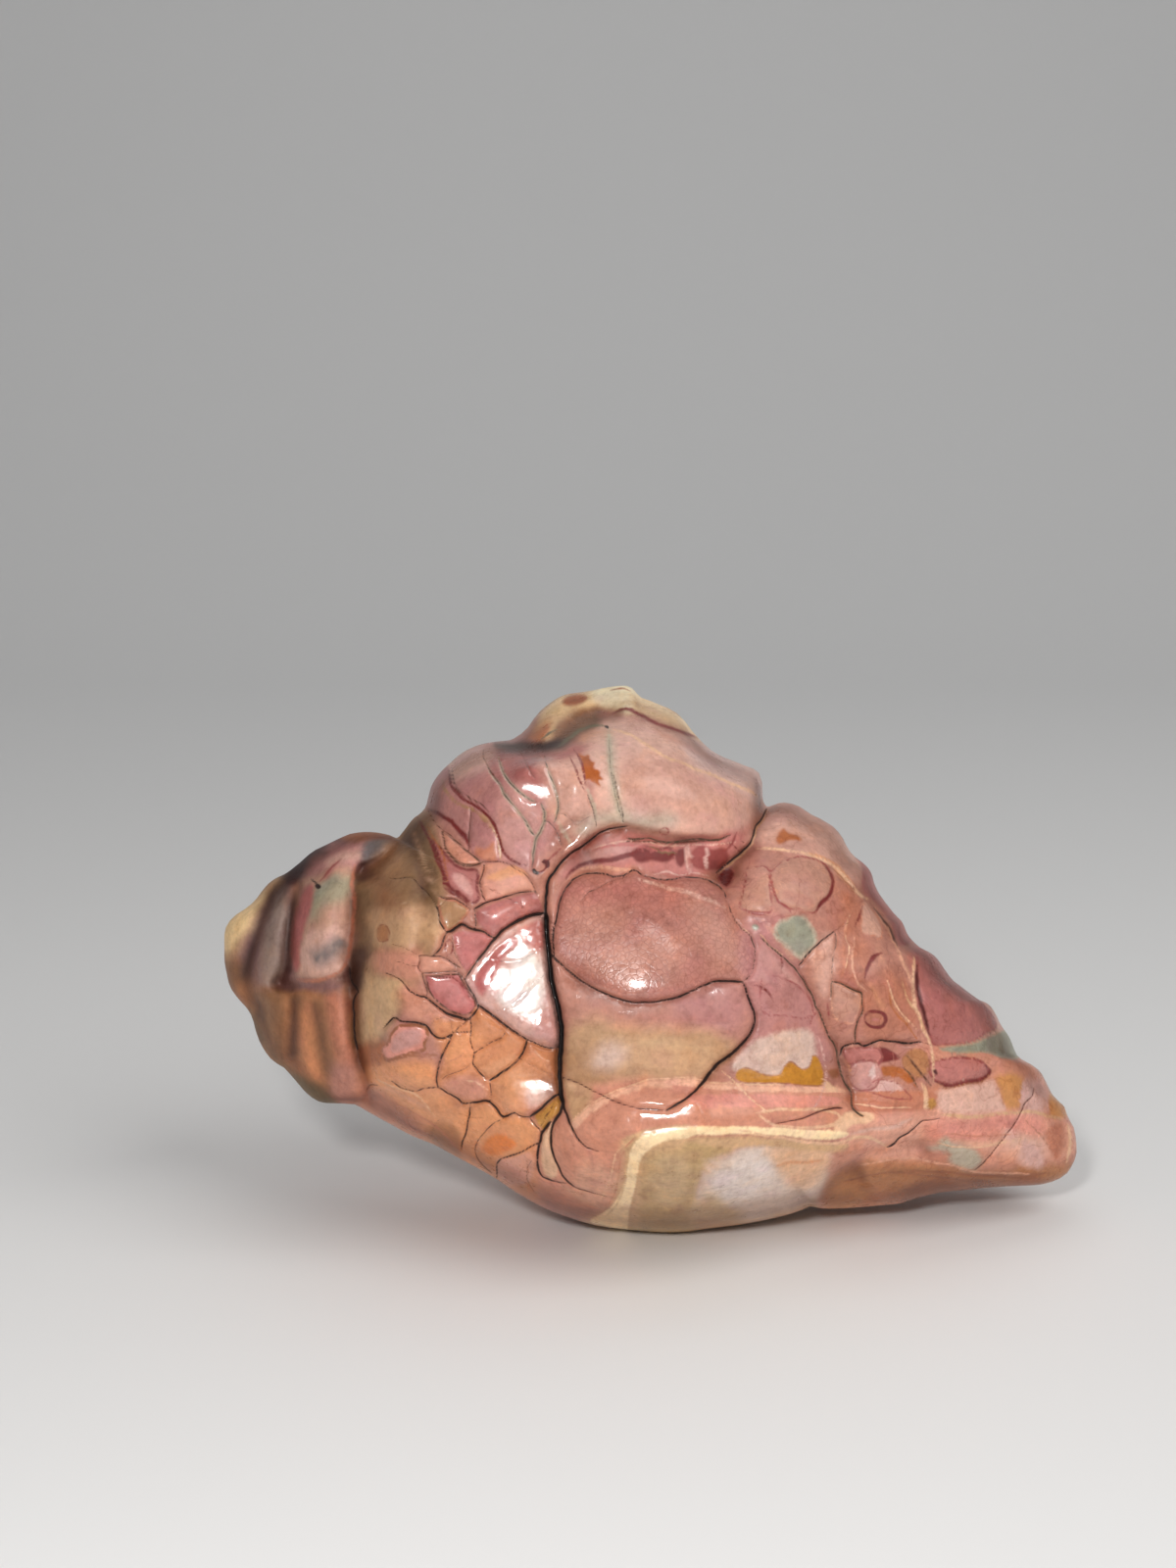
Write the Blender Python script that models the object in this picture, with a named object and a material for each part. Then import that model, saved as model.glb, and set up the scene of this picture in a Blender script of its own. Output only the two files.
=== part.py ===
"""Gobi agate: one polished desert agate pebble, built as one solid.

Metres, +Z up, -Y towards the viewer, the small flat resting spot on Z = 0.
The stone is a divided sphere whose points are moved out to the stone's own outline,
seen from the front, and to its thickness in front of and behind that outline.
Bulges, valleys and steps are then added one by one.
"""

import math

import bmesh
import bpy
import numpy as np

# ---------------------------------------------------------------- sizes
UNIT = 0.0863e-3          # one outline unit at the middle of the stone, in metres
VIEW_DISTANCE = 0.230     # the outline is drawn as seen from this far away
VIEW_TILT = math.radians(11.5)  # and looking down by this much
VIEW_CENTRE = (600.0, 800.0)    # outline units straight ahead of the eye
MIDDLE = (664.0, 996.0)   # outline units: every outline point is in sight of it
HALF_FRONT = 14.0         # mm, from the rim's plane to the front face
HALF_BACK = 13.5          # mm, from the rim's plane to the back
ROUNDNESS = 2.5           # 2 is an ellipse, more is a fuller form
GROUND_OFF = 1.0          # mm taken off the lowest point: the flat resting spot
SEGMENTS = 26             # along each edge of the cube that becomes the sphere

# Outline, clockwise from the left tip, x to the right and y down.
OUTLINE = [
    (229, 966), (229, 953), (232, 943), (240, 934), (251, 927), (260, 919),
    (271, 905), (280, 897), (292, 891), (305, 881), (319, 869), (333, 862),
    (348, 855), (361, 850), (380, 849), (397, 852), (405, 855), (411, 849),
    (421, 836), (434, 824), (437, 814), (440, 803), (445, 793), (452, 785),
    (460, 778), (468, 771), (477, 765), (489, 760), (500, 757), (513, 756),
    (521, 755), (530, 750), (540, 740), (548, 729), (559, 719), (569, 712),
    (580, 708), (600, 705), (620, 701), (635, 700), (643, 701), (648, 705),
    (653, 711), (664, 715), (673, 719), (681, 722), (689, 727), (699, 736),
    (707, 746), (713, 753), (720, 760), (728, 767), (740, 773), (753, 778),
    (762, 781), (769, 785), (775, 790), (777, 798), (778, 808), (779, 817),
    (783, 821), (790, 820), (799, 818), (806, 819), (815, 822), (825, 827),
    (834, 832), (844, 838), (852, 844), (858, 851), (862, 858), (865, 866),
    (870, 873), (879, 880), (886, 886), (890, 893), (893, 903), (898, 913),
    (906, 923), (913, 931), (920, 939), (925, 948), (930, 955), (939, 965),
    (952, 974), (959, 982), (966, 992), (972, 1000), (982, 1008), (993, 1016),
    (1001, 1020), (1007, 1024), (1013, 1031), (1019, 1040), (1026, 1051),
    (1031, 1060), (1035, 1070), (1041, 1080), (1049, 1085), (1057, 1090),
    (1063, 1097), (1069, 1107), (1074, 1116), (1082, 1124), (1087, 1130),
    (1090, 1139), (1095, 1149), (1098, 1160), (1098, 1174), (1097, 1184),
    (1092, 1193), (1084, 1201), (1073, 1206), (1060, 1209), (1047, 1210),
    (1027, 1211), (1000, 1213), (980, 1214), (961, 1215), (944, 1220),
    (926, 1225), (906, 1229), (886, 1231), (866, 1232), (846, 1233),
    (828, 1232), (799, 1241), (762, 1249), (725, 1255), (690, 1258),
    (662, 1258), (640, 1255), (606, 1248), (577, 1240), (560, 1234),
    (540, 1225), (521, 1213), (508, 1204), (493, 1195), (480, 1188),
    (460, 1177), (440, 1167), (420, 1158), (400, 1148), (387, 1141),
    (373, 1134), (361, 1128), (347, 1126), (331, 1126), (321, 1122),
    (312, 1115), (303, 1104), (295, 1095), (287, 1087), (280, 1083),
    (273, 1076), (266, 1065), (261, 1053), (257, 1040), (252, 1029),
    (243, 1018), (235, 1006), (231, 993), (229, 980),
]

# How far the rim's plane bows towards the viewer (+) or away (-), in mm:
# centre x, y, reach x, y, height.
BOW = [
    (255, 980, 110, 190, -7.5),    # the left lobe stands back
    (1060, 1130, 230, 160, -6.5),  # the tail turns away
    (600, 700, 200, 75, -3.5),     # the crest leans back
    (830, 830, 110, 70, -2.0),
    (690, 1255, 260, 60, -2.6),    # the foot is set back under the belly
]
# Bulges (+) and hollows (-) of the front face: the same, and then the turn of
# the long axis in degrees.
FRONT_FORMS = [
    (668, 1030, 125, 90, 0.9, 0),      # the belly
    (690, 1180, 165, 84, 6.2, 0),      # the rounded fold under the belly
    (660, 880, 110, 60, -1.5, 0),      # hollow between the belly and the crest
    (556, 792, 96, 50, 3.2, -12),      # left half of the upper mass
    (720, 803, 80, 45, 2.0, 22),       # its right half
    (430, 960, 42, 110, 1.6, 8),       # shoulder
    (395, 1070, 36, 60, 0.8, 10),
    (330, 935, 26, 55, 1.3, 8),        # left lobe, its panel
    (276, 950, 20, 60, 0.8, 8),        # the rib beside the panel
    (275, 1040, 22, 40, 1.0, 5),       # bulges of the lobe's foot
    (346, 1050, 22, 50, 0.9, -4),
    (810, 905, 60, 50, 0.9, 0),        # right field
    (900, 1000, 40, 75, 0.8, 20),
    (980, 1040, 38, 60, 0.9, 30),      # rose facet towards the tail
    (1000, 1130, 70, 40, 0.9, 5),      # tail
    (590, 732, 60, 22, -0.9, -14),     # hollow under the crest's cap
    (470, 790, 34, 26, 0.8, -30),
    (870, 1090, 60, 45, -1.0, 0),      # dip before the tail
]
FRONT_VALLEYS = [
    (2.4, 24, [(404, 850), (380, 878), (364, 920), (358, 985), (361, 1045), (370, 1100), (388, 1140)]),
    (1.1, 20, [(342, 858), (306, 890), (292, 940), (286, 1000)]),
    (1.2, 22, [(462, 776), (520, 762), (570, 750), (612, 722)]),
    (1.5, 22, [(783, 821), (764, 858), (740, 888)]),
    (0.9, 22, [(745, 900), (770, 958), (815, 995), (845, 1055), (868, 1125)]),
]
# Steps: height in mm, half-width and reach in units, the line, and the side of
# it (+1 right of its direction, y down) that lies lower.
FRONT_STEPS = [
    (1.9, 18, 120, [(815, 1238), (842, 1208), (860, 1190), (903, 1172), (935, 1150), (965, 1138)], 1),
    (0.8, 20, 80, [(640, 846), (590, 866), (560, 930), (566, 1020), (576, 1120)], -1),
]
# The back: broad facets and hollows, all out of sight from the front.
BACK_FORMS = [
    (640, 960, 150, 120, 1.6, 0),
    (520, 1090, 90, 60, 1.4, 20),
    (820, 1090, 110, 60, 1.3, 10),
    (700, 1190, 150, 50, 2.2, 0),      # fullness over the foot
    (430, 950, 60, 70, -0.8, 20),
    (760, 900, 60, 50, -1.2, -30),
    (600, 790, 90, 40, 0.9, -10),
    (960, 1120, 60, 50, -0.8, 0),
    (330, 1010, 60, 60, 0.8, 0),
]
BACK_VALLEYS = [
    (1.2, 30, [(404, 850), (412, 920), (402, 990), (418, 1050), (400, 1150)]),
    (1.3, 28, [(783, 818), (745, 880), (738, 950), (790, 1010), (870, 1050), (960, 1045), (1035, 1068)]),
    (0.8, 26, [(521, 752), (556, 830), (548, 900), (596, 950), (592, 1040)]),
]


# ---------------------------------------------------------------- geometry
def gaussian(x, y, form):
    """A rounded bulge, 1 at its centre."""
    cx, cy, rx, ry = form[:4]
    turn = math.radians(form[5]) if len(form) > 5 else 0.0
    dx, dy = x - cx, y - cy
    along = dx * math.cos(turn) + dy * math.sin(turn)
    across = dy * math.cos(turn) - dx * math.sin(turn)
    return np.exp(-((along / rx) ** 2) - (across / ry) ** 2)


def to_line(x, y, line):
    """Distance to a polyline, the side of it (+1 right of its direction, with
    y down), and a share that is 1 along it and fades to 0 at its two ends."""
    line = np.array(line, float)
    lengths = np.hypot(*(line[1:] - line[:-1]).T)
    total, start = lengths.sum(), 0.0
    best = np.full(x.shape, 1e9)
    side = np.ones(x.shape)
    along = np.zeros(x.shape)
    for (ax, ay), (bx, by), length in zip(line[:-1], line[1:], lengths):
        vx, vy = bx - ax, by - ay
        t = np.clip(((x - ax) * vx + (y - ay) * vy) / length ** 2, 0, 1)
        dx, dy = x - ax - t * vx, y - ay - t * vy
        d = np.hypot(dx, dy)
        nearer = d < best
        best = np.where(nearer, d, best)
        side = np.where(nearer, np.where(vx * dy - vy * dx > 0, 1.0, -1.0), side)
        along = np.where(nearer, (start + t * length) / total, along)
        start += length
    ends = np.clip(np.minimum(along, 1 - along) / 0.25, 0, 1)
    return best, side, ends * ends * (3 - 2 * ends)


def outline_reach(angle):
    """Distance from the middle to the outline in each direction, and the same
    with the small bays and points smoothed away."""
    pts = np.array(OUTLINE, float) - np.array(MIDDLE)
    a = np.arctan2(-pts[:, 1], pts[:, 0])
    r = np.hypot(pts[:, 0], pts[:, 1])
    order = np.argsort(a)
    a, r = a[order], r[order]
    a = np.concatenate([a - 2 * math.pi, a, a + 2 * math.pi])
    r = np.concatenate([r, r, r])
    exact = np.interp(angle, a, r)
    smooth = np.zeros_like(exact)
    total = 0.0
    for k in range(-12, 13):
        weight = math.exp(-((k / 6.0) ** 2))
        smooth += weight * np.interp(angle + math.radians(2.0 * k), a, r)
        total += weight
    return exact, smooth / total


def fullness(x, y):
    """0 on the outline and 1 in the middle, with an upright rounded rim."""
    dx, dy = x - MIDDLE[0], y - MIDDLE[1]
    r = np.hypot(dx, dy)
    exact, smooth = outline_reach(np.arctan2(-dy, dx))
    share = np.clip(r / exact, 0, 1)
    share = np.clip(r / (smooth + (exact - smooth) * share ** 8), 0, 1)
    return np.sqrt(np.clip(1 - share ** ROUNDNESS, 0, None))


def bow(x, y):
    return sum(form[4] * gaussian(x, y, form) for form in BOW)


def carve(x, y, depth, edge, forms, valleys):
    for form in forms:
        depth = depth + edge * form[4] * gaussian(x, y, form)
    for deep, wide, line in valleys:
        d, _, _ = to_line(x, y, line)
        depth = depth - edge * deep * np.exp(-((d / wide) ** 2))
    return depth


def front_depth(x, y):
    """mm towards the viewer."""
    full = fullness(x, y)
    edge = 1 - (1 - full) ** 3          # forms fade out on the very rim
    depth = carve(x, y, HALF_FRONT * full, edge, FRONT_FORMS, FRONT_VALLEYS)
    for high, wide, reach, line, low_side in FRONT_STEPS:
        d, side, ends = to_line(x, y, line)
        s = side * low_side * d
        low = 0.5 * (1 + np.tanh(s / wide)) * np.exp(-np.clip(s, 0, None) / reach)
        depth = depth - edge * ends * high * low
    return bow(x, y) + depth


def back_depth(x, y):
    full = fullness(x, y)
    edge = 1 - (1 - full) ** 3
    return bow(x, y) - carve(x, y, HALF_BACK * full, edge, BACK_FORMS, BACK_VALLEYS)


def place(x, y, depth):
    """Outline units and mm of depth to metres, with the eye at the origin."""
    w = depth * 0.001
    away = VIEW_DISTANCE - w
    right = (x - VIEW_CENTRE[0]) * UNIT * away / VIEW_DISTANCE
    up = (VIEW_CENTRE[1] - y) * UNIT * away / VIEW_DISTANCE
    c, s = math.cos(VIEW_TILT), math.sin(VIEW_TILT)
    return np.stack([right, away * c + up * s, up * c - away * s], axis=-1)


def stone_points(unit_sphere):
    """Moves points of the unit sphere out to the stone's surface."""
    nx, ny, nz = unit_sphere[:, 0], unit_sphere[:, 1], unit_sphere[:, 2]
    angle = np.arctan2(nz, nx)
    reach, _ = outline_reach(angle)
    rho = np.hypot(nx, nz)
    x = MIDDLE[0] + rho * reach * np.cos(angle)
    y = MIDDLE[1] - rho * reach * np.sin(angle)
    depth = np.where(ny <= 0, front_depth(x, y), back_depth(x, y))
    return place(x, y, depth)


def settle(points):
    """Middle of the box over the origin, the resting spot ground flat at Z = 0."""
    low, high = points.min(axis=0), points.max(axis=0)
    middle = (low + high) / 2
    points = points - [middle[0], middle[1], low[2] + GROUND_OFF * 0.001]
    points[:, 2] = np.maximum(points[:, 2], 0.0)
    return points


# ---------------------------------------------------------------- build
for old in list(bpy.data.objects):
    bpy.data.objects.remove(old, do_unlink=True)

collection = bpy.data.collections.new("gobi_agate")
bpy.context.scene.collection.children.link(collection)

# A cube, divided evenly and blown up to a sphere: its side loop is the rim.
bm = bmesh.new()
bmesh.ops.create_cube(bm, size=2.0)
bmesh.ops.subdivide_edges(bm, edges=bm.edges[:], cuts=SEGMENTS - 1, use_grid_fill=True)
sphere = np.tan(np.array([v.co for v in bm.verts], float) * math.pi / 4)
sphere /= np.linalg.norm(sphere, axis=1)[:, None]
for vertex, co in zip(bm.verts, settle(stone_points(sphere))):
    vertex.co = co
bmesh.ops.triangulate(bm, faces=bm.faces[:])
bmesh.ops.recalc_face_normals(bm, faces=bm.faces[:])
mesh = bpy.data.meshes.new("agate")
bm.to_mesh(mesh)
bm.free()
mesh.shade_smooth()

material = bpy.data.materials.new("polished_agate")
material.use_nodes = True
shader = material.node_tree.nodes["Principled BSDF"]
shader.inputs["Base Color"].default_value = (0.50, 0.23, 0.15, 1.0)
shader.inputs["Roughness"].default_value = 0.22
shader.inputs["Metallic"].default_value = 0.0
mesh.materials.append(material)

stone = bpy.data.objects.new("agate", mesh)
collection.objects.link(stone)
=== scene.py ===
"""Gobi agate: the looks of one wind-polished desert agate.

The stone is one closed mesh. It starts as a divided sphere that is moved out to
the stone's outline and thickness, refined along every crack and vein, carved,
and then painted in layers that the material reads as attributes. Distances in
the drawing plane are in outline units (0.0863 mm at the middle of the stone).
"""

import math

import bmesh
import bpy
import numpy as np
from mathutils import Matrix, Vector


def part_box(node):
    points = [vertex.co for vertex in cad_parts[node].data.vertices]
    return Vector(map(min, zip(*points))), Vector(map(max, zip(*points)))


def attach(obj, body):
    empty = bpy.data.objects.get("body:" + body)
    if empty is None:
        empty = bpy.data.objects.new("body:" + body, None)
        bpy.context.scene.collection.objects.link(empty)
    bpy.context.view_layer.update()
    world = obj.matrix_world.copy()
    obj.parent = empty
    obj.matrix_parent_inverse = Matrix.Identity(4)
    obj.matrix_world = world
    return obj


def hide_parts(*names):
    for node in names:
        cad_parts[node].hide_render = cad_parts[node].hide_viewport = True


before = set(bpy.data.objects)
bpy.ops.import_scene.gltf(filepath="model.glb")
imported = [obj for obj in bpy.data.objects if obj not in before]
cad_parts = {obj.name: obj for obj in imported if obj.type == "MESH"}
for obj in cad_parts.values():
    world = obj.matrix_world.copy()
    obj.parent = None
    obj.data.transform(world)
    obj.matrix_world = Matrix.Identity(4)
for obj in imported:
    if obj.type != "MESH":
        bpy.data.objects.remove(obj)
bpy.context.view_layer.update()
np.seterr(all="ignore")

# =====================================================================
# The drawing plane and the stone's own frame
# =====================================================================
UNIT = 0.0863e-3
VIEW_DISTANCE = 0.230
VIEW_TILT = math.radians(11.5)
VIEW_CENTRE = (600.0, 800.0)
MIDDLE = (664.0, 996.0)
HALF_FRONT = 14.0
HALF_BACK = 13.5
ROUNDNESS = 2.5
GROUND_OFF = 1.0
SEGMENTS = 48             # of the cube that becomes the sphere, before refining
MM = UNIT * 1000          # millimetres in one outline unit

# Outline, clockwise from the left tip, x to the right and y down.
OUTLINE = [
    (229, 966), (229, 953), (232, 943), (240, 934), (250.7, 927), (260, 919),
    (270.7, 905), (280, 897), (292, 891), (305, 881), (319, 869), (333, 862),
    (348, 854.7), (361, 850), (380, 849), (397, 852), (405, 855), (411, 849),
    (421, 836), (428, 830.7), (434, 824), (436.7, 814.7), (440, 802.7),
    (445.3, 793.3), (452, 785.3), (460, 778), (468, 770.7), (477.3, 764.7),
    (489, 760), (500, 757.6), (513, 756), (520, 755.3), (529.3, 750.7),
    (540, 740.7), (548, 728.7), (558.7, 719.3), (569.3, 712), (580, 708),
    (600, 705.3), (620, 701.3), (634.7, 699.6), (642.7, 700.7), (648, 705.3),
    (653.3, 711.3), (664, 715.3), (673.3, 719.3), (680, 721.8), (686.7, 724.7),
    (693.3, 730), (700, 737.3), (706, 745.5), (714.7, 755.3), (722.7, 763.3),
    (730.7, 768.7), (740, 773.3), (750.7, 777.3), (760, 781.3), (766.7, 783.3),
    (773.3, 787.3), (777.3, 794.7), (778, 806.7), (778.4, 816), (781, 821.5),
    (784.3, 823.2), (789.3, 821.3), (796, 819), (802.7, 819), (812, 821.3),
    (820, 825.3), (825.3, 830), (833.3, 833.3), (841.3, 838), (849.3, 842.7),
    (854.7, 848), (860, 855.3), (862.7, 861.3), (866.7, 868), (872, 874),
    (880, 880), (886.7, 886.7), (890, 893.3), (892, 901.3), (896, 910),
    (901.3, 918), (908, 926.7), (913.3, 933.3), (920, 940), (922.7, 945.3),
    (926, 953.3), (930.7, 959.3), (938.7, 966.7), (945.3, 970), (952.7, 974.7),
    (958.7, 981.3), (964, 989.3), (972, 1000), (980, 1006), (989.3, 1013.3),
    (1000, 1020.8), (1005.3, 1022.7), (1010.7, 1026.7), (1016, 1034.7),
    (1021.3, 1046), (1029.3, 1057.3), (1033.3, 1066.7), (1037.3, 1076),
    (1042.7, 1081.3), (1050.7, 1085.3), (1058.7, 1090.7), (1064, 1097.3),
    (1068, 1105.3), (1073.3, 1116), (1080, 1123.3), (1086, 1129.3),
    (1088.3, 1136), (1092, 1144), (1096.3, 1152), (1098, 1164),
    (1098.7, 1176), (1094.7, 1188), (1086.7, 1199.3), (1073.3, 1206),
    (1060, 1209), (1040, 1210), (1020, 1211), (1000, 1212.5), (980, 1214.7),
    (960, 1216.7), (940, 1221.3), (921.3, 1227.3), (900, 1230), (876, 1232),
    (853.3, 1233.3), (838, 1233.2), (830, 1231.6), (826.7, 1231), (815, 1236),
    (800, 1240.6), (778, 1245.6), (755.6, 1249.7), (722.4, 1253.9),
    (697.5, 1257.2), (672.7, 1257.5), (639.5, 1254.7), (606, 1250),
    (578, 1241.5), (560, 1234.7), (540, 1224.7), (521.3, 1213.3), (508, 1204),
    (493.3, 1195.3), (480, 1188), (460, 1177.3), (440, 1166.7), (420, 1158.7),
    (400, 1148), (386.7, 1140.7), (373.3, 1133.3), (361.3, 1126.7),
    (346.7, 1126), (330.7, 1125.3), (321.3, 1122), (312, 1114.7),
    (302.7, 1104), (294.7, 1094.7), (286.7, 1086.7), (280, 1084),
    (273.3, 1076.7), (266, 1065), (261.3, 1053), (257.5, 1039), (252, 1029),
    (242.7, 1018.7), (234.7, 1006.7), (231.3, 993), (229, 980),
]

# Large forms, the same as the solid's: centre x, y, reach x, y, mm, turn.
BOW = [
    (255, 980, 110, 190, -7.5), (1060, 1130, 230, 160, -6.5),
    (600, 700, 200, 75, -3.5), (830, 830, 110, 70, -2.0),
    (690, 1255, 260, 60, -2.6),
]
FRONT_FORMS = [
    (668, 1030, 125, 90, 0.9, 0), (690, 1180, 165, 84, 6.2, 0),
    (660, 880, 110, 60, -1.5, 0),
    (556, 792, 96, 50, 3.2, -12), (720, 803, 80, 45, 2.0, 22),
    (430, 960, 42, 110, 1.6, 8), (395, 1070, 36, 60, 0.8, 10),
    (330, 935, 26, 55, 1.3, 8),
    (276, 950, 20, 60, 0.8, 8), (275, 1040, 22, 40, 1.0, 5),
    (346, 1050, 22, 50, 0.9, -4), (810, 905, 60, 50, 0.9, 0),
    (900, 1000, 40, 75, 0.8, 20), (980, 1040, 38, 60, 0.9, 30),
    (1000, 1130, 70, 40, 0.9, 5), (590, 732, 60, 22, -0.9, -14),
    (470, 790, 34, 26, 0.8, -30), (870, 1090, 60, 45, -1.0, 0),
]
FRONT_VALLEYS = [
    (2.4, 24, [(404, 850), (380, 878), (364, 920), (358, 985), (361, 1045), (370, 1100), (388, 1140)]),
    (1.1, 20, [(342, 858), (306, 890), (292, 940), (286, 1000)]),
    (1.2, 22, [(462, 776), (520, 762), (570, 750), (612, 722)]),
    (1.5, 22, [(783, 821), (764, 858), (740, 888)]),
    (0.9, 22, [(745, 900), (770, 958), (815, 995), (845, 1055), (868, 1125)]),
]
FRONT_STEPS = [
    (1.9, 18, 120, [(815, 1238), (842, 1208), (860, 1190), (903, 1172), (935, 1150), (965, 1138)], 1),
    (0.8, 20, 80, [(640, 846), (590, 866), (560, 930), (566, 1020), (576, 1120)], -1),
]
BACK_FORMS = [
    (640, 960, 150, 120, 1.6, 0), (520, 1090, 90, 60, 1.4, 20),
    (820, 1090, 110, 60, 1.3, 10), (700, 1190, 150, 50, 2.2, 0),
    (430, 950, 60, 70, -0.8, 20), (760, 900, 60, 50, -1.2, -30),
    (600, 790, 90, 40, 0.9, -10), (960, 1120, 60, 50, -0.8, 0),
    (330, 1010, 60, 60, 0.8, 0),
]
BACK_VALLEYS = [
    (1.2, 30, [(404, 850), (412, 920), (402, 990), (418, 1050), (400, 1150)]),
    (1.3, 28, [(783, 818), (745, 880), (738, 950), (790, 1010), (870, 1050), (960, 1045), (1035, 1068)]),
    (0.8, 26, [(521, 752), (556, 830), (548, 900), (596, 950), (592, 1040)]),
]

# Finer forms that only the surface has.
FINE_FORMS = [
    (518, 777, 56, 38, 1.7, -6), (585, 846, 22, 12, 0.3, -35),
    (668, 1018, 95, 40, 0.6, -8), (670, 1098, 110, 26, -0.5, 0),
    (690, 940, 60, 34, 0.25, 0), (720, 1205, 90, 22, 0.3, 0),
    (455, 800, 14, 18, 0.35, 20), (410, 905, 16, 40, 0.35, 10),
    (400, 1020, 16, 34, 0.3, 0), (735, 765, 36, 18, 0.3, 25),
    (668, 730, 26, 10, 0.35, 20), (620, 712, 24, 7, 0.3, -8),
    (815, 845, 26, 16, 0.35, 20), (878, 905, 14, 26, 0.3, -38),
    (905, 985, 14, 40, 0.25, -20), (965, 1020, 20, 34, 0.35, -35),
    (1040, 1110, 22, 16, 0.35, 40), (1030, 1160, 45, 20, 0.4, -10),
    (930, 1155, 40, 12, 0.25, -20), (884, 1098, 18, 15, 0.28, 0),
]
# Valleys: mm, half-width, line.
FINE_VALLEYS = [
    (-0.6, 26, [(584, 1180), (600, 1154), (640, 1145), (683, 1143), (740, 1144), (800, 1144), (860, 1141), (900, 1136)]),
    (1.7, 10, [(296, 893), (283, 908), (272, 930), (262, 958), (254, 985), (252, 1008), (258, 1026)]),
    (1.6, 8, [(304, 905), (298, 935), (295, 960), (294, 978), (289, 994), (284, 1004)]),
    (0.6, 6, [(284, 1003), (300, 1006), (320, 1004), (340, 1001), (356, 996)]),
    (0.9, 8, [(262, 1030), (262, 1050), (268, 1068)]),
    (0.9, 11, [(297, 1008), (300, 1030), (299, 1060), (297, 1090)]),
    (0.8, 11, [(324, 1010), (325, 1040), (330, 1070), (333, 1100), (333, 1122)]),
    (0.8, 7, [(362, 985), (359, 1005), (361, 1040), (364, 1070), (371, 1096), (376, 1120)]),
    (0.5, 7, [(363, 884), (360, 915), (359, 950), (354, 980)]),
    (1.0, 9, [(520, 762), (550, 764), (572, 752), (588, 738), (606, 729), (628, 727)]),
    (0.5, 7, [(540, 770), (566, 765), (588, 757), (606, 744)]),
    (0.35, 8, [(646, 728), (672, 738), (700, 748)]),
    (0.8, 10, [(428, 850), (434, 890), (432, 930), (426, 965)]),
    (0.4, 7, [(797, 874), (770, 868), (757, 870)]),
    (0.3, 8, [(868, 888), (890, 925), (905, 958), (918, 990), (932, 1015)]),
    (0.45, 7, [(957, 1108), (985, 1104), (1010, 1095), (1034, 1080)]),
    (0.35, 8, [(870, 1165), (905, 1172), (940, 1170), (985, 1195), (1040, 1200)]),
    (0.45, 10, [(436, 826), (462, 838), (478, 852)]),
    (0.3, 12, [(648, 1190), (642, 1215), (638, 1248)]),
]
# Plates that the wind has ground nearly flat: how flat, softness, slope to the
# right and down in mm per unit, outline.
FACETS = [
    (0.96, 7, 0.0036, 0.0142, [(478, 1001), (493, 977), (508, 961), (527, 948), (553, 938), (555, 967), (560, 1006), (566, 1033), (568, 1062), (552, 1062), (537, 1055), (519, 1043), (502, 1030), (490, 1020)]),
    (0.92, 8, 0.0045, -0.0092, [(530, 784), (554, 776), (576, 788), (580, 816), (564, 834), (540, 830), (526, 808)]),
    (0.95, 5, 0.0210, 0.0290, [(564, 856), (576, 842), (592, 835), (602, 842), (592, 862), (574, 874)]),
    (0.97, 4, 0.0130, 0.0100, [(650, 1122), (684, 1122), (714, 1122), (718, 1154), (684, 1158), (652, 1156)]),
    (0.85, 7, 0.0042, 0.0170, [(514, 1104), (540, 1092), (562, 1101), (567, 1113), (546, 1133), (520, 1133)]),
]
# Steps: mm, half-width, reach, line, lower side (+1 right of it, y down).
FINE_STEPS = [
    (1.1, 2.6, 34, [(752, 850), (728, 853), (694, 853), (660, 846), (636, 842), (610, 850), (589, 866), (572, 882), (562, 896)], -1),
    (1.3, 3.0, 60, [(562, 888), (557, 933), (560, 973), (566, 1017), (573, 1053), (571, 1093), (574, 1124), (588, 1158)], 1),
    (0.85, 2.6, 62, [(565, 977), (585, 994), (610, 1011), (643, 1022), (676, 1021), (706, 1011), (731, 1001), (757, 1002)], 1),
    (0.4, 2.4, 20, [(565, 950), (571, 922), (583, 900), (606, 890.6), (646, 889), (682, 897), (727, 900.5), (747, 933), (768, 962)], -1),
    (0.35, 2.4, 30, [(757, 1002), (768, 1028), (766, 1053), (739, 1081), (716, 1106), (704, 1117)], -1),
    (1.7, 5.0, 90, [(828, 1231), (837, 1216), (852, 1196), (869, 1185), (888, 1178)], 1),
    (0.35, 2.6, 36, [(776, 957), (804, 980), (832, 1027), (856, 1084), (869, 1128), (881, 1139)], -1),
    (0.45, 2.4, 16, [(857, 1077), (865, 1067), (889, 1064), (916, 1063), (940, 1063)], 1),
    (0.7, 3.0, 34, [(783, 822), (770, 844), (765, 861), (740, 883), (731, 891)], -1),
    (1.7, 4.0, 46, [(414, 846), (404, 856), (391, 871), (378, 879), (368, 884), (361, 905)], -1),
    (0.3, 2.4, 20, [(577, 1100), (611, 1116), (642, 1127)], 1),
    (0.45, 2.6, 26, [(402, 1102), (425, 1113), (447, 1110), (461, 1119), (480, 1126), (505, 1127)], 1),
]

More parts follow.
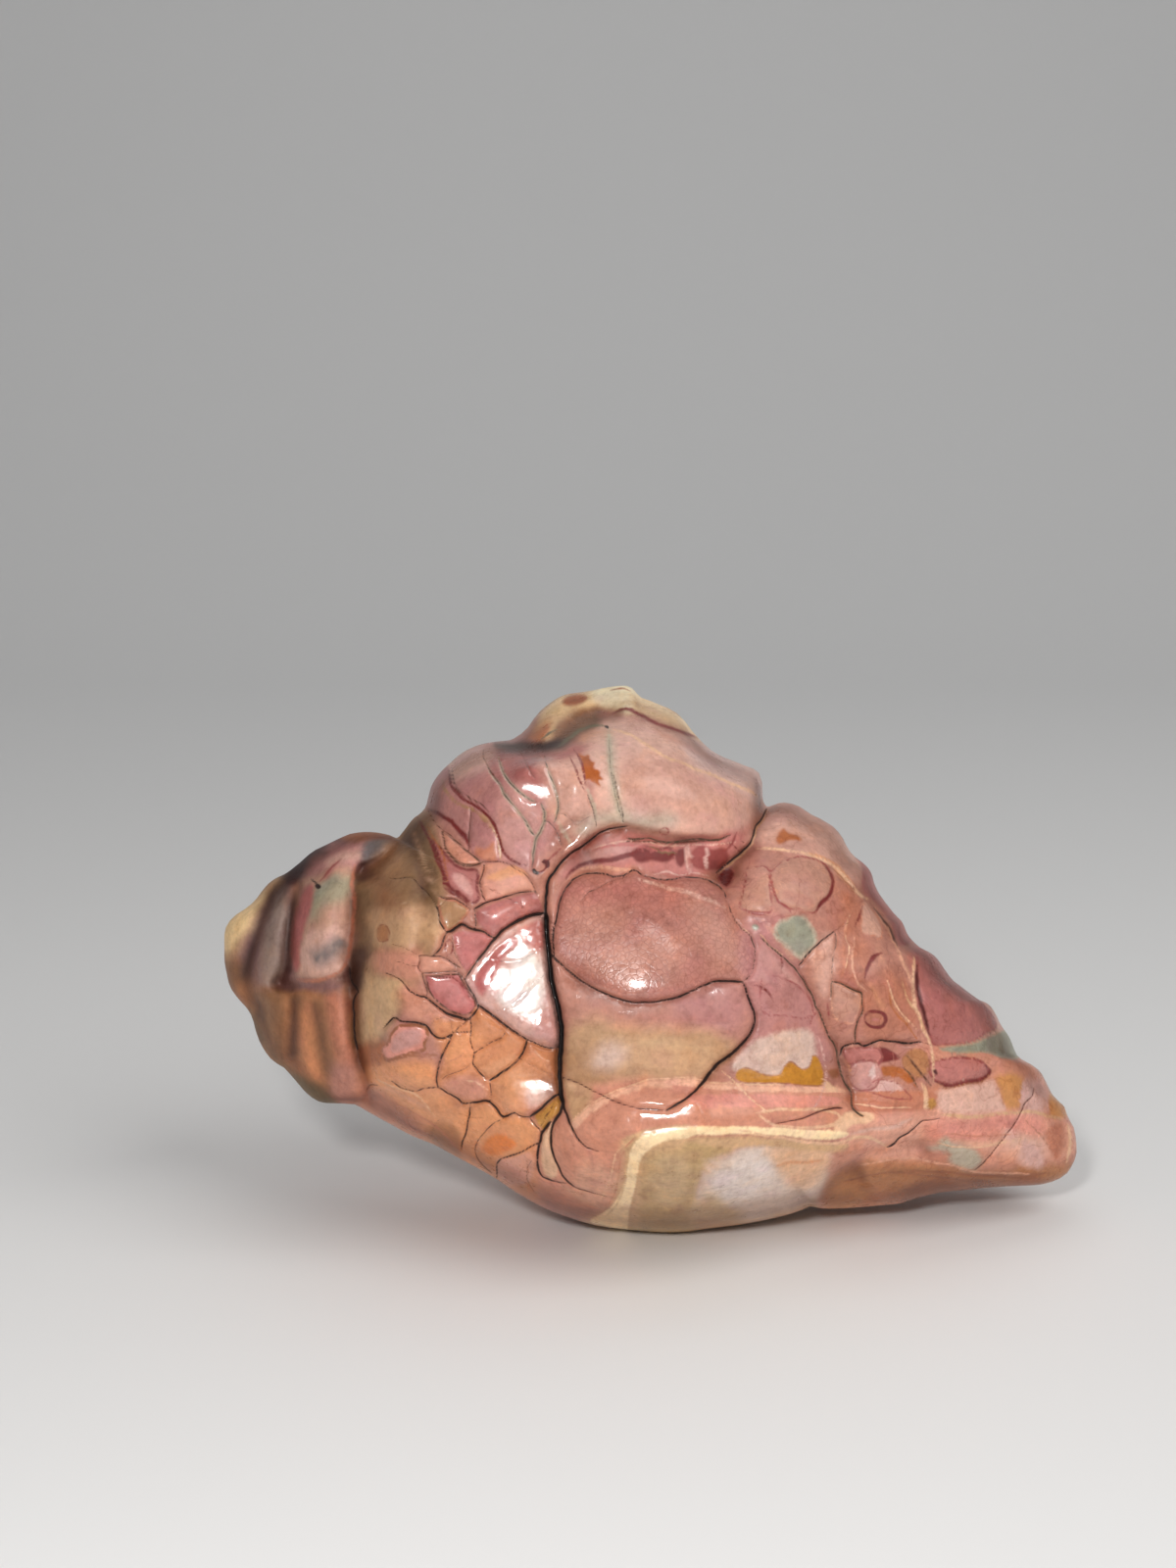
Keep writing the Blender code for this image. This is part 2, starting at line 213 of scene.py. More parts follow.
# =====================================================================
# Cracks: width, colour, pillow (how far the plates round off), points
# =====================================================================
MAIN = [(640, 842.7), (621, 845.3), (610.7, 850), (600, 858.7), (589.3, 866), (580, 873), (572, 881), (565.7, 889),
        (560, 898.7), (557.3, 913.3), (556.8, 933), (558, 953), (560, 973), (562.7, 996), (566.7, 1017),
        (570.7, 1033), (573.3, 1053), (572, 1073), (571, 1093), (572.7, 1113), (574.7, 1126)]
CRACKS = [
    # the deep fissure beside the belly: the width grows downwards
    ((2.4, 6.5), "black", 0.2, MAIN),
    ((6.5, 6.0), "black", 0.2, [(557.3, 933), (560, 973), (562.7, 996), (566.7, 1017), (570.7, 1033), (573.3, 1053), (572, 1073), (571, 1093), (572.7, 1113)]),
    ((4.0, 1.6), "dark", 0.2, [(575, 1122), (575.7, 1129.5), (579.8, 1139.5), (583.9, 1151), (589.8, 1161), (598, 1169.3), (611.3, 1175.6)]),
    ((4.0, 2.2), "dark", 0.2, [(574.7, 1124), (572, 1134.7), (566.7, 1142.7), (563.3, 1152), (562.7, 1166.7), (565.3, 1180), (570.7, 1192), (576.5, 1202.5), (586.4, 1211.6)]),
    ((2.0, 0.8), "brown", 0.1, [(586.4, 1211.6), (606.3, 1217.4), (619.6, 1220.7)]),
    ((4.0, 2.6), "dark", 0.2, [(561.3, 1145.3), (554.7, 1153.3), (552, 1160), (549.3, 1173.3), (548.7, 1186.7), (550.7, 1196), (554.7, 1201.3)]),
    ((2.6, 1.2), "dark", 0.15, [(554.7, 1201.3), (566.7, 1205.3), (580, 1208)]),
    # lower left plates
    (1.8, "dark", 0.16, [(400, 1102.7), (409.3, 1109.3), (418.7, 1112.7), (425.3, 1113.3), (436, 1110.7), (446.7, 1110)]),
    (2.5, "dark", 0.2, [(446.7, 1110), (445.3, 1101.3), (446.7, 1092), (450, 1080), (454.7, 1069.3), (460, 1059), (461.3, 1053.3)]),
    (2.5, "dark", 0.2, [(446.7, 1110), (452, 1112.7), (460, 1118), (468, 1122.7), (472, 1126), (480, 1126)]),
    (3.0, "dark", 0.2, [(480, 1126), (486.7, 1124.7), (496, 1123.3), (501.3, 1125.3), (506.7, 1130.7), (510.7, 1136.7), (514.7, 1139.3), (521.3, 1137.3), (525.3, 1136)]),
    (2.5, "dark", 0.2, [(480, 1129.3), (478.7, 1137.3), (476.7, 1146.7), (474.7, 1157.3), (472, 1165.3), (471.3, 1173.3)]),
    (2.0, "dark", 0.18, [(479.3, 1060), (481.3, 1068), (484, 1073.3), (482.7, 1085.3), (486.7, 1090.7), (492, 1097.3), (499.3, 1102.7)]),
    (1.3, "brown", 0.12, [(480, 1084), (478.7, 1086.7), (470.7, 1092), (462.7, 1095.3), (454.7, 1098.7), (450, 1102.7)]),
    (1.6, "dark", 0.15, [(484.7, 1074.7), (488, 1071.3), (494.7, 1067.3), (502.7, 1062.7), (510.7, 1058.7), (514.7, 1053.3), (517.3, 1048.7)]),
    (3.0, "dark", 0.2, [(499.3, 1102.7), (506.7, 1098), (513.3, 1094), (520, 1090), (526.7, 1084.7), (532, 1077.3), (536, 1068), (538.7, 1060)]),
    (1.6, "dark", 0.15, [(499.3, 1102.7), (500.7, 1110.7), (500.7, 1118.7), (500, 1124.7)]),
    (0.9, "brown", 0.08, [(532, 1080.7), (540, 1086), (552, 1092), (560, 1096), (566.7, 1098)]),
    (1.6, "dark", 0.14, [(513.3, 1141.3), (505.3, 1145.3), (496, 1153.3), (489.3, 1161.3), (485.3, 1170.7), (486, 1178.7), (490.7, 1186.7), (497.3, 1193.3), (502.7, 1197.3)]),
    (2.4, "dark", 0.18, [(550.7, 1165.3), (542.7, 1170), (533.3, 1174.7), (520, 1179.3), (512, 1182), (507.3, 1188), (508, 1194.7), (507.3, 1201.3)]),
    (3.4, "dark", 0.2, [(572.7, 1116), (569.3, 1117.3), (562.7, 1122), (554.7, 1129.3), (546.7, 1136), (540, 1140)]),
    (2.2, "dark", 0.16, [(525.3, 1136), (532, 1139.5), (540, 1140)]),
    (1.6, "dark", 0.14, [(540, 1140), (545.3, 1146.7), (550.7, 1152), (553.3, 1158.7)]),
    (1.2, "brown", 0.1, [(543.3, 1185.3), (538.7, 1192), (537.3, 1201.3), (540, 1209.3), (545.3, 1216)]),
    (0.9, "brown", 0.06, [(432, 1120), (421.3, 1130.7), (416, 1141.3), (418.7, 1149.3), (425.3, 1153.3)]),
    (0.9, "brown", 0.06, [(472, 1126.7), (462.7, 1132), (452, 1138.7), (445.3, 1145.3), (440, 1156)]),
    # shoulder and cracked field
    ((1.0, 2.2), "dark", 0.14, [(397.3, 896), (406.7, 896), (418.7, 895.3), (426.7, 902.7), (433.3, 909.3), (438.7, 916), (444, 924), (446.7, 930.7), (449.3, 941.3), (455.3, 950.7)]),
    ((3.6, 2.2), "dark", 0.18, [(455.3, 950.7), (460, 949.3), (466.7, 945.3), (471.3, 943.3), (478.7, 946.7), (485.3, 949.3), (493.3, 951.3), (498.7, 954.7), (504, 957.3)]),
    (2.2, "dark", 0.16, [(455.3, 950.7), (452.7, 957.3), (450.7, 964), (446.7, 970), (441.3, 974)]),
    (1.8, "brown", 0.14, [(428, 974), (437.3, 974.7), (448, 975.3), (456, 978.7), (462.7, 984), (468, 990)]),
    (1.8, "brown", 0.14, [(428, 974), (428, 980), (426.7, 986.7), (430, 992), (433.3, 1001.3), (436, 1009.3), (434.7, 1016)]),
    (2.0, "brown", 0.14, [(430.7, 992), (440, 992), (452, 992), (462.7, 991.3), (469.3, 994), (474.7, 1000)]),
    ((1.5, 3.6), "dark", 0.2, [(392, 992), (401.3, 996), (409.3, 1002), (416, 1009.3), (422.7, 1014.7), (429.3, 1017.3), (433.3, 1018), (440, 1022.7), (448, 1028), (456, 1033.3), (465.3, 1036.7), (473.3, 1039.3), (479.3, 1039.3)]),
    (3.0, "dark", 0.2, [(479.3, 1039.3), (484, 1034.7), (488, 1029.3)]),
    (2.5, "dark", 0.2, [(474.7, 1000), (478.7, 1008), (484, 1016), (488, 1025.3), (488, 1029.3)]),
    ((3.2, 2.2), "dark", 0.24, [(488, 1025.3), (496, 1031.3), (504, 1036.7), (512, 1043.3), (520, 1048.7), (529.3, 1054.7), (538.7, 1060.7), (549.3, 1066), (560, 1068.7), (569, 1068.7)]),
    ((2.2, 4.2), "dark", 0.26, [(474.7, 999.3), (478.7, 992), (485.3, 982.7), (493.3, 973.3), (500, 964), (505.3, 957.3), (513.3, 949.3), (524, 942.7), (533.3, 938), (542.7, 934.7), (556, 932)]),
    (2.0, "dark", 0.16, [(484, 928), (485.3, 934.7), (486, 941.3), (485.5, 948)]),
    ((2.5, 1.5), "dark", 0.16, [(484, 928), (497.3, 920.7), (508, 918), (518.7, 914), (528, 911.3), (536, 910), (544, 910), (548, 914.7)]),
    (2.0, "brown", 0.14, [(497.3, 920.7), (493.3, 914.7), (491.3, 908), (489.5, 903), (492, 893.3), (493.3, 884), (492, 881.3)]),
    (1.0, "brown", 0.08, [(446.7, 926), (452.7, 921.3), (457.3, 917.3)]),
    (2.0, "brown", 0.12, [(446.7, 914.7), (454.7, 917.3), (462.7, 916.7), (470.7, 920.7), (480, 928.7)]),
    (1.0, "brown", 0.08, [(479.3, 928.7), (476, 934.7), (472, 939.3)]),
    (1.3, "brown", 0.1, [(460.7, 950.7), (461.3, 960), (463.3, 972), (468, 980), (474, 987.3)]),
    (1.1, "brown", 0.08, [(531.3, 917.3), (532, 924), (534, 930.7), (537.3, 935.3)]),
    (0.9, "brown", 0.05, [(506.7, 1031.3), (514.7, 1029.3), (526.7, 1020), (537.3, 1010.7), (545.3, 1002.7), (558.7, 993.3)]),
    (0.9, "brown", 0.05, [(500, 978.7), (517.3, 981.3), (532, 978.7), (545.3, 972.7)]),
    (1.0, "brown", 0.06, [(400, 962.7), (409.3, 965.3), (418.7, 969.3), (427.3, 974)]),
    (1.0, "brown", 0.06, [(400, 979.3), (410.7, 982.7), (420, 984.7), (426.7, 985.3)]),
    (2.6, "dark", 0.16, [(391.3, 1048), (394.7, 1044), (400, 1039.3), (404, 1038), (409.3, 1041.3), (417.3, 1042.7), (425.3, 1043.3), (433.3, 1045.3), (437.3, 1049.3), (441.3, 1055.3), (446.7, 1058.7), (453.3, 1058.7), (460, 1055.3), (462.7, 1052.7)]),
    (1.2, "brown", 0.08, [(439.3, 1047.3), (442.7, 1042), (450.7, 1038.7), (454.7, 1037.3)]),
    (1.2, "brown", 0.08, [(458.7, 1039.3), (460.7, 1046.7), (460.7, 1052)]),
    (1.6, "dark", 0.12, [(462.7, 1052.7), (470.7, 1046.7), (478.7, 1040)]),
    (1.9, "dark", 0.14, [(465.3, 1053.3), (479.3, 1053.3)]),
    (2.0, "dark", 0.14, [(480.7, 1040), (480.7, 1050.7), (480, 1058.7)]),
    # upper left
    (1.8, "brown", 0.12, [(478.7, 822.7), (480, 830.7), (479.3, 846.7), (478.7, 860), (478.7, 869.3)]),
    (1.6, "brown", 0.12, [(437.3, 828), (442.7, 837.3), (450.7, 846.7), (460, 853.3), (469.3, 861.3), (478.7, 869.3), (485.3, 874.7), (490.7, 880)]),
    (1.8, "brown", 0.12, [(450.7, 846.7), (453.3, 857.3), (454.7, 865.3), (462.7, 876), (470.7, 883.3), (478.7, 884.7), (486.7, 882.7), (490.7, 880.7)]),
    (1.6, "brown", 0.12, [(490.7, 880), (500, 879.7), (510.7, 879.3), (518.7, 882), (526.7, 887.3), (536, 893.3), (542.7, 901.3), (548, 912)]),
    # fine grey lines of the upper mass
    (1.7, "greyline", 0.06, [(493.3, 765.3), (493.3, 772), (497.3, 781.3), (502.7, 792), (509.3, 800), (517.3, 813.3), (526.7, 826.7), (537.3, 841.3), (546.7, 855.3)]),
    (1.7, "greyline", 0.06, [(508.7, 773.3), (512, 785.3), (518.7, 797.3), (528, 806.7), (537.3, 813.3), (545.3, 817.3)]),
    (1.3, "greyline", 0.05, [(530, 766.7), (534.7, 774.7), (541.3, 786.7), (546.7, 794.7)]),
    (1.8, "greyline", 0.07, [(554.7, 769.3), (557.3, 781.3), (560, 789.3), (565.3, 802.7), (568.7, 814.7), (569.3, 825.3), (566.7, 837.3), (564.7, 840)]),
    ((2.1, 1.8), "greyline", 0.06, [(552, 820), (555.3, 828), (554.7, 838.7), (552, 848), (547.3, 855.3), (545.3, 866.7), (544, 878.7), (542.7, 888)]),
    (1.6, "greyline", 0.06, [(555.3, 837.3), (561.3, 840), (566.7, 846.7), (570.7, 856), (573.3, 864)]),
    (1.6, "greyline", 0.06, [(570.7, 830), (577.3, 831.3), (584, 838), (586.7, 842)]),
    (1.7, "greyline", 0.06, [(600, 811.3), (604, 823.3), (606.7, 834), (608.7, 843.3)]),
    (1.4, "greyline", 0.06, [(621.5, 752), (622, 764.7), (623.3, 782), (626, 803.3), (630.7, 822), (635.3, 838)]),
    (0.9, "greyline", 0.03, [(586.7, 842), (603, 833)]),
    # the oval plate
    ((2.6, 2.0), "dark", 0.22, [(564.9, 976), (564.9, 956), (567.4, 939.5), (570.7, 922.9), (575.7, 909.6), (583.1, 899.7), (593.1, 893.1), (606.3, 890.6), (617.9, 891.4), (627.9, 893.9), (637.8, 892.2), (646.1, 888.1), (656.1, 893.1), (669.3, 896.4), (682.6, 897.2), (697.5, 895.5), (714.1, 896.4), (727.4, 900.5), (735.7, 906.3), (742.3, 917.9)]),
    (2.0, "brown", 0.22, [(742.3, 917.9), (747.3, 932.9), (755.6, 946.1), (764.7, 954.4), (769.7, 966), (769.7, 980.9), (766.3, 994.2), (758.9, 1001.7)]),
    ((2.6, 3.0), "dark", 0.24, [(562, 974), (573.2, 984.3), (584.8, 994.2), (596.4, 1002.5), (609.6, 1010.8), (626.2, 1017.4), (642.8, 1021.6), (659.4, 1022.4), (676, 1020.7), (692.6, 1016.6), (705.8, 1010.8), (719.1, 1004.2), (730.7, 1000.8), (744, 1001.7), (757.2, 1002.5)]),
    (1.5, "brown", 0.05, [(595, 918), (600, 911), (607, 907), (616, 902), (625, 898), (640, 895)]),
    ((2.6, 4.6), "dark", 0.22, [(757.2, 1002.5), (762.2, 1014.1), (767.2, 1027.4), (769.7, 1041.6), (765.5, 1053.2), (755.6, 1066.5), (739, 1081.4), (725.7, 1093)]),
    ((4.6, 2.6), "dark", 0.22, [(725.7, 1093), (715.8, 1106.3), (704.2, 1117.9), (689.2, 1127.8), (679.3, 1133.6)]),
    (2.0, "winebrown", 0.16, [(573, 1099), (577.3, 1100.5), (594.7, 1107.9), (611.3, 1116.2), (627.9, 1124.5), (646.1, 1130.3), (666, 1132.8), (679.3, 1133.6)]),
    # crescent
    (2.5, "olive", 0.14, [(640, 855), (647.8, 856.6), (661, 854.9), (677.6, 859.1), (694.2, 858.2), (710.8, 855.8), (729, 856.6), (745, 853)]),
    ((2.4, 3.0), "dark", 0.2, [(782, 824.7), (776, 837.3), (770.7, 844), (768, 853.3), (765.3, 861.3), (757.3, 869.3), (750.7, 874.7), (740, 882.7), (730.7, 890.7)]),
    # right
    ((2.2, 2.8), "olive", 0.16, [(776, 957.3), (785.3, 965.3), (797.3, 974.7), (804, 980), (813, 990), (820, 1001.3), (826.7, 1013.3), (832, 1026.7), (837.3, 1036), (844, 1053.3), (850.7, 1066.7), (856, 1084), (861.3, 1104), (868, 1116), (869.3, 1128), (876, 1136), (881.3, 1138.7)]),
    (2.4, "dark", 0.14, [(814.7, 986), (818.7, 980), (825.3, 972), (836, 962), (845.3, 955.3), (851.3, 950.7)]),
    (1.0, "brown", 0.06, [(851.3, 950.7), (856, 947.3), (866.7, 941.3)]),
    (1.7, "greyline", 0.08, [(852, 952), (853.3, 962.7), (850.7, 973.3), (849.3, 986.7), (848.7, 1000), (848, 1020)]),
    (2.3, "olive", 0.14, [(849.3, 1000.7), (860, 1004), (873.3, 1011.3), (879.3, 1014.7), (879.3, 1024), (880, 1032), (874.7, 1042.7), (872.7, 1053.3), (872.7, 1064)]),
    (2.8, "black", 0.18, [(857.3, 1077.3), (858.7, 1070.7), (865.3, 1066.7), (876, 1064.7), (881.3, 1066.7), (889.3, 1064), (897.3, 1060.7), (906.7, 1062), (916, 1063.3), (928, 1064.7), (940, 1063.3)]),
    (1.0, "brown", 0.06, [(940, 1063.3), (947, 1065), (952, 1066.7)]),
    ((1.4, 2.6), "winebrown", 0.14, [(790.7, 1146.7), (806.7, 1144), (822.7, 1140), (837.3, 1134.7), (850.7, 1131.3), (860, 1130.7)]),
    ((3.0, 1.0), "dark", 0.14, [(905.3, 1170.7), (913.3, 1165.3), (918.7, 1160), (926.7, 1156), (933.3, 1150.7), (940, 1144), (948, 1142.7), (958.7, 1140.7)]),
    (1.9, "brown", 0.08, [(1054, 1110.7), (1052, 1118.7), (1045.3, 1126.7), (1040, 1138.7), (1033.3, 1149.3), (1024, 1162.7), (1012, 1177.3), (1001.3, 1188), (994.7, 1193.3)]),
    # left valley
    (2.5, "dark", 0.12, [(357.3, 986.7), (358.7, 1000), (366, 1012.7)]),
    (2.8, "dark", 0.12, [(365.3, 1012.7), (361.3, 1018.7), (360.7, 1026.7), (362, 1038.7), (361.3, 1050.7), (363.3, 1062.7), (365.3, 1070.7)]),
    (1.5, "brown", 0.1, [(365.3, 1070.7), (366, 1080), (369.3, 1088), (372, 1094.7)]),
    (1.4, "brown", 0.08, [(375.3, 986.7), (373.3, 992)]),
    (1.5, "brown", 0.06, [(373.3, 1113.3), (377.3, 1107.3), (385.3, 1107.3)]),
]

# =====================================================================
# Paint: every area is a drawn outline with one named colour
# =====================================================================
COLOURS = {  # sRGB, 0 to 255
    "black": (26, 15, 13), "dark": (44, 26, 21), "brown": (86, 50, 37), "winebrown": (84, 42, 36),
    "olive": (78, 60, 44), "greyline": (92, 76, 66), "slate": (66, 48, 46), "shade": (84, 54, 40),
    "rose": (180, 102, 98), "rose_d": (146, 74, 72), "rose_l": (186, 116, 108), "rose_m": (170, 104, 98),
    "mauve": (178, 122, 116), "mauve_d": (144, 104, 98), "mauve_l": (194, 142, 134), "mauve_w": (204, 160, 150),
    "dusty": (178, 122, 106), "belly": (168, 108, 96), "belly_d": (174, 108, 96), "belly_l": (182, 126, 110),
    "salmon": (202, 138, 114), "salmon_l": (214, 158, 132), "salmon_d": (188, 120, 94), "pinktan": (202, 154, 138),
    "blush": (212, 168, 152), "lilac": (216, 186, 180), "orange": (204, 134, 92), "orange_l": (212, 148, 108),
    "orange_d": (168, 96, 54), "burnt": (168, 88, 36), "tan": (164, 122, 88), "tan_l": (190, 148, 112),
    "tan_d": (126, 94, 66), "tan_b": (140, 98, 68), "olive_t": (188, 154, 108), "olive_d": (112, 90, 60),
    "olive_l": (200, 168, 128), "sand": (204, 164, 124), "cream": (248, 218, 174), "cream_l": (250, 236, 200),
    "cream_p": (224, 180, 146), "yellow": (244, 210, 158), "yellow_d": (188, 146, 100), "golden": (184, 124, 40),
    "golden_l": (186, 132, 66), "green": (146, 144, 126), "green_d": (116, 112, 88), "green_l": (160, 148, 122),
    "greyw": (220, 198, 184), "greyw_l": (228, 212, 204), "greyb": (114, 104, 102), "wine": (116, 44, 42),
    "wine_d": (84, 34, 32), "wine_l": (146, 70, 66), "maroon": (74, 46, 46), "brick": (150, 94, 66),
    "brick_d": (96, 58, 38), "inc": (184, 134, 116), "inc_l": (200, 152, 134), "purple": (54, 36, 36),
    "spot": (48, 26, 22), "ash": (146, 124, 114), "caramel": (172, 116, 78), "peach": (218, 158, 136),
    "sage": (182, 168, 148), "amber": (224, 128, 60), "oat": (204, 174, 160), "wheat": (176, 136, 102),
    "apricot": (222, 150, 102), "honey": (196, 136, 84), "coral": (214, 142, 126), "rust": (178, 114, 92), "clay": (186, 142, 120),
    "shell": (226, 172, 144), "melon": (204, 142, 120), "rose_p": (184, 112, 108),
}

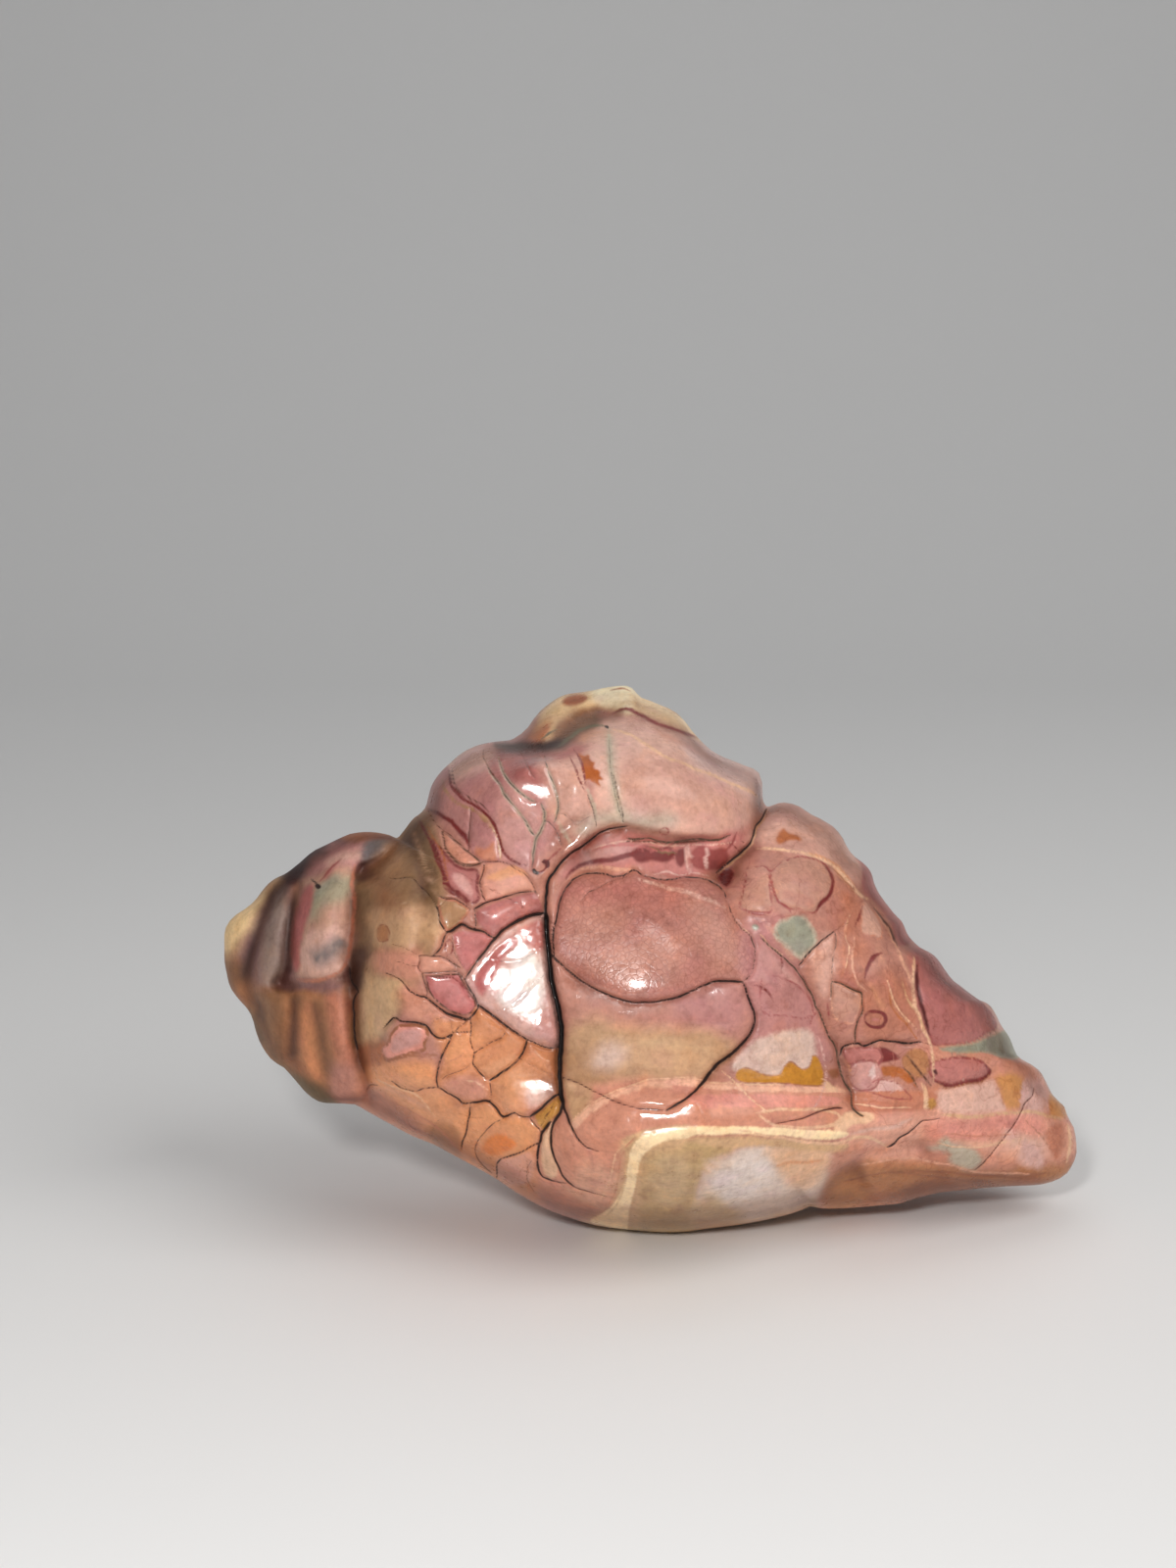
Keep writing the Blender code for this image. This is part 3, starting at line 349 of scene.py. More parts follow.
# Soft ground colours: colour, softness in units, outline.
GROUND = [
    ("dusty", 1, [(200, 660), (1130, 660), (1130, 1290), (200, 1290)]),
    # left lobe
    ("mauve_d", 10, [(215, 840), (404, 840), (404, 856), (372, 882), (364, 1010), (330, 1012), (240, 1030), (215, 980)]),
    ("maroon", 8, [(272, 912), (284, 888), (312, 858), (344, 844), (352, 858), (336, 874), (318, 888), (300, 902), (288, 914)]),
    ("mauve", 7, [(318, 872), (340, 862), (372, 860), (370, 882), (350, 890), (326, 892), (312, 896)]),
    ("greyb", 6, [(372, 858), (404, 856), (398, 872), (380, 878), (370, 872)]),
    ("brick", 3, [(350, 844), (398, 844), (402, 854), (384, 858), (352, 857)]),
    ("ash", 8, [(277, 918), (291, 905), (297, 920), (293, 950), (287, 984), (280, 1002), (264, 1002), (263, 975), (268, 942)]),
    ("sand", 8, [(222, 975), (224, 950), (238, 926), (262, 908), (286, 888), (288, 896), (273, 912), (260, 936), (252, 956), (242, 976), (232, 990)]),
    ("yellow", 5, [(226, 968), (230, 946), (246, 930), (264, 916), (270, 910), (262, 926), (252, 944), (243, 960), (234, 970)]),
    ("tan_b", 9, [(226, 984), (248, 984), (254, 1000), (260, 1030), (248, 1030), (232, 1008)]),
    ("clay", 5, [(302, 905), (338, 886), (360, 882), (360, 920), (357, 960), (352, 984), (342, 993), (320, 998), (302, 996), (300, 970), (305, 940)]),
    ("green_l", 7, [(318, 912), (330, 902), (356, 893), (357, 912), (342, 922), (328, 928), (320, 940), (313, 934)]),
    ("clay", 7, [(326, 932), (354, 924), (354, 950), (330, 956), (318, 950)]),
    ("blush", 7, [(310, 958), (330, 948), (352, 944), (352, 978), (342, 991), (316, 995), (306, 984)]),
    # lobe's foot
    ("caramel", 9, [(238, 1012), (256, 1006), (300, 1006), (358, 1004), (366, 1060), (372, 1110), (380, 1136), (330, 1132), (300, 1106), (262, 1070), (250, 1035)]),
    ("tan_b", 7, [(258, 1010), (288, 1010), (292, 1048), (286, 1080), (272, 1062), (262, 1040)]),
    ("orange", 9, [(306, 1040), (320, 1024), (322, 1064), (324, 1098), (314, 1104), (304, 1088), (302, 1050)]),
    ("salmon_d", 6, [(338, 1010), (358, 1012), (360, 1054), (363, 1092), (350, 1098), (340, 1070), (336, 1036)]),
    ("dusty", 7, [(338, 1090), (366, 1092), (386, 1134), (350, 1126), (336, 1112)]),
    ("olive_d", 6, [(296, 1096), (316, 1104), (338, 1114), (346, 1128), (326, 1128), (304, 1112)]),
    ("mauve_d", 4, [(284, 1001), (310, 1002), (344, 1000), (350, 1008), (326, 1013), (296, 1012)]),
    # shoulder
    ("tan", 8, [(404, 852), (434, 824), (448, 850), (458, 900), (452, 950), (430, 990), (400, 1030), (368, 1060), (362, 1010), (362, 960), (366, 900)]),
    ("tan_d", 11, [(414, 846), (438, 838), (450, 890), (450, 935), (438, 956), (424, 940), (414, 900), (408, 868)]),
    ("tan_b", 11, [(380, 902), (400, 896), (406, 920), (400, 946), (384, 950), (376, 930)]),
    ("tan_b", 7, [(376, 940), (396, 948), (398, 964), (384, 968), (374, 958)]),
    ("tan_d", 8, [(360, 898), (374, 892), (378, 930), (376, 990), (362, 996), (358, 940)]),
    ("shade", 5, [(360, 968), (378, 964), (377, 984), (369, 1010), (358, 1004)]),
    ("tan_l", 8, [(376, 932), (410, 926), (446, 934), (450, 960), (426, 968), (392, 966), (378, 958)]),
    ("salmon", 8, [(386, 970), (426, 968), (430, 990), (412, 1002), (390, 996)]),
    ("sand", 7, [(378, 996), (398, 998), (412, 1010), (408, 1030), (396, 1044), (390, 1058), (377, 1070), (367, 1072), (363, 1053), (365, 1026), (370, 1008)]),
    ("salmon", 8, [(406, 1006), (428, 1012), (450, 1030), (452, 1042), (430, 1042), (408, 1034)]),
    ("orange_d", 6, [(364, 1066), (384, 1060), (396, 1070), (392, 1090), (374, 1096), (366, 1080)]),
    ("apricot", 9, [(368, 1094), (400, 1084), (440, 1080), (446, 1110), (470, 1130), (476, 1180), (430, 1166), (390, 1146), (372, 1120)]),
    ("salmon", 9, [(366, 1108), (396, 1116), (420, 1132), (436, 1158), (400, 1150), (374, 1132)]),
    ("orange_l", 9, [(396, 1098), (430, 1090), (450, 1112), (470, 1134), (466, 1150), (430, 1146), (404, 1124)]),
    ("caramel", 6, [(440, 1148), (464, 1146), (474, 1168), (472, 1184), (446, 1172)]),
    # lower left plates
    ("orange", 5, [(446, 1042), (480, 1040), (490, 1028), (540, 1060), (572, 1068), (572, 1118), (556, 1130), (524, 1138), (500, 1126), (470, 1124), (446, 1108), (452, 1074)]),
    ("apricot", 8, [(462, 1060), (486, 1056), (490, 1078), (470, 1094), (456, 1080)]),
    ("orange_l", 8, [(505, 1098), (530, 1086), (560, 1096), (566, 1112), (540, 1130), (516, 1132)]),
    ("apricot", 7, [(488, 1136), (520, 1138), (552, 1150), (556, 1200), (552, 1232), (508, 1206), (476, 1186), (478, 1150)]),
    ("apricot", 8, [(470, 1128), (500, 1126), (512, 1140), (488, 1160), (476, 1176)]),
    ("salmon", 9, [(548, 1150), (580, 1140), (640, 1150), (642, 1200), (636, 1262), (560, 1240), (545, 1210)]),
    ("salmon_l", 9, [(584, 1200), (620, 1176), (640, 1182), (632, 1215), (600, 1230)]),
    ("dusty", 8, [(556, 1226), (590, 1232), (636, 1240), (640, 1262), (570, 1248)]),
    # upper mass
    ("mauve", 9, [(436, 812), (446, 785), (480, 758), (520, 750), (560, 770), (575, 800), (570, 840), (548, 884), (500, 880), (470, 850), (450, 830)]),
    ("blush", 9, [(450, 782), (474, 766), (500, 762), (504, 776), (484, 786), (462, 794)]),
    ("rose_m", 8, [(514, 772), (548, 776), (560, 800), (548, 822), (524, 806)]),
    ("mauve_l", 10, [(520, 800), (548, 812), (556, 846), (540, 880), (516, 866), (506, 834)]),
    ("pinktan", 9, [(548, 762), (590, 762), (620, 760), (626, 800), (622, 836), (590, 850), (566, 840), (556, 800)]),
    ("blush", 10, [(600, 744), (640, 730), (690, 742), (740, 768), (785, 792), (785, 826), (760, 850), (700, 850), (640, 838), (606, 800)]),
    ("pinktan", 11, [(640, 770), (690, 772), (720, 800), (716, 828), (660, 832), (634, 806)]),
    ("pinktan", 12, [(692, 812), (742, 796), (785, 806), (785, 830), (762, 856), (720, 852), (690, 838)]),
    ("lilac", 12, [(700, 756), (740, 776), (776, 796), (776, 814), (744, 800), (706, 780)]),
    ("rose_m", 6, [(508, 764), (560, 766), (586, 758), (590, 768), (560, 776), (516, 774)]),
    ("shade", 5, [(506, 757), (548, 758), (572, 746), (590, 732), (606, 724), (612, 731), (596, 746), (574, 762), (552, 768), (512, 765)]),
    ("yellow", 6, [(540, 748), (548, 732), (566, 712), (600, 705), (626, 708), (612, 720), (590, 727), (574, 742), (556, 754)]),
    ("tan", 7, [(560, 746), (574, 736), (590, 724), (608, 722), (604, 734), (588, 746), (572, 754)]),
    ("yellow", 5, [(602, 698), (640, 692), (656, 706), (670, 716), (656, 724), (632, 724), (612, 720)]),
    ("cream_l", 4, [(606, 700), (644, 697), (662, 708), (654, 722), (616, 722)]),
    ("cream", 6, [(652, 706), (700, 730), (716, 756), (704, 750), (684, 736), (660, 728), (646, 722)]),
    ("orange", 4, [(534, 752), (546, 740), (558, 736), (556, 748), (544, 757)]),
    # crescent
    ("rose_l", 6, [(572, 900), (580, 878), (600, 862), (640, 848), (700, 856), (752, 852), (770, 842), (764, 866), (742, 886), (700, 894), (650, 888), (600, 888)]),
    ("mauve_l", 6, [(600, 870), (630, 860), (652, 862), (640, 872), (610, 878), (592, 886)]),
    ("salmon", 4, [(587, 889), (602, 884.5), (640, 886), (648, 889), (600, 892), (578, 902)]),
    # belly
    ("belly", 6, [(566, 975), (568, 930), (584, 900), (610, 890), (700, 896), (740, 912), (770, 965), (766, 995), (730, 1002), (660, 1022), (600, 1006)]),
    ("belly_d", 12, [(584, 908), (640, 898), (690, 902), (700, 918), (650, 922), (606, 930), (578, 956)]),
    ("belly_l", 18, [(584, 930), (610, 918), (640, 930), (630, 960), (596, 968), (574, 958)]),
    ("belly_l", 16, [(600, 970), (650, 950), (700, 960), (690, 1000), (640, 1008), (606, 990)]),
    ("dusty", 12, [(700, 910), (738, 922), (764, 965), (760, 992), (730, 996), (706, 960)]),
    ("dusty", 6, [(562, 978), (600, 1006), (660, 1023), (706, 1012), (757, 1002), (769, 1036), (756, 1066), (700, 1060), (640, 1050), (590, 1046), (570, 1030)]),
    ("dusty", 10, [(576, 1000), (606, 1012), (640, 1026), (640, 1044), (600, 1040), (576, 1024)]),
    ("mauve", 14, [(690, 1022), (724, 1008), (756, 1008), (762, 1040), (740, 1052), (700, 1044)]),
    ("wheat", 10, [(576, 1046), (600, 1040), (640, 1044), (700, 1050), (752, 1058), (738, 1084), (715, 1102), (660, 1106), (610, 1118), (582, 1110), (574, 1080)]),
    ("tan", 12, [(576, 1074), (604, 1070), (622, 1094), (610, 1114), (584, 1108)]),
    ("tan_l", 12, [(640, 1056), (700, 1062), (736, 1072), (716, 1094), (660, 1098), (634, 1086)]),
    ("oat", 11, [(606, 1074), (618, 1062), (633, 1066), (639, 1078), (626, 1089), (610, 1086)]),
    ("salmon", 7, [(576, 1110), (596, 1108), (650, 1100), (700, 1100), (755, 1106), (850, 1108), (870, 1130), (860, 1160), (760, 1156), (690, 1160), (650, 1156), (640, 1200), (600, 1176), (582, 1140)]),
    ("tan_l", 6, [(576, 1104), (598, 1108), (604, 1118), (598, 1134), (586, 1146), (579, 1130)]),
    ("coral", 6, [(690, 1113), (760, 1115), (850, 1116), (858, 1128), (820, 1132), (760, 1136), (700, 1134)]),
    # under the fold
    ("olive_t", 4, [(640, 1200), (650, 1178), (664, 1168), (690, 1163), (722, 1160), (752, 1166), (734, 1178), (720, 1191), (715, 1206), (713, 1226), (710, 1266), (630, 1266), (636, 1230)]),
    ("olive_l", 9, [(664, 1186), (690, 1176), (706, 1186), (700, 1220), (672, 1226), (658, 1206)]),
    ("sand", 7, [(596, 1252), (618, 1236), (630, 1210), (634, 1182), (642, 1162), (662, 1150), (700, 1145), (700, 1168), (668, 1176), (655, 1190), (650, 1250)]),
    ("greyw", 6, [(722, 1188), (750, 1172), (775, 1166), (800, 1168), (850, 1176), (845, 1205), (828, 1234), (800, 1244), (755, 1253), (712, 1256), (716, 1210)]),
    ("olive_l", 8, [(712, 1226), (740, 1222), (756, 1240), (740, 1256), (708, 1258)]),
    ("cream_p", 8, [(784, 1172), (835, 1170), (850, 1182), (838, 1206), (812, 1214), (798, 1196)]),
    ("greyw_l", 9, [(742, 1186), (780, 1178), (790, 1200), (765, 1224), (738, 1226), (728, 1206)]),
    ("tan_l", 6, [(716, 1250), (760, 1244), (800, 1236), (830, 1226), (828, 1240), (760, 1256), (712, 1260)]),
    # right of the belly
    ("mauve", 7, [(757, 950), (778, 958), (812, 990), (836, 1036), (850, 1080), (800, 1100), (752, 1098), (768, 1050), (760, 1008)]),
    ("dusty", 12, [(786, 820), (850, 842), (890, 900), (930, 960), (936, 1060), (950, 1110), (900, 1130), (870, 1120), (850, 1060), (812, 980), (757, 940), (745, 905), (770, 850)]),
    ("pinktan", 9, [(786, 822), (830, 830), (858, 856), (852, 868), (810, 862), (780, 864), (770, 850)]),
    ("pinktan", 8, [(790, 866), (858, 868), (880, 888), (872, 900), (846, 884)]),
    ("blush", 7, [(836, 850), (856, 852), (874, 874), (872, 884), (850, 872)]),
    ("mauve", 8, [(764, 934), (800, 934), (796, 958), (812, 986), (790, 978), (766, 952)]),
    ("rust", 12, [(850, 905), (878, 912), (884, 940), (870, 960), (852, 944)]),
    ("rust", 10, [(846, 960), (884, 960), (888, 1000), (870, 1012), (850, 1000)]),
    ("pinktan", 6, [(824, 972), (850, 954), (851, 1000), (840, 1020)]),
    ("rust", 9, [(880, 1010), (930, 1010), (938, 1050), (900, 1062), (878, 1040)]),
    ("rust", 9, [(894, 1000), (916, 990), (926, 1010), (916, 1030), (898, 1024)]),
    ("rose_m", 6, [(934, 964), (958, 978), (1004, 1020), (1020, 1050), (1000, 1062), (954, 1066), (940, 1030), (932, 990)]),
    ("blush", 4, [(998, 1022), (1010, 1028), (1022, 1050), (1010, 1058), (1002, 1044)]),
    ("salmon", 8, [(944, 1064), (1030, 1062), (1060, 1090), (1098, 1150), (1098, 1180), (1040, 1190), (960, 1190), (900, 1180), (880, 1130), (950, 1110)]),
    ("peach", 7, [(866, 1140), (930, 1140), (960, 1146), (940, 1176), (890, 1190), (862, 1176)]),
    ("salmon", 6, [(862, 1168), (905, 1170), (900, 1178), (868, 1186), (850, 1198), (848, 1182)]),
    # tail
    ("peach", 8, [(958, 1130), (1030, 1134), (1090, 1146), (1094, 1176), (1050, 1186), (1000, 1178), (960, 1170), (930, 1168)]),
    ("coral", 9, [(952, 1140), (1010, 1140), (1060, 1138), (1064, 1156), (1010, 1166), (956, 1162)]),
    ("blush", 8, [(1032, 1160), (1058, 1160), (1066, 1178), (1048, 1188), (1034, 1180)]),
    ("orange", 8, [(840, 1234), (850, 1204), (880, 1186), (930, 1190), (950, 1206), (930, 1226), (880, 1236)]),
    ("honey", 6, [(848, 1204), (878, 1194), (886, 1214), (868, 1228), (846, 1228)]),
    ("caramel", 7, [(880, 1190), (960, 1190), (1040, 1194), (1092, 1186), (1074, 1212), (1000, 1218), (940, 1224), (880, 1212)]),
    ("brick", 5, [(936, 1210), (1000, 1206), (1060, 1204), (1066, 1214), (1000, 1220), (930, 1232)]),
]

# Soft strokes: colour, width, softness, strength, points.
STROKES = [
    # left lobe
    # painted shade: the slate stroke and the thin purple one two lines below darken the lobe's two furrows
    ("slate", 10, 9, 0.85, [(297, 888), (282, 906), (272, 926), (264, 948), (256, 972), (249, 994), (246, 1012)]),
    ("purple", 16, 9, 0.85, [(284, 900), (300, 886), (318, 872), (338, 862)]),
    ("purple", 5, 5, 0.85, [(301, 904), (298, 930), (295, 958), (293, 982), (288, 1000)]),
    ("wine_d", 6, 4, 0.8, [(296, 984), (291, 996), (287, 1003)]),
    ("rose_d", 4, 4, 0.5, [(324, 904), (315, 924), (308, 944), (303, 968), (301, 990)]),
    ("rose", 5, 3, 0.7, [(330, 900), (340, 886), (350, 872)]),
    ("blush", 9, 6, 0.85, [(330, 886), (346, 876), (360, 872), (372, 872)]),
    ("green", 8, 6, 0.8, [(316, 918), (334, 902), (350, 893)]),
    ("greyb", 17, 9, 0.95, [(316, 984), (330, 976), (343, 966), (354, 956)]),
    ("blush", 8, 6, 0.6, [(318, 990), (332, 990), (346, 982)]),
    ("maroon", 14, 9, 0.7, [(366, 878), (372, 888), (374, 900)]),
    # painted shade: these dark strokes lie down the furrows of the lobe's foot
    ("shade", 9, 8, 0.9, [(300, 1008), (300, 1035), (299, 1060), (298, 1086)]),
    ("shade", 8, 9, 0.8, [(319, 1012), (324, 1040), (331, 1074), (334, 1104)]),
    ("brown", 6, 6, 0.6, [(301, 1014), (301, 1040), (300, 1064), (298, 1086)]),
    ("shade", 7, 8, 0.5, [(264, 1030), (263, 1050), (268, 1068)]),
    ("shade", 7, 8, 0.6, [(362, 985), (361, 1010), (362, 1040), (366, 1072), (372, 1096)]),
    ("salmon", 3, 3, 0.5, [(344, 1016), (346, 1040), (349, 1066), (352, 1090)]),
    ("brick_d", 3, 3, 0.45, [(352, 1014), (354, 1040), (357, 1070)]),
    ("brick_d", 3, 3, 0.4, [(340, 1020), (341, 1050), (345, 1080)]),
    ("tan", 4, 4, 0.5, [(272, 1016), (274, 1040), (280, 1062)]),
    ("olive_d", 8, 6, 0.7, [(252, 1020), (262, 1052), (280, 1080), (300, 1100), (322, 1118)]),
    ("cream_p", 2, 2.5, 0.55, [(418, 842), (430, 870), (440, 900), (447, 920)]),
    ("orange_d", 7, 7, 0.35, [(392, 905), (395, 925), (392, 945)]),
    ("shade", 6, 5, 0.6, [(414, 850), (424, 876), (430, 900), (433, 926)]),
    ("tan_d", 3, 3, 0.5, [(412, 1010), (408, 1034), (395, 1046), (390, 1060), (370, 1074)]),
    ("blush", 3, 3, 0.4, [(384, 1108), (410, 1116), (440, 1134)]),
    ("salmon_d", 4, 3, 0.5, [(380, 1116), (404, 1128), (436, 1150)]),
    # upper mass
    # painted shade: the shade and slate strokes darken the fold under the crest
    ("shade", 7, 5, 0.75, [(500, 761), (530, 764), (556, 762), (580, 754)]),
    ("slate", 6, 4, 0.7, [(544, 763), (566, 760), (584, 754)]),
    ("orange_l", 6, 5, 0.5, [(588, 756), (610, 748), (630, 748)]),
    ("salmon", 5, 4, 0.6, [(606, 732), (620, 728), (640, 728)]),
    ("sage", 12, 9, 0.85, [(574, 846), (592, 846), (606, 838), (630, 834), (660, 838), (704, 836)]),
    ("sage", 8, 6, 0.85, [(618, 738), (622, 752), (624, 772), (626, 800), (632, 826), (637, 842)]),
    ("blush", 4, 4, 0.6, [(636, 748), (680, 772), (730, 792), (776, 812)]),
    ("salmon_d", 5, 4, 0.45, [(660, 742), (700, 760), (740, 780)]),
    ("rose_m", 5, 4, 0.55, [(600, 770), (602, 800), (606, 826)]),
    ("pinktan", 8, 6, 0.5, [(704, 818), (736, 824), (766, 828)]),
    ("orange_l", 12, 12, 0.22, [(690, 824), (720, 822), (750, 826)]),
    ("lilac", 9, 7, 0.4, [(460, 775), (476, 768), (498, 763)]),
    ("rose_d", 4, 3, 0.5, [(498, 770), (506, 786), (514, 800)]),
    # belly and zone under the lip
    ("salmon_l", 4, 4, 0.5, [(584, 1030), (630, 1046), (690, 1050), (746, 1050)]),
    ("rose_l", 4, 4, 0.4, [(640, 1036), (690, 1040), (750, 1040)]),
    ("olive_l", 4, 4, 0.5, [(590, 1060), (640, 1058), (700, 1070), (736, 1076)]),
    ("tan_b", 4, 4, 0.35, [(590, 1096), (640, 1094), (690, 1092)]),
    ("salmon_d", 5, 3, 0.7, [(600, 1124), (650, 1108), (700, 1107), (760, 1110)]),
    ("cream_p", 3, 2.5, 0.5, [(604, 1140), (650, 1122), (700, 1118), (760, 1120), (830, 1122)]),
    ("salmon_d", 3, 2.5, 0.5, [(610, 1150), (656, 1134), (706, 1130)]),
    ("belly_d", 4, 3, 0.5, [(596, 1160), (606, 1190), (604, 1220)]),
    ("salmon_d", 3, 3, 0.5, [(576, 1160), (584, 1190), (582, 1220)]),
    ("cream_p", 3, 3, 0.4, [(566, 1200), (590, 1222), (624, 1236)]),
    ("brick", 5, 4, 0.4, [(655, 1225), (664, 1210), (676, 1204)]),
    ("brick", 5, 4, 0.35, [(680, 1244), (694, 1232), (704, 1220)]),
    ("cream_p", 3, 3, 0.5, [(716, 1250), (718, 1226), (722, 1204), (738, 1184)]),
    # right field
    ("orange_l", 4, 3, 0.6, [(850, 884), (862, 896), (874, 908)]),
    ("brick", 3, 2.5, 0.55, [(852, 892), (866, 904), (880, 916)]),
    ("wine_l", 5, 4, 0.55, [(900, 918), (912, 940), (920, 960)]),
    ("blush", 3, 2.5, 0.5, [(888, 904), (902, 930), (916, 952)]),
    ("salmon_l", 4, 3, 0.5, [(892, 960), (902, 984), (912, 1000)]),
    ("orange_l", 4, 3, 0.5, [(886, 1000), (896, 1020), (906, 1034)]),
    ("rose_m", 4, 3, 0.5, [(860, 984), (866, 1000), (876, 1008)]),
    ("brick", 4, 3, 0.5, [(908, 1006), (916, 1028), (930, 1048)]),
    ("cream_p", 3, 3, 0.4, [(780, 940), (796, 960), (812, 984)]),
    ("rose_d", 4, 4, 0.4, [(782, 990), (800, 1010), (820, 1044)]),
    ("blush", 4, 4, 0.4, [(790, 980), (812, 1004), (832, 1040)]),
    # tail
    ("blush", 4, 4, 0.6, [(998, 1024), (1008, 1040), (1016, 1054)]),
    ("rose_d", 7, 6, 0.5, [(945, 980), (962, 1000), (984, 1040)]),
    ("rose_l", 5, 4, 0.5, [(960, 1146), (1000, 1146), (1050, 1144)]),
    ("cream_p", 3, 3, 0.5, [(964, 1162), (1010, 1168), (1056, 1160)]),
    ("salmon_d", 4, 3, 0.55, [(900, 1168), (940, 1164), (980, 1170), (1030, 1186)]),
    ("brick", 5, 5, 0.5, [(900, 1196), (960, 1197), (1030, 1199), (1080, 1194)]),
    ("brick", 7, 8, 0.5, [(860, 1230), (920, 1224), (980, 1212), (1050, 1208)]),
    ("orange", 5, 4, 0.5, [(870, 1194), (920, 1186), (960, 1190)]),
    ("brick", 3, 2.5, 0.5, [(1062, 1152), (1072, 1166), (1080, 1180)]),
    ("brick", 3, 2.5, 0.4, [(1052, 1150), (1060, 1168), (1066, 1184)]),
    ("salmon_l", 4, 3, 0.5, [(1068, 1150), (1080, 1166), (1088, 1180)]),
]

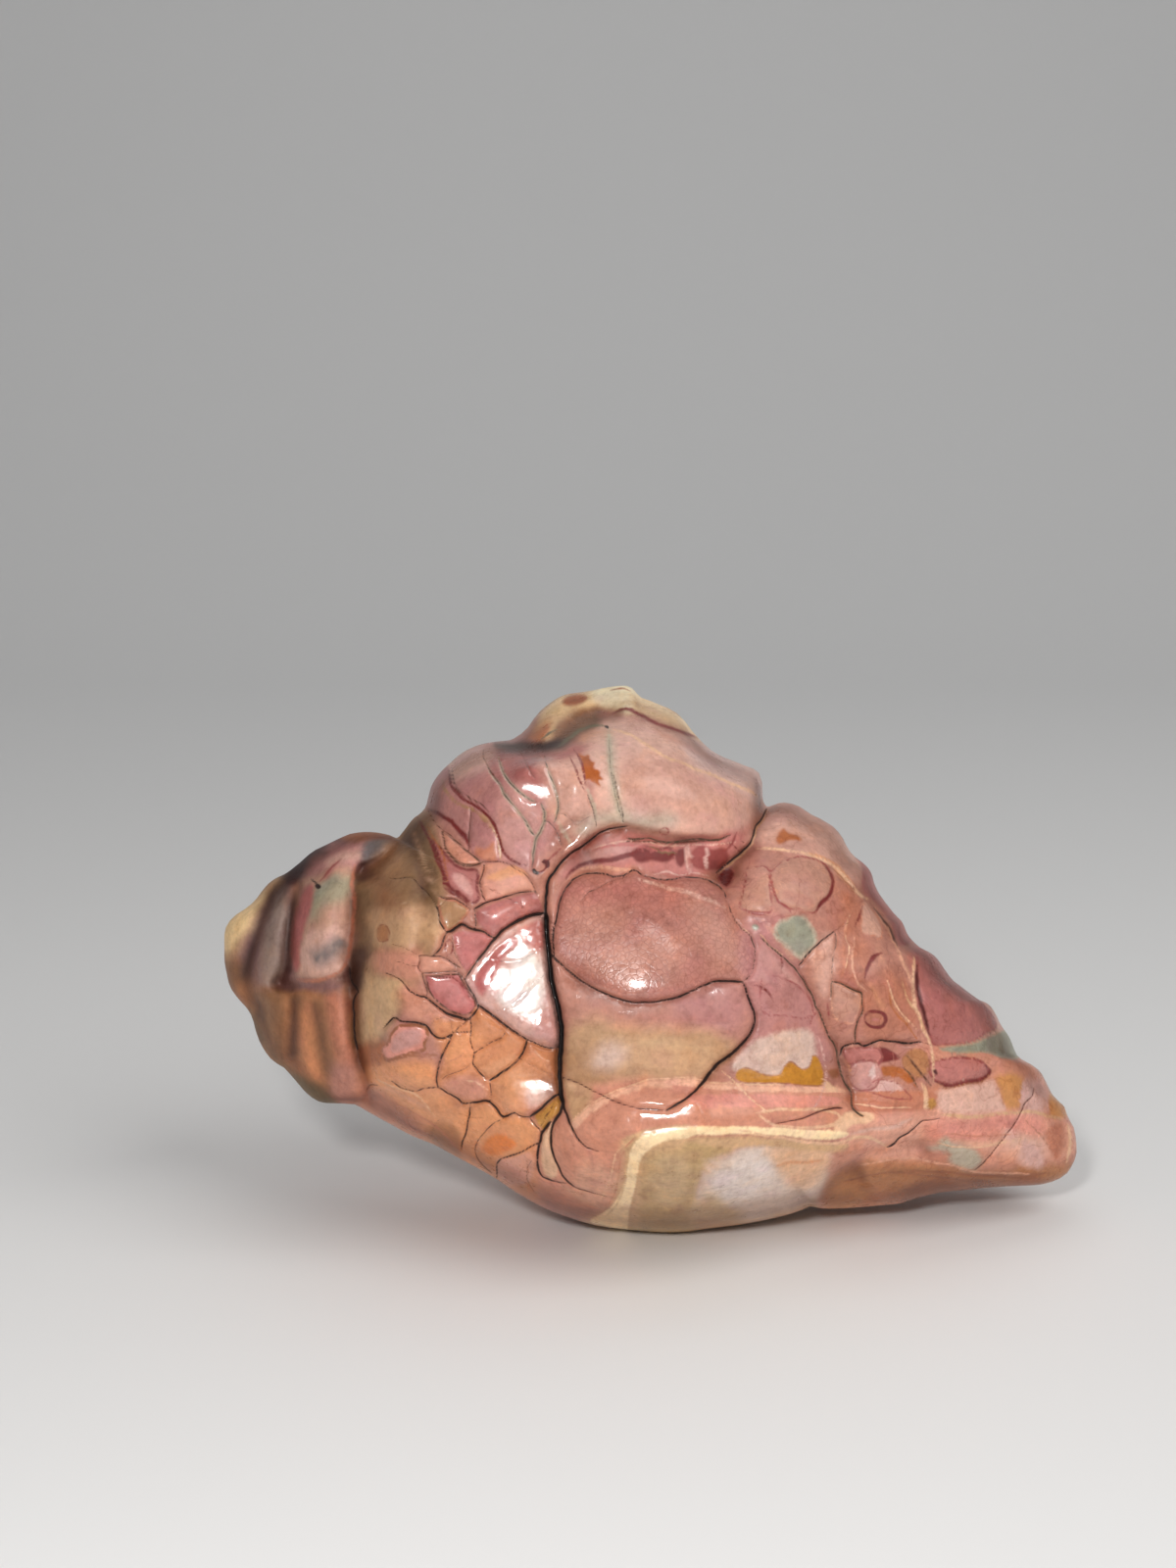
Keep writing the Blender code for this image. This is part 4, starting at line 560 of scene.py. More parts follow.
# Crisp areas, in two layers: colour, softness, outline, and for some the
# colour, width and softness of their rim.
AREAS_1 = [
    # rose plates of the cracked field
    ("rose_m", 1.6, [(486.7, 930.7), (500, 924), (528, 914.7), (544, 910.7), (549, 917), (553, 930), (537, 936), (520, 944), (505, 954.7), (496, 952), (488, 941)]),
    ("rose_p", 1.6, [(462, 953), (473, 950), (493, 953), (502, 959), (495, 968), (485, 981), (476, 990), (467.7, 977), (463.7, 962.7)]),
    ("rose", 1.2, [(435, 995), (446.7, 995.5), (460, 995), (468, 995), (473, 1002.7), (478, 1011), (485.5, 1024), (479.5, 1034), (466.7, 1033.5), (454.7, 1027.5), (444, 1019.5), (439, 1013), (437, 1005)], ("shade", 1.8, 1.0)),
    ("melon", 1.6, [(430, 976), (446.7, 977), (457, 982), (464, 989), (460, 991.5), (433, 991.5), (428.5, 986)]),
    ("mauve_w", 1.6, [(475.5, 1000), (493, 974.7), (506.7, 958.7), (526.7, 944.5), (556, 933.5), (558, 966.7), (563, 1006.7), (569, 1033), (572, 1067), (553, 1066.5), (537, 1059), (518.7, 1046.7), (500, 1033), (487.5, 1024)]),
    # plates above the field
    ("melon", 2.4, [(493, 884), (510, 880.5), (524, 887.5), (538, 896), (547, 910), (536, 909), (515, 914.5), (498.5, 919.5), (492.5, 909), (491, 898)]),
    ("mauve", 1.8, [(484, 825), (493, 828), (502.7, 841), (508, 854.7), (510, 878), (493, 879), (484, 870.7), (480.7, 860), (481, 836)]),
    ("mauve", 1.8, [(457, 780), (459, 792), (462, 803), (470, 811.5), (480, 820), (478.5, 833), (477, 845), (466, 836), (456, 829), (446, 824), (438, 822), (440, 802), (446, 792)]),
    ("salmon", 2.4, [(450, 848), (462, 856), (476, 868), (486, 876.5), (488, 882), (478, 883), (470, 881), (460, 872), (454, 862)], ("olive", 1.6, 1.2)),
    ("tan", 1.6, [(447, 917), (457, 918.5), (466, 919), (478, 929), (472, 938), (468, 943.5), (456, 948.5), (451, 938), (448, 928)], ("salmon_d", 2.4, 1.4)),
    # long sliver
    ("rose_m", 1.2, [(441, 856), (449, 865), (458.7, 876), (466.7, 884), (476, 888), (484, 888), (488, 893), (486.7, 905), (489.5, 915), (485, 921.5), (478.7, 919), (468, 911), (459, 906), (455, 896), (450, 881), (443.7, 865)], ("wine", 3.0, 1.3)),
    # pink inclusion
    ("coral", 1.4, [(388.7, 1070.7), (397, 1063), (398.7, 1056), (406.7, 1048), (416, 1046), (432, 1047), (436, 1054.7), (433, 1065), (433, 1072), (420, 1074.7), (405, 1079), (394.7, 1082)], ("brick", 3.4, 1.0)),
    # the small filled ring of the shoulder
    ("caramel", 2.2, [(385, 952), (387, 945), (391.5, 943), (396.5, 946), (398, 952), (396, 959), (391.5, 961), (387, 959)], ("brick", 1.8, 1.0)),
    # lower left plates
    ("amber", 3.0, [(491, 1172), (497, 1162), (508, 1158), (521, 1162), (526, 1168), (514, 1175), (500, 1178)]),
    ("caramel", 5.0, [(442, 1152), (458, 1149), (468, 1160), (468, 1174), (456, 1172), (444, 1162)]),
    ("golden_l", 2.2, [(546, 1138), (556, 1130), (570, 1120), (572, 1132), (564, 1142), (556, 1152), (550, 1148)]),
    ("cream_p", 2.0, [(553.5, 1160), (560, 1150), (565, 1146), (562.5, 1160), (564, 1178), (569, 1192), (566, 1202), (557, 1199), (553, 1186)]),
    ("peach", 3.0, [(508, 1184), (524, 1180), (540, 1176), (545, 1190), (540, 1206), (524, 1210), (510, 1200)]),
    # partly painted highlight: this pale patch is partly the plate's own pale cloud and partly its white shine painted
    # in
    ("blush", 5.0, [(536, 1112), (548, 1104), (562, 1106), (566, 1118), (552, 1128), (540, 1130)]),
    ("salmon", 5.0, [(452, 1104), (470, 1098), (486, 1100), (496, 1112), (494, 1122), (474, 1122), (456, 1114)]),
    ("orange_l", 4.0, [(490, 1092), (506, 1084), (524, 1076), (530, 1080), (516, 1092), (502, 1098)]),
    # the panel on the left lobe
    ("rose", 3.0, [(309, 908), (320, 903), (317, 925), (311, 945), (307, 968), (304, 990), (298.5, 985), (298.5, 958), (301, 935)]),
    # the fold
    ("salmon", 1.8, [(756, 1108), (800, 1109), (850, 1110), (866, 1122), (868, 1132), (846, 1134), (820, 1141), (790, 1146), (756, 1146), (706, 1147), (672, 1149), (648, 1156), (622, 1166), (610, 1176), (596, 1166), (586, 1150), (604, 1128), (631, 1116), (656, 1108), (690, 1105)]),
    ("shell", 3.4, [(583, 1146), (606, 1126.5), (631, 1113.5), (656, 1105), (681, 1101.5), (706, 1101.5), (722, 1105), (756, 1107.5), (800, 1108), (850, 1109), (862, 1115), (800, 1114), (756, 1113), (722, 1110), (690, 1108), (656, 1111), (631, 1119), (606, 1134), (588, 1152)]),
    ("coral", 5.0, [(700, 1119), (722, 1117), (770, 1117), (820, 1118), (856, 1121), (850, 1128), (820, 1130), (770, 1130), (720, 1130)]),
    ("salmon", 3.0, [(772, 1136), (800, 1132), (836, 1133), (856, 1138), (850, 1148), (820, 1151), (790, 1148)], ("cream_p", 2.6, 1.3)),
    ("sand", 3.6, [(700, 1163), (731, 1160), (764, 1160), (800, 1162), (840, 1167), (866, 1168), (850, 1176), (800, 1172), (770, 1170), (740, 1172)]),
    # pale patch and gold right of the diagonal crack
    ("oat", 4.0, [(747, 1089), (769, 1063), (799, 1053), (825, 1052), (832, 1069), (829, 1088), (795, 1100), (769, 1098)]),
    ("mauve", 2.0, [(780, 993), (800, 998.7), (814.7, 1006.7), (825, 1018.7), (829, 1032), (820, 1040), (800, 1036), (780, 1034), (776, 1010)], ("rose_d", 1.5, 1.2)),
    # right field inclusions
    ("inc", 1.8, [(762.7, 885), (782.7, 885), (784.7, 906.7), (786.7, 928), (777, 931), (765, 930), (754.7, 925), (756, 917), (760, 904)], ("wine_l", 1.8, 1.1)),
    ("inc", 1.8, [(796, 880), (814.7, 874.7), (836, 878.7), (845, 886.7), (850, 898.7), (845, 913), (837, 922.7), (832, 930.7), (820, 931), (814.7, 928), (804, 926.7), (793, 918.7), (789, 906.7), (786.7, 893)], ("wine_l", 2.0, 1.1)),
    ("green", 1.8, [(812, 934.7), (821, 937), (826.7, 944), (832, 952), (832, 961), (822.7, 972), (816, 977), (806.7, 969), (797, 960), (791, 953), (794.7, 941), (802.7, 939)], ("sage", 3.2, 2.2)),
    ("inc", 1.6, [(849, 1001.5), (858.7, 1005), (869, 1010), (878, 1016.5), (878, 1024), (874, 1034.7), (870.7, 1044), (861, 1042.7), (852, 1037), (848.5, 1024), (848.5, 1010.7)], ("salmon_l", 1.6, 1.2)),
    ("inc_l", 1.8, [(880, 921), (893, 930.7), (898.7, 942.7), (898.7, 957), (890.7, 954.7), (880, 952), (878.7, 940)], ("salmon_d", 1.6, 1.2)),
    ("inc_l", 1.6, [(917, 942), (924, 945), (927, 955), (925, 964), (918, 960), (916, 950)], ("rose_d", 1.4, 1.1)),
    ("rose_m", 1.8, [(872, 874), (890, 888), (902, 914), (922, 940), (932, 958), (920, 965), (916, 962), (912, 953), (908, 940), (898.7, 926.7), (888, 917), (881, 912), (880, 900), (878.7, 884)]),
    ("rose_m", 1.6, [(935, 968), (950, 972), (974, 1001), (1003, 1024), (1016, 1046), (1004, 1056), (985, 1064), (956, 1066), (950, 1056), (942, 1032), (937, 1006)], ("rose_d", 2.0, 1.6)),
    ("green", 1.8, [(960, 1070.7), (986.7, 1066.7), (1006.7, 1060), (1020, 1053), (1030, 1050), (1036, 1064), (1040, 1078), (1024, 1078.7), (1006.7, 1073), (980, 1074.7)], ("green_l", 1.6, 1.4)),
    ("rose_l", 1.6, [(950, 1084), (973, 1080), (993, 1080), (1005, 1085), (1009, 1092), (1002.7, 1098.7), (986.7, 1102.7), (966.7, 1105), (954, 1102.7), (949, 1094.7)], ("wine_l", 2.6, 1.1)),
    ("blush", 5.0, [(960, 1112), (1000, 1105), (1013, 1102.7), (1021, 1118.7), (1025, 1133), (1000, 1135), (962, 1135)]),
    ("honey", 5.0, [(1016, 1100), (1033, 1094.7), (1044, 1101), (1048, 1113), (1042.7, 1126.7), (1034.7, 1132), (1026.7, 1130.7), (1021, 1118.7)]),
    ("mauve_w", 7.0, [(1044, 1104), (1058, 1104), (1068, 1116), (1070, 1132), (1052, 1136), (1042, 1130)]),
    ("honey", 2.6, [(1070, 1116), (1080, 1122), (1088, 1130), (1090, 1138), (1077, 1138.7), (1070.7, 1133)]),
    ("sage", 4.5, [(964, 1160), (972, 1166), (986, 1169), (998, 1176), (1002, 1184), (994, 1193), (980, 1191), (968, 1184), (968, 1176), (946, 1172), (956, 1168)]),
    ("mauve_w", 4.5, [(1042.7, 1166.7), (1050.7, 1164), (1064, 1180), (1061, 1192), (1040, 1186.7)]),
    ("salmon_d", 4.0, [(1068, 1152), (1085, 1147.7), (1084, 1174), (1077, 1184), (1070, 1170)]),
    # cell under the black crack
    ("rose_l", 1.6, [(860, 1073), (878.7, 1069), (897, 1070.7), (898.7, 1082.7), (886.7, 1082), (876, 1082.7), (868, 1086.7), (862.7, 1080)], ("rose_d", 1.8, 1.2)),
    ("orange_d", 1.8, [(898, 1089), (912, 1088), (924, 1092), (934, 1102), (926.7, 1106), (916, 1100), (902, 1098)]),
    ("mauve_w", 1.8, [(885, 1110.7), (893, 1104), (904, 1103), (916, 1106.7), (925, 1114.7), (929, 1121), (913, 1120.7), (897, 1117), (886.7, 1114.7)], ("wine_l", 1.4, 1.1)),
    ("caramel", 2.0, [(921, 1080), (932, 1071), (946, 1075), (948, 1092), (938, 1100), (924, 1092)], ("brick", 1.6, 1.0)),
    ("cream_p", 2.0, [(864, 1134), (885, 1134), (893, 1140), (885, 1146), (870, 1148), (860, 1158), (848, 1160), (854, 1146)]),
    ("salmon_d", 2.5, [(868, 1116), (950, 1114), (950, 1128), (930, 1134), (884, 1134), (870, 1130)]),
]
AREAS_2 = [
    ("golden", 1.4, [(751, 1096), (762, 1089), (780, 1096), (794.7, 1096), (800, 1088), (806.7, 1083), (813, 1087), (820, 1091), (827, 1087), (829, 1077), (834.7, 1080), (840, 1091), (840.7, 1101), (837, 1108), (820, 1106.7), (800, 1105), (780, 1104.7), (754.6, 1103.6)], ("brick", 1.2, 1.1)),
    ("cream", 1.7, [(628, 1254), (612, 1250), (603, 1246), (614, 1240), (624, 1231), (632, 1219), (637, 1206), (639.5, 1194), (641, 1184), (643.5, 1174), (648, 1165.5), (655, 1159), (665, 1154.5), (676, 1152), (690, 1150.2), (706, 1149.5), (756, 1149.5), (790, 1150.5), (820, 1153), (850, 1154), (866, 1157), (858, 1162), (830, 1163), (800, 1159.5), (764, 1157.5), (731, 1157.5), (708, 1159.5), (690, 1162), (676, 1165.5), (665, 1170.5), (657, 1178), (652, 1188), (649.5, 1199), (647, 1214), (643.5, 1230), (641, 1246), (639, 1258)]),
    ("mauve_l", 1.8, [(867, 1092), (874, 1084), (886, 1083), (896, 1087), (899, 1098), (894, 1109), (882, 1114), (871, 1110), (866, 1101)], ("rose_d", 1.6, 1.1)),
    ("wine", 1.6, [(897, 1068), (908, 1070.7), (918.7, 1078.7), (917, 1081), (900, 1084), (896, 1082.7), (900, 1077)]),
    ("burnt", 1.6, [(590, 768), (596, 771), (600, 769), (603, 776), (607, 777), (606, 783), (612, 786), (612, 791), (616, 796), (610, 797), (612, 804), (605, 799), (601, 795), (598, 797), (596, 789), (593, 786), (594, 779)]),
    ("orange_d", 2.2, [(798.7, 845), (805, 849), (814.7, 852), (818, 858), (806, 857), (795, 861), (792, 855)]),
    ("orange_d", 2.6, [(574, 715), (583, 709), (595, 708), (600, 713), (590, 719), (578, 720)]),
    ("cream_p", 1.8, [(842, 1102), (856, 1113), (844, 1113)]),
    ("brick", 2.0, [(846, 1092), (855, 1090), (857, 1098), (849, 1100)]),
    # wine blotches of the crescent
    ("wine", 2.2, [(646, 868), (656, 863), (670, 865), (684, 863), (688, 872), (680, 880), (664, 878), (650, 880)]),
    ("wine", 2.2, [(690, 868), (696, 865), (700, 870), (699, 880), (694, 884), (689, 877)]),
    ("wine_l", 2.0, [(706, 868), (716, 863), (728, 866), (738, 865), (744, 874), (736, 886), (722, 888), (710, 886), (704, 877)]),
    ("mauve_w", 1.6, [(699, 864), (702, 862), (704, 870), (703, 880), (706, 890), (702, 888), (700, 878)]),
    ("mauve_w", 1.6, [(720, 864), (723, 872), (722, 884), (719, 888), (719, 876)]),
    ("wine", 2.0, [(732, 893.3), (740, 885.3), (746.7, 884.7), (750, 892), (745.3, 902.7), (740, 905.3), (733.3, 898.7)], ("rose_l", 2.0, 1.4)),
    ("golden_l", 1.8, [(946, 1122), (954, 1121), (956, 1128), (950, 1132), (945, 1128)]),
    ("cream_p", 1.4, [(941, 1106), (945, 1110), (948, 1120), (946, 1132), (942, 1131), (943, 1120)]),
    # pale clouds in the plates
    ("rose", 4.0, [(484, 998), (500, 974), (520, 956), (528, 962), (512, 980), (500, 1004), (492, 1016)]),
    ("rose_l", 3.5, [(528, 950), (554, 940), (556, 966), (548, 970), (536, 962)]),
    ("mauve_l", 4.5, [(548, 1036), (564, 1030), (568, 1062), (554, 1060), (544, 1050)]),
    # partly painted reflection: the whitish cloud on the large plate is partly its own pale colour and partly its white
    # sheen painted in
    ("greyw_l", 5.0, [(520, 1000), (524, 978), (546, 974), (556, 1000), (550, 1030), (528, 1034), (508, 1020)]),
    ("rose_l", 4.0, [(500, 931), (520, 922), (540, 918), (544, 924), (526, 932), (506, 942)]),
    ("mauve_l", 3.4, [(402, 1058), (416, 1050), (429, 1051), (429, 1064), (414, 1071), (400, 1074)]),
    ("mauve_l", 2.6, [(462, 891), (472, 893), (480, 902), (482, 914), (474, 910), (464, 900)]),
    ("salmon_d", 2.6, [(486, 864), (496, 866), (505, 860), (507, 877), (494, 878), (485, 872)]),
    ("orange_l", 2.2, [(496, 896), (510, 888), (526, 884), (538, 893), (526, 894), (508, 898)]),
    ("lilac", 2.6, [(888, 1090), (892, 1090), (892, 1100), (886, 1100)]),
    ("rose_p", 3.0, [(443, 999), (462, 998), (472, 1008), (479, 1022), (466, 1028), (452, 1020), (442, 1010)]),
    ("inc", 2.4, [(804, 886), (822, 884), (836, 892), (838, 904), (820, 906), (804, 898)]),
    ("dusty", 2.6, [(800, 908), (816, 912), (830, 916), (828, 926), (812, 922), (800, 916)]),
]
# Lines: colour, width (or start and end width), softness, points.
LINES_1 = [
    # pale and coloured bands that lie under the finer ones
    ("cream_p", 2.4, 1.4, [(624, 743), (642.7, 750), (653.3, 756.7), (666.7, 764.7), (680, 772.7), (693.3, 778), (706.7, 783.3), (720, 788), (740, 797.3), (753.3, 802.7), (766.7, 808), (777, 815)]),
    ("blush", 3.0, 1.6, [(650, 897), (670, 902), (690, 908), (706, 912), (720, 917), (740, 926)]),
    ("cream_p", 2.8, 1.2, [(770.7, 867), (780, 866), (793, 866), (806.7, 868), (820, 870.7), (833, 874.7), (845, 880), (856, 888), (864, 897), (873, 908), (880, 916), (888, 918.7)]),
    ("brick", 1.5, 1.1, [(845, 884), (856, 892), (866, 902), (876, 912)]),
    ("orange_l", 2.0, 1.2, [(825, 870), (840, 875), (852, 882), (862, 892), (873, 904)]),
    ("salmon_l", 2.6, 1.4, [(890.7, 924), (904, 945), (914.7, 966.7), (922.7, 984), (928, 997), (930.7, 1006.7)]),
    ("cream_p", 2.6, 1.3, [(932, 974.7), (932, 993), (933, 1020), (941, 1046.7), (948, 1060), (952, 1076), (953, 1104)]),
    ("sage", (4.5, 2.5), 2.4, [(621.3, 745), (622, 764.7), (623.3, 782), (626, 803.3), (630.7, 822), (635.3, 838)]),
    ("tan_l", 3.6, 1.6, [(490.7, 825.3), (498.7, 836), (506.7, 849.3), (510.7, 860), (511.3, 876)]),
    ("tan", 3.0, 1.6, [(451, 795), (454, 806), (463, 816), (473, 823), (486, 827), (493, 834), (500, 845)]),
    ("sage", 4.0, 2.6, [(570, 838), (576, 850), (582, 860)]),
    ("sage", 3.4, 2.2, [(600, 806), (606, 822), (608, 836)]),
    ("sage", 2.8, 1.7, [(497.3, 781.3), (502.7, 792), (509.3, 800), (517.3, 813.3), (526.7, 826.7), (537.3, 841.3), (546.7, 855.3)]),
    ("sage", 2.8, 1.7, [(508.7, 773.3), (512, 785.3), (518.7, 797.3), (528, 806.7), (537.3, 813.3), (545.3, 817.3)]),
    ("sage", 3.0, 1.7, [(557.3, 781.3), (560, 789.3), (565.3, 802.7), (568.7, 814.7), (569.3, 825.3), (566.7, 837.3)]),
    ("sage", 3.2, 1.8, [(552, 820), (555.3, 828), (554.7, 838.7), (552, 848), (547.3, 855.3), (545.3, 866.7), (544, 878.7)]),
    ("green_d", 3.0, 1.4, [(568, 762), (580, 754), (590, 746), (600, 741.5), (613, 740.7), (619, 742)]),
    ("salmon_l", 3.2, 1.4, [(588, 887), (602, 884.8), (620, 885), (642.8, 888)]),
    ("cream_p", 2.6, 1.4, [(842, 1152), (854, 1147), (862, 1140)]),
    ("cream_p", 2.4, 1.3, [(752, 1153), (780, 1158), (810, 1164), (840, 1167), (866, 1166)]),
    ("brick", 2.0, 1.2, [(925, 1194), (960, 1196), (1000, 1199), (1040, 1201), (1070, 1196)]),
    ("cream_p", 3.5, 1.6, [(1089, 1147), (1092, 1160), (1091.5, 1174), (1088, 1186)]),
    ("salmon", 3.4, 1.5, [(556, 932), (559, 960), (562, 990), (566, 1010)]),
    ("blush", 3.4, 2.0, [(870, 1158), (890, 1152), (912, 1150), (930, 1142)]),
    ("sand", 2.8, 1.8, [(960, 1137), (990, 1139), (1020, 1137), (1050, 1135), (1085, 1141)]),
    ("cream_p", 3.0, 1.3, [(858, 1166), (873, 1161), (886.7, 1161), (897, 1165), (905, 1171)]),
    ("brick", 3.0, 1.6, [(394.7, 1085), (406.7, 1080), (420, 1077.5), (436, 1077.5), (446.7, 1077)]),
    ("salmon_d", 3.5, 1.8, [(303, 1000), (313, 1001), (330, 999), (345, 992), (354, 980), (359, 950), (361, 920), (360, 900), (362, 882)]),
    ("wine_l", 3.6, 1.6, [(625, 729), (633, 725), (642, 724), (656, 730), (670, 738), (686.7, 743.5), (700, 748.5), (712, 753)]),
    ("brown", 2.4, 1.5, [(892, 926.7), (901, 937), (909, 950.7), (914.7, 965)]),
    ("mauve_w", 2.0, 1.2, [(833, 1056), (838, 1070), (842, 1084), (843.5, 1095), (841, 1109), (835.5, 1123), (829, 1133)]),
    ("orange_l", 2.4, 1.5, [(862, 1080), (868, 1090), (866, 1102), (870, 1112)]),
    # growth lines of the foot
    ("sand", 2.0, 1.3, [(655, 1155), (645, 1166), (640, 1180), (638.5, 1196), (636, 1212), (630, 1228), (618, 1243)]),
    ("salmon_d", 1.4, 1.2, [(648, 1160), (638, 1172), (633, 1186), (631, 1202), (627, 1218), (616, 1236)]),
    ("cream_p", 1.4, 1.2, [(640, 1162), (629, 1176), (625, 1192), (620, 1210), (610, 1226)]),
    ("sand", 1.6, 1.2, [(655, 1196), (650, 1214), (648, 1230), (643, 1252)]),
    ("olive_l", 2.0, 2.0, [(712, 1196), (709, 1212), (708, 1230), (704, 1252)]),
    ("cream_p", 2.4, 1.4, [(790, 1184), (804, 1180), (820, 1178), (838, 1174)]),
    ("orange_l", 2.4, 1.6, [(792, 1190), (806, 1186), (824, 1186), (840, 1184)]),
    # fine lines of the right field
    ("salmon_d", 1.3, 1.0, [(858, 912), (870, 926), (876, 944)]),
    ("cream_p", 1.2, 1.0, [(868, 930), (862, 950), (866, 970), (862, 992)]),
    ("salmon_d", 1.2, 1.0, [(770, 936), (786, 942), (796, 956)]),
    ("cream_p", 1.2, 1.0, [(772, 948), (784, 964), (800, 974)]),
    ("brick", 1.2, 1.0, [(884, 1004), (892, 1014), (896, 1026)]),
    ("sand", 1.3, 1.0, [(920, 1000), (926, 1018), (936, 1036), (946, 1052)]),
    ("salmon_d", 1.4, 1.0, [(964, 1156), (1000, 1160), (1040, 1158)]),
    ("cream_p", 1.3, 1.0, [(956, 1166), (976, 1170), (1004, 1170), (1034, 1164)]),
    ("brick", 1.4, 1.1, [(1046, 1144), (1062, 1158), (1076, 1180)]),
    ("salmon_l", 1.6, 1.2, [(870, 1190), (920, 1182), (956, 1186), (1000, 1196), (1050, 1198)]),
    ("brick", 1.6, 1.2, [(860, 1206), (910, 1196), (960, 1202), (1010, 1206)]),
    # thin orange stripes of the plates low on the left
    ("orange_d", 1.4, 1.0, [(537, 1182), (539, 1192), (537, 1204)]),
    ("orange_d", 1.3, 1.0, [(530, 1184), (531, 1196), (528, 1208)]),
    ("cream_p", 1.6, 1.1, [(470, 1104), (484, 1104), (498, 1112)]),
    ("cream_p", 1.4, 1.1, [(540, 1068), (552, 1078), (566, 1086)]),
    ("salmon_d", 1.4, 1.1, [(452, 1086), (466, 1080), (476, 1072)]),
    ("cream_p", 1.3, 1.1, [(382, 1100), (400, 1108), (426, 1118), (444, 1140)]),
    ("salmon_d", 1.6, 1.2, [(396, 1122), (420, 1134), (448, 1152), (470, 1176)]),
]
